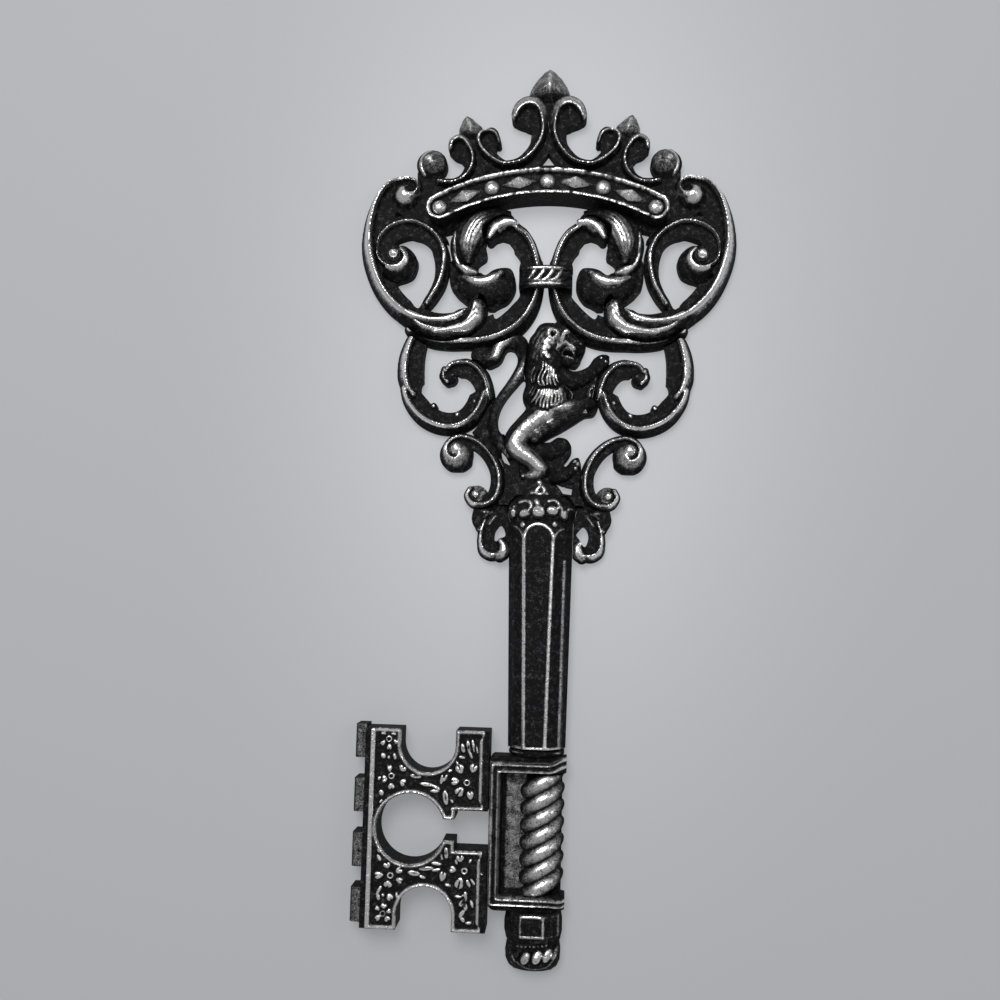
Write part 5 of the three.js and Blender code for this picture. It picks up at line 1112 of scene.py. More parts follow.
# %% Tail
TAIL_ROUTE = [
    [-0.287, 0.397], [-0.256, 0.405], [-0.241, 0.421], [-0.221, 0.433], [-0.18, 0.439], [-0.133, 0.433],
    [-0.106, 0.413], [-0.104, 0.392], [-0.129, 0.37], [-0.169, 0.346], [-0.214, 0.322], [-0.244, 0.298],
    [-0.252, 0.275], [-0.24, 0.252], [-0.214, 0.232], [-0.18, 0.212],
]
TAIL_WEB = [
    [-0.24, 0.31], [-0.3, 0.31], [-0.34, 0.27], [-0.37, 0.256], [-0.31, 0.235], [-0.26, 0.21],
    [-0.2, 0.205], [-0.21, 0.26],
]
tail = Sheet(-32, 12, -4, 68, FINE_CELL)
slab(tail, on_bow(TAIL_WEB), 4.6)
lobe(tail, TAIL_ROUTE, 1, [2.4, 2.6, 2.9, 3.2, 3.4, 3.4, 2.9, 2.8, 2.7, 2.6, 2.5, 2.6, 2.8, 3, 3, 2.6],
     8.6, 4.4, 0.7,
     tone=[0.1, 0.5, 0.9, 0.85, 0.35, 0.1, 0.1, 0.3, 0.45, 0.3, 0.25, 0.2, 0.15, 0.2, 0.25, 0.3])
ball(tail, on_bow([-0.325, 0.409]), 4.6, 7.8, 4.4, 0.6)
arc = np.array([[math.cos(a), math.sin(a)] for a in np.linspace(2.4, 6.6, 12)])
for radius in (1.3, 2.6, 3.7):
    ridge(tail, on_bow([-0.325, 0.41]) + radius * arc, 0.35, 0.35, 0.3)
bow_piece("lion_tail", tail, BLACK, 75, wear=((0.8, 0.5, 1.5),))

# %% [markdown]
# ## Side scrolls
# A small double scroll stands at each side of the lion's feet. It is one strap with a knob in each eye.

# %% Side scrolls
SIDE_ROUTE = [
    [0.437, 0.213], [0.45, 0.205], [0.481, 0.209], [0.498, 0.225], [0.483, 0.238], [0.446, 0.246],
    [0.411, 0.247], [0.348, 0.239], [0.29, 0.222], [0.249, 0.2], [0.227, 0.177], [0.225, 0.152],
    [0.24, 0.133], [0.276, 0.12], [0.318, 0.117], [0.355, 0.12], [0.38, 0.132], [0.37, 0.144],
]
for label, side in SIDES:
    sheet = side_sheet(side, 10, -8, 44, 30)
    strap(sheet, SIDE_ROUTE, side, 1, 8.2,
          [2.2, 4.4, 2.6, 1.8, 1.6, 1.6, 1.6, 1.8, 2, 2.2, 2.4, 2.6, 2.6, 2.4, 2.4, 2.2, 1.8, 1.4],
          [1.0, 1.4, 2.2, 3.2, 3.6, 3.6, 3.4, 3.4, 3.4, 3.4, 3.2, 3.2, 3.2, 3.2, 3, 2.6, 2, 1.4],
          edge=[3, 3, 3, 3.4, 3.4], floor=5.2, rim=1.1,
          grey=[0.5, 0.5, 0.5, 0.5, 0.3] + [0.15] * 9 + [0.6, 0.7, 0.6, 0.4],
          disc=(on_bow([0.445, 0.212], side), 7.0, 0.3))
    ball(sheet, on_bow([0.448, 0.214], side), 6.6, 4.6, 3.0, tone=0.2)
    ball(sheet, on_bow([0.448, 0.223], side), 2.8, 8.2, 5.4, tone=0.6)
    ball(sheet, on_bow([0.337, 0.13], side), 4.7, 5.6, 3.2, tone=0.35)
    ball(sheet, on_bow([0.342, 0.135], side), 1.8, 7.4, 5.4, tone=0.3)
    bow_piece(f"side_scroll_{label}", sheet, HALF, 80 + side)

# %% [markdown]
# ## Stem
# Below the head comes the stem: a fluted capital, a faceted shank, a neck ring, the sleeve with a rope
# twist inside it, a ferrule and a bulb. Capital, shank, neck ring and ferrule are half-round or half-polygon
# bars with a flat back, so one rule makes them: a profile across, and a list of sizes along.

# %% Stem forms
FOOT_Y = BOW_FOOT - 69.5


def bar(sheet, y0, y1, half, profile, bulge=1.0):
    """Bar along the key; profile(u) gives its height across it, u from -1 to 1; bulge swells it along."""
    v = np.clip((sheet.y - y0) / (y1 - y0), 0, 1)
    size = along(bulge, v)
    wide = (half(v) if callable(half) else half) * size
    u = sheet.x / wide
    inside = np.minimum((1 - np.abs(u)) * wide, np.minimum(sheet.y - y0, y1 - sheet.y))
    sheet.lay(inside, profile(np.clip(u, -1, 1)) * size)
    return u


def half_round(height, side):
    return lambda u: side + (height - side) * np.sqrt(1 - u ** 2)


def polygon(height):
    return lambda u: np.interp(np.abs(u), [0, 0.42, 0.78, 1], [height, height, 0.74 * height, 0.42 * height])

# %% [markdown]
# ## Capital
# The capital is a half-round block with a row of swellings at its foot and two hooks of leaf above them.
# Swellings and hooks are set on the bar one by one, where the key shows them.

# %% Capital
low, high = box_mm("capital")
capital_foot = low[1]
capital = sheet_on(low, high)
bar(capital, low[1], high[1], 13.8, half_round(11.6, 3.4), bulge=[0.87, 0.96, 1, 0.9, 0.74])
GADROONS = (
    ((-11.4, -5.9), 1.8, 2.0, 0.0), ((-6.3, -6.1), 2.4, 1.9, 0.3), ((-0.9, -5.4), 2.6, 3.0, 0.0),
    ((4.4, -4.9), 2.4, 2.1, -0.2), ((8.9, -6.4), 1.7, 2.1, 0.0),
)
HOOKS = (
    ([(-8.4, -1.4), (-6.5, -0.9), (-4.4, -1.5), (-3.8, -3.2), (-4.9, -5.0)], 0.55),
    ([(-2.0, -0.9), (-1.4, -2.0), (-1.0, -3.4)], 0.8),
    ([(2.9, -1.0), (5.0, -0.5), (6.8, -1.6), (7.0, -3.3), (5.6, -4.2)], 0.5),
    ([(7.4, -2.8), (8.0, -3.9), (8.3, -5.2)], 0.45),
)
FANS = ([(-11.6, -5.4), (-12.4, -3.6)], [(-11.1, -5.0), (-10.7, -3.1)], [(9.6, -5.4), (10.6, -4.2)])
for centre, half_x, half_y, turn in GADROONS:
    swelling(capital, centre, half_x, half_y, 1.4, turn, groove=0.6, tone=1.0)
for hook, half in HOOKS:
    ridge(capital, hook, half, 0.8, 0.85)
for fan in FANS:
    ridge(capital, fan, 0.45, 0.5, 0.5)
body_of("capital", capital, BLACK, seed=90, soften=0.2)

# %% [markdown]
# ## Shank
# The shank is a faceted bar with a long raised panel on its front: two frame lines that meet in an arch at
# the top. The right facet is rubbed in fine streaks along the bar, so its tone is drawn out lengthwise.

# %% Shank
shank_foot, shank_top = FOOT_Y, capital_foot - SEAM
shank = Sheet(-14, shank_foot - 1, 14, shank_top + 1)
u = bar(shank, shank_foot, shank_top, lambda v: 11.0 + 1.6 * v, polygon(13.2))
ridge(shank, [[-6.4, -14.6], [-5.7, -50], [-4.9, -94.6]], 0.62, 0.45, 0.85)
ridge(shank, [[5.0, -14.6], [4.1, -50], [3.2, -94.6]], 0.6, 0.45, 0.85)
ridge(shank, [[9.4, -24], [8.9, -55], [8.4, -94.0]], 0.55, 0.35, 0.6)
ARCH = [
    [-6.3, -16.0], [-6.1, -14.7], [-5.2, -12.4], [-3.7, -11.0], [-1.0, -10.2], [1.7, -10.9], [3.7, -12.4],
    [4.8, -14.5], [5.0, -16.0],
]
ridge(shank, ARCH, 0.5, 0.45, 0.9)
ridge(shank, [[-6.6, -15.6], [-7.4, -13.7], [-8.7, -11.8], [-10.7, -10.7]], 0.4, 0.4, 0.55)
ridge(shank, [[5.2, -15.8], [6.0, -14.2], [7.1, -12.7], [8.8, -11.8]], 0.4, 0.4, 0.7)
for centre in ((-7.0, -10.5), (5.5, -10.3)):
    swelling(shank, centre, 1.15, 1.15, 1.0, tone=0.8)
ridge(shank, [[-10.6, -95.0], [0, -95.0], [10.6, -95.0]], 0.45, 0.2, 0.8, where=ease(0.98, 0.7, np.abs(u)))
streaks = np.tile(grain((1, shank.x.shape[1]), 1.2, 5), (shank.x.shape[0], 1))
facet = ease(0.72, 0.8, u) * ease(1.0, 0.97, u)
shank.brighten(facet * np.clip(0.34 + 0.16 * streaks, 0, 0.6))
body_of("shank", shank, BLACK, seed=93, rough=0.012, wear=((0.7, 0.15, 0.6),))

# %% [markdown]
# ## Foot scrolls
# At the foot of the bow two small scrolls turn in, each with a bud inside and a fluted leaf above it.

# %% Foot scrolls
FOOT_ROUTE = [
    [0.286, 0.085], [0.299, 0.07], [0.306, 0.054], [0.302, 0.04], [0.287, 0.028], [0.258, 0.022],
    [0.228, 0.022],
]
FOOT_WEB = [
    [0.29, 0.115], [0.3, 0.09], [0.3, 0.05], [0.27, 0.03], [0.22, 0.021], [0.13, 0.035], [0.13, 0.115],
]
LEAF_STREAKS = [
    [[0.31, 0.107], [0.274, 0.113]], [[0.299, 0.1], [0.271, 0.101]], [[0.254, 0.113], [0.236, 0.123]],
    [[0.295, 0.09], [0.277, 0.096], [0.251, 0.101]], [[0.27, 0.077], [0.254, 0.085], [0.235, 0.094]],
]
for label, side in SIDES:
    sheet = side_sheet(side, 8, -28, 30, 4)
    slab(sheet, on_bow(FOOT_WEB, side), 4.4)
    strap(sheet, FOOT_ROUTE, side, -1, 6.8, [1.6, 1.7, 1.8, 2.2, 3.0, 3.2, 3.0],
          [3.4, 3.8, 3.4, 3.0, 2.6, 2.2, 1.8], edge=2, floor=4.2, rim=0.9,
          grey=[0.2, 0.3, 0.4, 0.6, 0.7, 0.6, 0.4])
    lobe(sheet, [[0.207, 0.046], [0.19, 0.036], [0.19, 0.024], [0.212, 0.016]], side, [1.4, 2.2, 2.6, 2.4],
         [6.2, 7.2, 7.4, 6.4], 3.6, tone=[0.1, 0.85, 0.9, 0.5])
    lobe(sheet, [[0.26, 0.122], [0.3, 0.106], [0.322, 0.086], [0.318, 0.068]], side, [3.2, 3.6, 2.9, 1.4],
         6.6, 4.2, ribs=2, rib=0.6)
    for streak in LEAF_STREAKS:
        ridge(sheet, on_bow(streak, side), 0.35, 0.35, 0.6)
    bow_piece(f"foot_scroll_{label}", sheet, BLACK, 100 + side)

# %% [markdown]
# ## Pedestal under the lion
# The ground on which the lion stands is a low mound with a little ornament of two curls.

# %% Pedestal
PEDESTAL = [
    [-0.24, 0.108], [0.24, 0.108], [0.235, 0.15], [0.22, 0.2], [0.1, 0.2], [-0.1, 0.2], [-0.22, 0.262],
    [-0.32, 0.262], [-0.26, 0.2], [-0.21, 0.17],
]
pedestal = Sheet(-27, -6, 18, 30, FINE_CELL)
slab(pedestal, on_bow(PEDESTAL), 6.2)
mound = np.exp(-(pedestal.x / 9.0) ** 2) * ease(12, 0, pedestal.y)
pedestal.height += 2.4 * mound * (pedestal.inside > 0)
dot(pedestal, [-0.012, 0.159], 1.5, 1.4, 0.9)
ridge(pedestal, [[-0.6, 5.0], [-1.9, 3.7], [-2.7, 2.4], [-3.9, 2.3]], 0.6, 0.9, 0.95)
ridge(pedestal, [[0.1, 5.0], [1.2, 3.8], [0.9, 2.4], [2.1, 2.0]], 0.6, 0.9, 0.95)
ridge(pedestal, [[-2.4, 2.1], [-0.8, 1.9], [1.0, 2.1]], 0.5, 0.6, 0.9)
bow_piece("pedestal", pedestal, BLACK, 105, soften=0.2)

# %% [markdown]
# ## Crown
# Above the band stand two pairs of scrolls, two balls, two side buds and the finial, with a plain web of
# metal behind them that joins them to the band.

# %% Inner scrolls of the crown
CROWN_WEAR = ((0.8, 0.3, 1.1),)
CROWN_ROUTE = [
    [0.176, 0.893], [0.161, 0.904], [0.142, 0.913], [0.114, 0.918], [0.085, 0.917], [0.055, 0.905],
    [0.038, 0.884], [0.038, 0.859], [0.066, 0.833], [0.102, 0.816], [0.143, 0.804], [0.191, 0.799],
    [0.233, 0.798], [0.281, 0.806], [0.324, 0.819], [0.358, 0.835], [0.369, 0.85], [0.359, 0.86],
    [0.333, 0.865], [0.306, 0.865], [0.282, 0.858], [0.265, 0.843],
]
CURL_FLOOR = [
    [0.178, 0.909], [0.194, 0.9], [0.184, 0.887], [0.158, 0.881], [0.128, 0.877], [0.1, 0.872],
    [0.075, 0.875], [0.076, 0.907], [0.115, 0.915],
]
CURL_TRIM = [
    [0.205, 0.908], [0.199, 0.893], [0.182, 0.883], [0.155, 0.878], [0.134, 0.876], [0.112, 0.872],
    [0.112, 0.85], [0.24, 0.85], [0.24, 0.908],
]
END_FLOOR = [
    [0.353, 0.868], [0.346, 0.847], [0.318, 0.831], [0.291, 0.828], [0.272, 0.842], [0.263, 0.853],
    [0.272, 0.868], [0.305, 0.877],
]
for label, side in SIDES:
    sheet = side_sheet(side, 0, 132, 32, 168)
    strap(sheet, CROWN_ROUTE, side, 1, [8.8] * 18 + [8.4, 8.2, 8.0, 7.4],
          [2.2, 2.8, 3.3, 3.7, 3.8, 3.4, 2.6, 2.0, 1.8, 2, 2, 2, 2, 2, 2, 1.9, 1.8, 1.6, 1.4, 1.4, 1.3, 1.0],
          [1.5, 3, 4, 5, 5, 5, 4.8, 4.4, 3.0, 2.7, 2.4, 2, 2, 2.6, 3.4, 3.8, 3.6, 3.4, 3.2, 3.0, 2.4, 1.2],
          edge=[6.5, 7, 7, 7, 7, 6.5, 5.5, 4.5, 3.5, 3, 3, 3, 3, 3, 3.5, 4, 4.5, 5, 5, 5, 5, 4.5],
          floor=[6.0, 5.4, 5.2, 5.2], rim=1.1, swell=2.0,
          grey=[0.5, 0.55, 0.58, 0.58, 0.5, 0.4, 0.25] + [0.05] * 9 + [0.3, 0.5, 0.5, 0.45, 0.35, 0.3],
          fade=(0.75, 1.1))
    slab(sheet, hole(CURL_FLOOR, side), 5.6)
    slab(sheet, hole(END_FLOOR, side), 5.4)
    curl_vein = on_bow([[0.116, 0.905], [0.092, 0.888], [0.094, 0.87], [0.112, 0.85]], side)
    ridge(sheet, curl_vein, 0.4, 0.35, 0.15)
    bow_piece(f"crown_inner_scroll_{label}", sheet, HALF, 110 + side, [on_bow(CURL_TRIM, side)],
              wear=CROWN_WEAR)

# %% [markdown]
# ## Balls of the crown
# A flattened ball stands at each end of the band, rubbed bright in a crescent near its outer edge. Its dome
# carries a painted highlight: a small bright spot beside a broad faint one.

# %% Balls of the crown
BALL_CRESCENT = [[0.627, 0.828], [0.659, 0.823], [0.677, 0.814], [0.684, 0.801], [0.678, 0.789],
                 [0.661, 0.778]]
for label, side in SIDES:
    centre = on_bow([0.624, 0.801], side)
    sheet = sheet_on(centre - 7, centre + 7)
    ball(sheet, centre, 6.3, 6.4, 3.2, 0.5, tone=0.1)
    ball(sheet, centre + [-0.8 * side, 0.4], 4.9, 8.6, 5.2, 0.6, tone=0.32)
    ridge(sheet, on_bow(BALL_CRESCENT, side), 0.5, 0.6, 0.75)
    # Painted highlight on the dome: a small bright spot and a broad faint one.
    dot(sheet, [[side * 0.641, 0.8085]], 1.5, 0.1, 1.0)
    dot(sheet, [[side * 0.63, 0.803]], 2.6, 0.1, 0.4)
    bow_piece(f"crown_ball_{label}", sheet, HALF, 114 + side, wear=())

# %% [markdown]
# ## Outer scrolls of the crown
# A smaller scroll stands between the ball and the side bud. It is a strap with a plate in its curl.

# %% Outer scrolls of the crown
WING_ROUTE = [
    [0.518, 0.83], [0.508, 0.843], [0.482, 0.849], [0.455, 0.846], [0.433, 0.836], [0.413, 0.824],
    [0.406, 0.805], [0.418, 0.787], [0.449, 0.771], [0.496, 0.762], [0.544, 0.761], [0.582, 0.764],
]
WING_FLOOR = [
    [0.532, 0.843], [0.531, 0.828], [0.5, 0.815], [0.468, 0.81], [0.451, 0.803], [0.436, 0.813],
    [0.432, 0.834], [0.46, 0.843], [0.498, 0.848],
]
for label, side in SIDES:
    sheet = side_sheet(side, 28, 126, 50, 152)
    strap(sheet, WING_ROUTE, side, 1, 8.4, [1.3, 1.9, 2.1, 2.0, 1.9, 1.8, 1.8, 1.8, 1.8, 1.8, 1.8, 1.6],
          [1.2, 2.4, 3.0, 3.4, 3.4, 3.4, 3.2, 2.6, 2.2, 2.0, 2.0, 1.8],
          edge=[6, 6, 6, 5.5, 4.5, 3.5, 3, 3, 3, 3, 3, 3], floor=5.0, rim=1.0, swell=2.0,
          grey=[0.35, 0.5, 0.5, 0.45, 0.35, 0.2, 0.1, 0, 0, 0, 0.1, 0.2], fade=(0.75, 1.1))
    slab(sheet, hole(WING_FLOOR, side), 5.2)
    bow_piece(f"crown_outer_scroll_{label}", sheet, HALF, 118 + side, wear=CROWN_WEAR)

# %% [markdown]
# ## Buds and finial
# Two side buds and the finial at the top are domes over a leaf outline, with a fold down the middle and
# flutes at the foot. One rule makes all three, set up along the axis of each.

# %% Buds and finial
SIDE_BUD = [
    [0.485, 0.86], [0.484, 0.877], [0.466, 0.895], [0.445, 0.906], [0.417, 0.9], [0.384, 0.889],
    [0.359, 0.881], [0.373, 0.863], [0.4, 0.853],
]
FINIAL = [
    [0, 0.928], [0.06, 0.93], [0.106, 0.939], [0.108, 0.95], [0.093, 0.964], [0.067, 0.979], [0.029, 0.995],
    [0, 1.002],
]


def bud(name, outline, axis, crown, material, seed):
    low, high = outline.min(0), outline.max(0)
    sheet = sheet_on(low, high)
    dome(sheet, outline, 3.0, crown, 8.0, 0.9)
    share = (sheet.y - low[1]) / (high[1] - low[1])
    x, y, lean = axis
    middle = sheet.x - x - lean * (sheet.y - y)
    fold = np.exp(-(middle / 0.7) ** 2) * ease(0.15, 0.35, share) * ease(0.95, 0.75, share)
    sheet.height += 0.6 * fold
    flute = np.abs(np.sin(middle * 1.5)) * ease(0.45, 0.15, share)
    sheet.height -= 0.7 * flute * ease(0.3, 1.6, sheet.inside)
    sheet.brighten(np.maximum(0.36 * ease(0.05, 0.35, share), 0.8 * fold))
    bow_piece(name, sheet, material, seed, wear=())


for label, side in SIDES:
    bud(f"crown_side_bud_{label}", on_bow(SIDE_BUD, side), (side * 32.3, 153, side * 0.31), 7.6, SILVER,
        122 + side)
bud("crown_finial", on_bow(mirrored(FINIAL)), (0, 170, 0.0), 8.4, SILVER, 126)

# %% [markdown]
# ## Web of the crown
# A thin plate stands behind the crown and ties its parts to each other and to the band. It is laid last,
# so it fills what the others leave free.

# %% Web of the crown
CROWN_WEB = [
    [0, 0.95], [0.06, 0.95], [0.04, 0.905], [0.038, 0.87], [0.06, 0.835], [0.1, 0.812], [0.16, 0.799],
    [0.234, 0.793], [0.3, 0.8], [0.347, 0.823], [0.36, 0.86], [0.42, 0.87], [0.44, 0.85], [0.412, 0.81],
    [0.424, 0.785], [0.461, 0.768], [0.52, 0.759], [0.585, 0.765], [0.62, 0.79], [0.7, 0.79], [0.7, 0.72],
    [0.5, 0.7], [0.3, 0.73], [0, 0.745],
]
web = Sheet(-56, 112, 56, 170)
slab(web, on_bow(mirrored(CROWN_WEB)), 4.6)
for side in (1, -1):
    away = web.x - side * 24.9
    boss = np.hypot(away, (web.y - 135.3) * 1.9 + side * away * 0.5)
    web.height += 0.6 * ease(2.6, 1.2, boss)
    web.brighten(0.12 * ease(2.6, 1.0, boss) * (web.inside > 0))
bow_piece("crown_web", web, BLACK, 128, wear=())

# %% [markdown]
# ## Neck ring
# A plain half-round ring of dull black ends the shank. It takes its sizes from its solid.

# %% Neck ring
low, high = box_mm("neck_ring")
neck = sheet_on(low, high)
bar(neck, low[1], high[1], high[0], half_round(high[2], 4.2), bulge=[0.86, 1, 1, 0.9])
neck.shade[:] = 0.5
body_of("neck_ring", neck, BLACK, seed=131, rough=0.12)

# %% [markdown]
# ## Ferrule
# Below the sleeve follows a faceted ferrule. Thin raised lines frame its front and its right facet.

# %% Ferrule
low, high = box_mm("ferrule")
ferrule_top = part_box("sleeve")[0].y / MM - SEAM
ferrule = sheet_on(low, [high[0], ferrule_top], FINE_CELL)
bar(ferrule, low[1], ferrule_top, high[0], polygon(high[2] - 0.7), bulge=[0.93, 1, 1, 0.93])
top_line, foot_line = ferrule_top - 1.1, low[1] + 2.2
for place, tone in ((-4.7, 0.55), (3.8, 0.75), (9.4, 0.5)):
    upright = [[place, top_line], [place, (top_line + foot_line) / 2], [place, foot_line]]
    ridge(ferrule, upright, 0.45, 0.6, tone)
for place in (top_line, foot_line):
    ridge(ferrule, [[-4.7, place], [-1, place], [3.8, place]], 0.45, 0.55, 0.85)
    ridge(ferrule, [[3.8, place], [6.6, place], [9.4, place]], 0.4, 0.4, 0.35)
body_of("ferrule", ferrule, BLACK, seed=133, rough=0.02, wear=((0.7, 0.3, 0.9),))

# %% [markdown]
# ## Bulb at the tip
# The key ends in a bulb with slanting swellings, a row of pearls above them and a thin line below.

# %% Bulb at the tip
BULB_SWELLINGS = (
    ((-6.6, -172.0), 1.5, 0.0), ((-2.6, -171.9), 1.8, 0.6), ((1.8, -171.3), 1.9, 0.8),
    ((5.6, -170.8), 1.7, 0.7), ((8.4, -170.2), 1.1, 0.4),
)
BULB_LINE = [
    [-7.6, -171.2], [-6.1, -173.6], [-3.3, -175.6], [0.4, -176.5], [4.9, -175.7], [7.6, -173.4],
    [9.0, -170.8],
]
low, high = box_mm("tip_bulb")
bulb_top = low[1] + 12.2
bulb = sheet_on(low, [high[0], bulb_top], FINE_CELL)
v = np.clip((bulb.y - low[1]) / (bulb_top - low[1]), 0, 1)
width = 10.4 * np.interp(v, [0, 0.07, 0.22, 0.45, 0.7, 1], [0.5, 0.68, 0.87, 0.98, 1, 0.94])
u = np.clip(bulb.x / width, -1, 1)
swell = np.interp(v, [0, 0.1, 0.3, 0.6, 1], [0.3, 0.62, 0.88, 1, 0.94])
inside = np.minimum(width - np.abs(bulb.x), np.minimum(bulb.y - low[1], bulb_top - bulb.y))
bulb.lay(inside, (4 + 7 * np.sqrt(1 - u ** 2)) * swell)
for centre, half, tone in BULB_SWELLINGS:
    swelling(bulb, centre, half, 3.1, 1.3, turn=-0.45, groove=0.7, tone=tone)
for k in range(8):
    swelling(bulb, (-5.6 + 1.55 * k, -168.0 + 0.08 * k), 0.5, 0.4, 0.5, groove=0.0, tone=0.9)
ridge(bulb, BULB_LINE, 0.35, 0.3, 0.6)
body_of("tip_bulb", bulb, BLACK, seed=135, soften=0.2, wear=((0.7, 0.3, 0.9),))

# %% [markdown]
# ## Sleeve
# The sleeve is a shell with two framed ends, open to the right, and a pale recess that shows the twist.
# Its face, frame lines and shoulder are worked from the distance to each of its four edges.

# %% Sleeve
low, high = box_mm("sleeve")
SLEEVE = {"rim": 4.0, "wall": 6.0, "floor": 3.4, "shoulder": 8.0, "drop": 7.0, "open": 1.5}
sleeve = sheet_on(low, high, FINE_CELL)
from_left, from_right = sleeve.x - low[0], high[0] - sleeve.x
from_foot, from_top = sleeve.y - low[1], high[1] - sleeve.y
edge = np.minimum(np.minimum(from_left, from_right), np.minimum(from_foot, from_top))
shoulder = SLEEVE["drop"] * (1 - np.sqrt(1 - (1 - np.clip(from_right / SLEEVE["shoulder"], 0, 1)) ** 2))
flick = 1.8 * ease(7.0, 0.5, from_right)
top_run, foot_run = from_top + flick, from_foot + 0.5 * flick
outer_line = np.minimum(from_left - 0.9, np.minimum(top_run - 2.6, foot_run - 3.0))
inner_line = np.minimum(from_left - 3.5, np.minimum(top_run - 5.3, foot_run - 5.2))
lines = np.maximum(np.exp(-(outer_line / 0.6) ** 2), np.exp(-(inner_line / 0.6) ** 2))
face = high[2] - 1.7 + 1.5 * lines - 3.5 * ease(0.4, -1.6, outer_line) - shoulder
for corner, radius in ((from_foot, 3.0), (from_top, 1.4)):
    bend = radius - np.hypot(np.maximum(radius - from_left, 0), np.maximum(radius - corner, 0))
    edge = np.where((from_left < radius) & (corner < radius), bend, edge)
recess = (from_left > SLEEVE["rim"]) & (np.minimum(from_foot, from_top) > SLEEVE["wall"])
edge = np.where(recess, np.minimum(edge, from_right - SLEEVE["open"]), edge)
sleeve.lay(edge, np.where(recess, SLEEVE["floor"], face))
nicks = 0.86 + 0.14 * np.clip(grain(sleeve.x.shape, 2.5, 9), -1.5, 1)
sleeve.brighten(0.95 * lines * nicks * ~recess)
from_end = np.minimum(from_foot, from_top)
pale = ease(5.2, 6.6, from_left) * ease(15.5, 13.0, from_left) * ease(6.2, 7.6, from_end)
turns = 0.9 + 0.1 * np.sin((sleeve.y + 0.35 * sleeve.x) / 6.4 * 2 * math.pi)
sleeve.brighten(0.46 * pale * turns * recess)
body_of("sleeve", sleeve, BLACK, seed=137, rough=0.02, wear=())

# %% [markdown]
# ## Bit
# The bit is a plate with two notches, a round hole and a slot. A raised rim runs round every edge, and the
# sunk field carries small flowers and leaves in low relief. Four blunt teeth stand on its outer edge.

# %% Bit plate
low, high = box_mm("bit_plate")
BIT = {"left": low[0], "right": low[0] + 45.3, "foot": low[1], "top": high[1],
       "middle": (low[1] + high[1]) / 2}
HOLE = {"x": low[0] + 16, "radius": 13.0, "notch_x": low[0] + 22, "notch": 10.5, "depth": 16.0}
bit = Sheet(BIT["left"] - 4, BIT["foot"] - 1, BIT["right"] + 1, BIT["top"] + 1, FINE_CELL)
x, y = bit.x, bit.y
LEDGE, FIELD = 2.2, 11.6
from_left, from_right = x - BIT["left"], BIT["right"] - x
plate_in = np.minimum.reduce([from_left + LEDGE, from_right, y - BIT["foot"], BIT["top"] - y])


def notch_in(sign):
    end = BIT["top"] if sign > 0 else BIT["foot"]
    centre = end - sign * (HOLE["depth"] - HOLE["notch"])
    along_key = np.maximum(0, -sign * (y - centre))
    return np.hypot(x - HOLE["notch_x"], along_key) - HOLE["notch"]


slot_left = BIT["right"] - 12.5
slot_in = np.maximum(slot_left - x, np.abs(y - BIT["middle"]) - 7.35)
throat_in = np.maximum(np.maximum(HOLE["x"] - x, x - slot_left - 0.5), np.abs(y - BIT["middle"]) - 3.9)
round_in = np.hypot(x - HOLE["x"], y - BIT["middle"]) - HOLE["radius"]
inside = np.minimum.reduce([plate_in, notch_in(1), notch_in(-1), slot_in, throat_in, round_in])
left_bar = ease(1.9, 1.5, from_left) * ease(-0.25, 0.05, from_left)
rim_edge = np.where(from_right < inside + 0.01, inside - 2.3, np.minimum(inside, from_right - 1.4))
rim_edge = np.where(from_left < 1.5, 9.0, rim_edge)
rim_line = np.exp(-((rim_edge - 0.75) / 0.5) ** 2)
ledge = ease(2.2, 0.6, from_right)
draft = 2.6 * ease(0.0, -LEDGE, from_left) ** 0.8
worn_edge = 0.5 * ease(0.5, 0.0, inside)
bit.lay(inside, FIELD + np.maximum(0.95 * rim_line, left_bar) - worn_edge - 1.8 * ledge - draft)
bit.brighten(np.maximum(0.95 * rim_line, 0.42 * left_bar) * (bit.inside > 0))
bit.shade = 0.9 * np.maximum(ease(1.9, 1.0, from_right), ease(0.0, -0.4, from_left))


def field_leaf(at, length, width, turn, rise=0.8, heart=0.0):
    """Small leaf on the field; heart widens its outer end and notches it like a petal."""
    dx, dy = x - at[0], y - at[1]
    p = (dx * math.cos(turn) + dy * math.sin(turn)) * 2 / length
    q = -dx * math.sin(turn) + dy * math.cos(turn)
    half = width / 2 * np.clip(1 - p ** 2, 0, 1) ** 0.6 * (1 + 0.35 * heart * p) + 1e-3
    swell = np.sqrt(np.clip(1 - (q / half) ** 2, 0, 1)) * (np.abs(p) < 1)
    vein = 0.3 * np.exp(-(q / 0.2) ** 2) + heart * ease(0.2, 0.9, p) * np.exp(-(q / 0.35) ** 2)
    bit.height = np.maximum(bit.height, FIELD + rise * swell * (1 - np.clip(vein, 0, 1)))


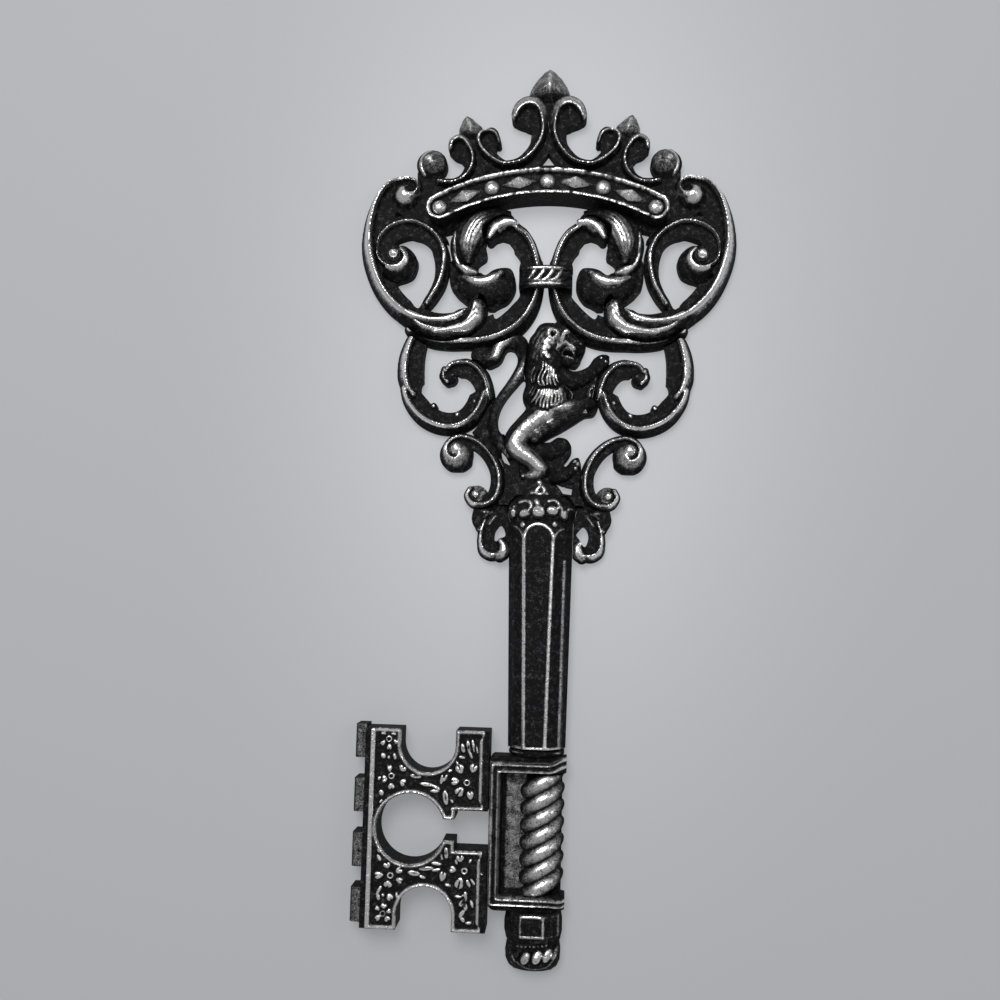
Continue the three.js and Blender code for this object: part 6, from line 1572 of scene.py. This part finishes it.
PETALS = [
    ((-58.1, -91.1), 2.8, 1.5, 0.2), ((-54.4, -91.2), 2.8, 1.5, -3.5), ((-58.4, -94.9), 2.4, 1.8, -2.3),
    ((-53.4, -94.3), 2.4, 1.6, -0.8), ((-55.9, -96.3), 2.4, 2.0, -1.6), ((-55.5, -104.3), 2.8, 2.0, 1.7),
    ((-50.5, -104.1), 2.4, 3.6, 1.0), ((-57.3, -108.3), 2.2, 3.2, -3.1), ((-54.7, -110.9), 2.4, 2.8, -1.4),
    ((-50.3, -109.3), 2.4, 3.2, -0.5), ((-28.7, -103.6), 3.6, 3.8, 2.0), ((-23.5, -103.2), 3.4, 3.6, 1.2),
    ((-30.4, -108.2), 3.2, 3.4, -3.1), ((-28.5, -111.9), 3.8, 4.0, -2.2), ((-24.5, -113.2), 3.4, 3.0, 1.7),
    ((-55.2, -140.0), 2.4, 3.2, 1.9), ((-58.3, -143.8), 3.4, 3.0, -3.0), ((-54.7, -146.9), 2.6, 3.6, -1.7),
    ((-50.7, -141.7), 2.8, 3.0, 0.7), ((-50.4, -145.3), 2.8, 2.4, -0.4), ((-27.7, -136.4), 2.8, 3.8, 1.7),
    ((-30.4, -140.6), 2.6, 3.0, -3.5), ((-34.1, -143.2), 3.8, 3.0, 1.4), ((-27.7, -145.4), 4.4, 4.0, -1.8),
    ((-55.9, -154.9), 2.0, 2.6, 1.4), ((-58.4, -155.9), 2.2, 1.8, 2.6), ((-53.9, -156.7), 2.4, 2.0, 0.3),
    ((-58.1, -159.2), 2.6, 2.2, -2.4), ((-54.5, -159.4), 2.2, 2.8, -1.0), ((-53.8, -151.6), 2.8, 3.0, -1.0),
]
RINGS = [(-54.8, -107.1), (-25.9, -108.6), (-53.9, -143.7), (-26.0, -141.0), (-56.3, -157.7), (-56.1, -93.3)]
LEAVES = [
    ((-58.1, -99.7), 2.2, 2.0, -1.0), ((-56.0, -100.2), 1.4, 1.0, -1.2), ((-53.7, -99.8), 2.6, 1.3, -1.3),
    ((-51.1, -100.1), 1.8, 1.0, -0.7), ((-59.3, -108.1), 1.8, 1.2, 0.8), ((-58.4, -113.4), 2.4, 2.2, -1.2),
    ((-58.4, -116.6), 2.0, 1.0, 1.0), ((-45.4, -106.8), 4.6, 2.2, -0.1), ((-41.0, -109.8), 5.6, 1.8, -0.1),
    ((-37.5, -110.8), 3.8, 1.5, -0.4), ((-38.0, -112.1), 3.8, 1.4, 0.0), ((-35.5, -107.7), 4.0, 1.4, -1.7),
    ((-34.2, -107.3), 3.2, 1.1, 1.1), ((-32.4, -104.4), 2.0, 1.2, 0.3), ((-33.8, -114.4), 5.6, 2.8, -1.4),
    ((-31.5, -115.6), 2.0, 1.0, -0.8), ((-29.7, -101.5), 2.0, 1.2, -1.0), ((-27.7, -95.9), 3.6, 2.2, -1.3),
    ((-25.6, -95.3), 4.8, 2.2, -1.4), ((-23.8, -95.0), 5.2, 1.3, -1.4), ((-22.3, -96.3), 3.2, 1.2, -1.3),
    ((-24.7, -98.2), 3.2, 1.2, -1.2), ((-28.1, -99.3), 2.6, 1.3, -0.2), ((-58.7, -134.9), 2.0, 1.0, -0.9),
    ((-58.4, -137.4), 2.8, 1.6, -1.1), ((-45.0, -142.5), 4.8, 2.6, -0.1), ((-41.8, -143.8), 2.6, 1.3, -0.3),
    ((-40.4, -140.6), 6.4, 2.0, 0.1), ((-36.6, -141.0), 3.6, 1.3, 0.2), ((-36.8, -138.7), 4.4, 1.6, -0.1),
    ((-34.7, -135.7), 3.6, 1.2, -1.4), ((-33.0, -134.6), 4.4, 2.4, -1.5), ((-29.1, -137.7), 2.4, 1.3, -1.2),
    ((-23.9, -137.3), 1.8, 1.0, 1.0), ((-32.1, -146.4), 2.4, 1.2, -0.2), ((-24.4, -145.4), 3.2, 1.5, -1.1),
    ((-22.6, -144.9), 3.2, 1.2, -0.9), ((-19.3, -141.9), 1.6, 1.0, 0.0), ((-58.1, -149.4), 4.0, 1.4, 1.1),
    ((-58.2, -151.6), 2.8, 1.8, -1.4), ((-56.5, -151.0), 1.4, 1.1, -1.0), ((-51.1, -151.1), 2.6, 1.4, -1.3),
    ((-28.0, -150.4), 2.8, 1.3, -0.1), ((-26.5, -150.1), 1.6, 1.1, 1.0), ((-25.3, -150.6), 4.8, 1.7, -1.5),
    ((-26.4, -152.4), 3.6, 2.8, 1.0), ((-25.3, -153.6), 3.6, 2.2, -1.4), ((-26.5, -156.4), 3.6, 2.0, 1.0),
    ((-26.3, -158.4), 2.8, 1.7, -0.9), ((-24.0, -159.7), 2.4, 1.3, 0.1), ((-22.9, -152.8), 3.2, 1.3, -1.2),
]
for place, length, width, turn in PETALS:
    field_leaf(place, length, width, turn, 0.9, heart=0.8)
for place, length, width, turn in LEAVES:
    field_leaf(place, length, width, turn)
for place in RINGS:
    d = np.hypot(x - place[0], y - place[1])
    bit.height = np.maximum(bit.height, FIELD + 0.7 * np.exp(-((d - 0.95) / 0.3) ** 2) * (d < 2))
body_of("bit_plate", bit, SILVER, seed=141, soften=0.16, rough=0.02, wear=((0.9, 0.06, 0.32),))

# %% [markdown]
# ## Repeated parts, grown by rules
# Beads and lozenges stand in turn on the band, turns of rope lie side by side in the sleeve and teeth sit
# at even steps on the bit. Such parts are grown by node trees with named inputs: a rule places points, one
# form is set on each of them, and the result becomes a plain mesh.

# %% Node tree helper
class Growth:
    def __init__(self, name, inputs):
        self.tree = bpy.data.node_groups.new(name, "GeometryNodeTree")
        for label, kind in inputs.items():
            self.tree.interface.new_socket(label, in_out="INPUT", socket_type="NodeSocket" + kind)
        self.tree.interface.new_socket("Geometry", in_out="OUTPUT", socket_type="NodeSocketGeometry")
        self.given = self.tree.nodes.new("NodeGroupInput").outputs
        self.result = self.tree.nodes.new("NodeGroupOutput")

    def put(self, kind, *values, **settings):
        return put(self.tree, kind, *values, **settings)

    def maths(self, operation, *values):
        return self.put("ShaderNodeMath", *values, operation=operation)

    def point(self, x, y, z):
        return self.put("ShaderNodeCombineXYZ", x, y, z)

    def parts(self, vector):
        node = self.tree.nodes.new("ShaderNodeSeparateXYZ")
        self.tree.links.new(vector, node.inputs[0])
        return node.outputs

    def polish(self, geometry, value):
        return self.put("GeometryNodeStoreNamedAttribute", geometry, None, "polish", value,
                        data_type="FLOAT", domain="POINT")

    def finish(self, geometry):
        """Last steps of every tree: millimetres to metres, real geometry, material."""
        scaled = self.put("GeometryNodeTransform", geometry, None, None, (MM, MM, MM))
        real = self.put("GeometryNodeRealizeInstances", scaled)
        done = self.put("GeometryNodeSetMaterial", real, None, self.given["Material"])
        self.tree.links.new(done, self.result.inputs["Geometry"])


def grown(name, growth, values, nodes, angle=38):
    """Let a tree grow its piece, keep the result as a plain mesh and finish it."""
    host = new_object(name, bpy.data.meshes.new(name))
    modifier = host.modifiers.new("growth", "NODES")
    modifier.node_group = growth.tree
    for item in growth.tree.interface.items_tree:
        if item.in_out == "INPUT":
            modifier[item.identifier] = values[item.name]
    graph = bpy.context.evaluated_depsgraph_get()
    plain = bpy.data.meshes.new_from_object(host.evaluated_get(graph))
    host.modifiers.remove(modifier)
    host.data = plain
    finish_piece(host, values["Material"], nodes[0], angle)
    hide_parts(*nodes)

# %% [markdown]
# ## Beads and lozenges on the band
# Five pearls and four pointed lozenges stand in turn on the arc of the band. One rule makes both: it
# spreads points on the arc, and a ball that can be drawn out to a point is set on each.

# %% Beads and lozenges
marks = Growth("Marks on an arc", {
    "Count": "Int", "Shift": "Float", "Steps": "Float", "Arc Radius": "Float", "Arc Centre": "Float",
    "Half Angle": "Float", "Floor": "Float", "Sides": "Int", "Point": "Float", "Fullness": "Float",
    "Size": "Vector", "Polish": "Float", "Material": "Material",
})
g = marks.given
row = marks.put("GeometryNodeMeshLine", g["Count"])
index = marks.put("GeometryNodeInputIndex")
way = marks.maths("DIVIDE", marks.maths("ADD", marks.maths("MULTIPLY", index, 2.0), g["Shift"]), g["Steps"])
turn = marks.maths("MULTIPLY", marks.maths("SUBTRACT", way, 1.0), g["Half Angle"])
spot_x = marks.maths("MULTIPLY", marks.maths("SINE", turn), g["Arc Radius"])
spot_y = marks.maths("MULTIPLY_ADD", marks.maths("COSINE", turn), g["Arc Radius"], g["Arc Centre"])
row = marks.put("GeometryNodeSetPosition", row, None, marks.point(spot_x, spot_y, g["Floor"]))
round_ = marks.put("GeometryNodeMeshUVSphere", g["Sides"], 14, 1.0)
px, py, pz = marks.parts(marks.put("GeometryNodeInputPosition"))
squared = marks.maths("SUBTRACT", 1.0, marks.maths("MULTIPLY", pz, pz))
ball_share = marks.maths("SQRT", marks.maths("MAXIMUM", squared, 0.0001))
spike = marks.maths("SUBTRACT", 1.0, marks.maths("POWER", marks.maths("ABSOLUTE", pz), g["Fullness"]))
slim = marks.put("ShaderNodeMix", g["Point"], None, 1.0, marks.maths("DIVIDE", spike, ball_share))
up = marks.maths("MAXIMUM", marks.maths("MULTIPLY", px, slim), 0.0)
drawn_out = marks.point(pz, marks.maths("MULTIPLY", py, slim), up)
mark = marks.put("GeometryNodeSetPosition", round_, None, drawn_out)
level = marks.parts(marks.put("GeometryNodeInputPosition"))[2]
mark = marks.polish(mark, marks.put("ShaderNodeMapRange", level, 0.0, 0.8, 0.12, g["Polish"]))
tilt = marks.point(0.0, 0.0, marks.maths("MULTIPLY", turn, -1.0))
marks.finish(marks.put("GeometryNodeInstanceOnPoints", row, None, mark, None, None, tilt, g["Size"]))
arc = {
    "Arc Radius": BAND["radius"], "Arc Centre": BAND_Y, "Half Angle": BAND_ANGLE,
    "Floor": BAND["floor"] + 0.05, "Material": SILVER, "Steps": 4.0, "Fullness": 0.95,
}
grown("band_beads", marks, {
    **arc, "Count": 5, "Shift": 0.0, "Sides": 24, "Point": 0.0, "Size": (3.1, 3.1, 2.2), "Polish": 0.56,
}, [f"band_bead_{k}" for k in range(1, 6)])
grown("band_lozenges", marks, {
    **arc, "Count": 4, "Shift": 1.0, "Sides": 6, "Point": 1.0, "Size": (8.0, 2.8, 2.3), "Polish": 0.75,
}, [f"band_lozenge_{k}" for k in range(1, 5)], angle=24)

# %% [markdown]
# ## Rope twist
# Thick slanting turns of rope fill the open sleeve. Each turn is a bent wire with a round section, and
# the row of turns is cut off level at the ends and at the recess floor.

# %% Rope twist
low, high = box_mm("rope_core")
pitch = (high[1] - low[1]) / 7
rope = Growth("Turns of rope", {
    "Turns": "Int", "Pitch": "Float", "First": "Vector", "Bar": "Float", "Strand": "Float", "Rise": "Float",
    "Floor": "Float", "Material": "Material",
})
g = rope.given
wire = rope.put("GeometryNodeCurvePrimitiveLine", (0, 0, 0), (0, 1, 0))
wire = rope.put("GeometryNodeResampleCurve", wire, None, 40)
way = rope.put("GeometryNodeSplineParameter")
bend = rope.put("ShaderNodeMapRange", way, 0.0, 1.0, -1.32, 1.5)
reach = rope.maths("SUBTRACT", g["Bar"], g["Strand"])
wire_x = rope.maths("MULTIPLY", rope.maths("SINE", bend), reach)
wire_z = rope.maths("MULTIPLY_ADD", rope.maths("COSINE", bend), reach, g["Floor"])
wire_y = rope.maths("MULTIPLY", rope.maths("SUBTRACT", way, 0.5), g["Rise"])
wire = rope.put("GeometryNodeSetPosition", wire, None, rope.point(wire_x, wire_y, wire_z))
blunt = rope.put("ShaderNodeMapRange", way, 0.0, 0.12, 1.0, 0.0)
blunt = rope.maths("SQRT", rope.maths("SUBTRACT", 1.02, rope.maths("MULTIPLY", blunt, blunt)))
section = rope.put("GeometryNodeCurvePrimitiveCircle", 18, None, None, None, 1.0)
strand = rope.put("GeometryNodeCurveToMesh", wire, section, rope.maths("MULTIPLY", blunt, g["Strand"]), True)
rows = rope.put("GeometryNodeMeshLine", g["Turns"], None, g["First"], rope.point(0.0, g["Pitch"], 0.0))
coil = rope.put("GeometryNodeRealizeInstances", rope.put("GeometryNodeInstanceOnPoints", rows, None, strand))
px, py, pz = rope.parts(rope.put("GeometryNodeInputPosition"))
level_y = rope.maths("MINIMUM", rope.maths("MAXIMUM", py, low[1]), high[1])
cut_off = rope.point(px, level_y, rope.maths("MAXIMUM", pz, g["Floor"]))
coil = rope.put("GeometryNodeSetPosition", coil, None, cut_off)
lift = rope.parts(rope.put("GeometryNodeInputNormal"))[2]
shine = rope.put("ShaderNodeMapRange", lift, 0.35, 0.98, 0.06, 0.62)
# The turns are darker towards their left ends.
darker_left_ends = rope.put("ShaderNodeMapRange", px, -6.5, 0.5, 0.45, 1.0)
coil = rope.polish(coil, rope.maths("MULTIPLY", shine, darker_left_ends))
rope.finish(coil)
grown("rope_core_turns", rope, {
    "Turns": 7, "Pitch": pitch, "First": (2.1, low[1] + pitch / 2, 0.0), "Bar": 9.0, "Strand": pitch * 0.48,
    "Rise": 9.4, "Floor": 3.4, "Material": SILVER,
}, ["rope_core"])

# %% [markdown]
# ## Teeth
# Four blunt teeth stand on the long edge of the bit. They are one block with a slanting outer edge, set
# at even steps.

# %% Teeth
teeth = Growth("Teeth on an edge", {
    "Count": "Int", "Start": "Vector", "Pitch": "Float", "Size": "Vector", "Bevel": "Float",
    "Polish": "Float", "Material": "Material",
})
g = teeth.given
block = teeth.put("GeometryNodeMeshCube", (1, 1, 1), 9, 15, 11)
sized = teeth.parts(g["Size"])
place = teeth.point(teeth.maths("MULTIPLY", sized[0], -0.5), 0.0, teeth.maths("MULTIPLY", sized[2], 0.5))
block = teeth.put("GeometryNodeTransform", block, place, None, g["Size"])
tx, ty, tz = teeth.parts(teeth.put("GeometryNodeInputPosition"))
corner = teeth.maths("SUBTRACT", teeth.maths("ADD", sized[0], tx), g["Bevel"])
sink = teeth.maths("MINIMUM", corner, 0.0)
top_z = teeth.maths("ADD", sized[2], sink)
block = teeth.put("GeometryNodeSetPosition", block, None,
                  teeth.point(tx, ty, teeth.maths("MINIMUM", tz, top_z)))
block = teeth.polish(block, teeth.put("ShaderNodeMapRange", tz, 8.2, 9.3, 0.0, g["Polish"]))
row = teeth.put("GeometryNodeMeshLine", g["Count"], None, g["Start"], teeth.point(0.0, g["Pitch"], 0.0))
teeth.finish(teeth.put("GeometryNodeInstanceOnPoints", row, None, block))
low, high = box_mm("bit_tooth_1")
grown("bit_teeth", teeth, {
    "Count": 4, "Start": (BIT["left"] - LEDGE - SEAM, (low[1] + high[1]) / 2, 0.0), "Pitch": 20.3,
    "Size": (4.1, 12.6, 9.5), "Bevel": 0.9, "Polish": 0.34, "Material": HALF,
}, [f"bit_tooth_{k}" for k in range(1, 5)])

# %% [markdown]
# ## Table
# The key lies on a plain pale table. Towards the camera the table also glows of itself, which leaves the
# shadow soft:
# this glow is painted light, a painted pool of light that is brightest over the head of the key and fades to
# the edges.

# %% Table
TABLE_HALF, TABLE_LEVEL = 2, -0.0002
TABLE_COLOUR, PAINTED_LIGHT_COLOUR = (0.475, 0.48, 0.50, 1), (0.50, 0.505, 0.525, 1)
PAINTED_LIGHT_SHARE, PAINTED_LIGHT_BASE = 0.5, 0.84


def table_top():
    corners = [(x * TABLE_HALF, y * TABLE_HALF, TABLE_LEVEL) for x, y in ((-1, -1), (1, -1), (1, 1), (-1, 1))]
    mesh = bpy.data.meshes.new("table")
    mesh.from_pydata(corners, [], [(0, 1, 2, 3)])
    material = bpy.data.materials.new("pale_table")
    material.use_nodes = True
    tree = material.node_tree
    shader = tree.nodes["Principled BSDF"]
    shader.inputs["Base Color"].default_value = TABLE_COLOUR
    shader.inputs["Roughness"].default_value = 0.9
    rays = tree.nodes.new("ShaderNodeLightPath").outputs
    seen = rays["Is Camera Ray"]
    for kind in ("Is Glossy Ray", "Is Transmission Ray"):
        seen = put(tree, "ShaderNodeMath", seen, rays[kind], operation="MAXIMUM")
    part = put(tree, "ShaderNodeMath", seen, PAINTED_LIGHT_SHARE, operation="MULTIPLY")
    # Painted pool of light: the glow is strongest over the head of the key and falls off towards the edges.
    spot = put(tree, "ShaderNodeTexCoord", out="Object")
    placed = put(tree, "ShaderNodeMapping", spot, (0.0, -0.233, 0.0), None, (5.9, 3.33, 1.0))
    painted_light_pool = put(tree, "ShaderNodeTexGradient", placed, gradient_type="SPHERICAL", out="Fac")
    bent = put(tree, "ShaderNodeMath", painted_light_pool, 2.0, operation="POWER")
    level = put(tree, "ShaderNodeMath", bent, PAINTED_LIGHT_BASE, operation="ADD")
    even = put(tree, "ShaderNodeEmission", PAINTED_LIGHT_COLOUR, level)
    blend = put(tree, "ShaderNodeMixShader", part, shader.outputs[0], even)
    tree.links.new(blend, tree.nodes["Material Output"].inputs["Surface"])
    mesh.materials.append(material)
    new_object("table", mesh)


table_top()

# %% [markdown]
# ## Lamps, room and camera
# One large soft lamp above the head of the key, a weak one from the right and a dim room give the
# light. The camera looks down almost straight, a little turned and leaned.

# %% Lamps, room and camera
CAMERA_PLACE, CAMERA_TURN = (0.009883, -0.039041, 0.396849), (5.7106, 3.7006, 1.3782)
ROOM_COLOUR = (0.33, 0.33, 0.34, 1)


def lamp(name, place, size, power):
    """Round soft lamp that points at the middle of the key."""
    light = bpy.data.lights.new(name, "AREA")
    light.shape, light.size, light.energy = "DISK", size, power
    lamp_object = new_object(name, light)
    lamp_object.location = place
    lamp_object.rotation_euler = (-Vector(place)).to_track_quat("-Z", "Y").to_euler()


lamp("soft_panel_over_head", (-0.12, 0.38, 0.80), 0.5, 5.8)
lamp("fill_right", (0.9, 0.2, 0.8), 0.5, 1.2)
world = bpy.data.worlds.new("room")
bpy.context.scene.world = world
world.use_nodes = True
world.node_tree.nodes["Background"].inputs["Color"].default_value = ROOM_COLOUR
world.node_tree.nodes["Background"].inputs["Strength"].default_value = 1.0

camera = bpy.data.cameras.new("camera")
camera.lens = 36
camera.sensor_width = 36
camera.clip_start = 0.01
eye = new_object("camera", camera)
eye.location = CAMERA_PLACE
eye.rotation_euler = [math.radians(angle) for angle in CAMERA_TURN]
bpy.context.scene.camera = eye
bpy.context.scene.view_settings.view_transform = "Standard"
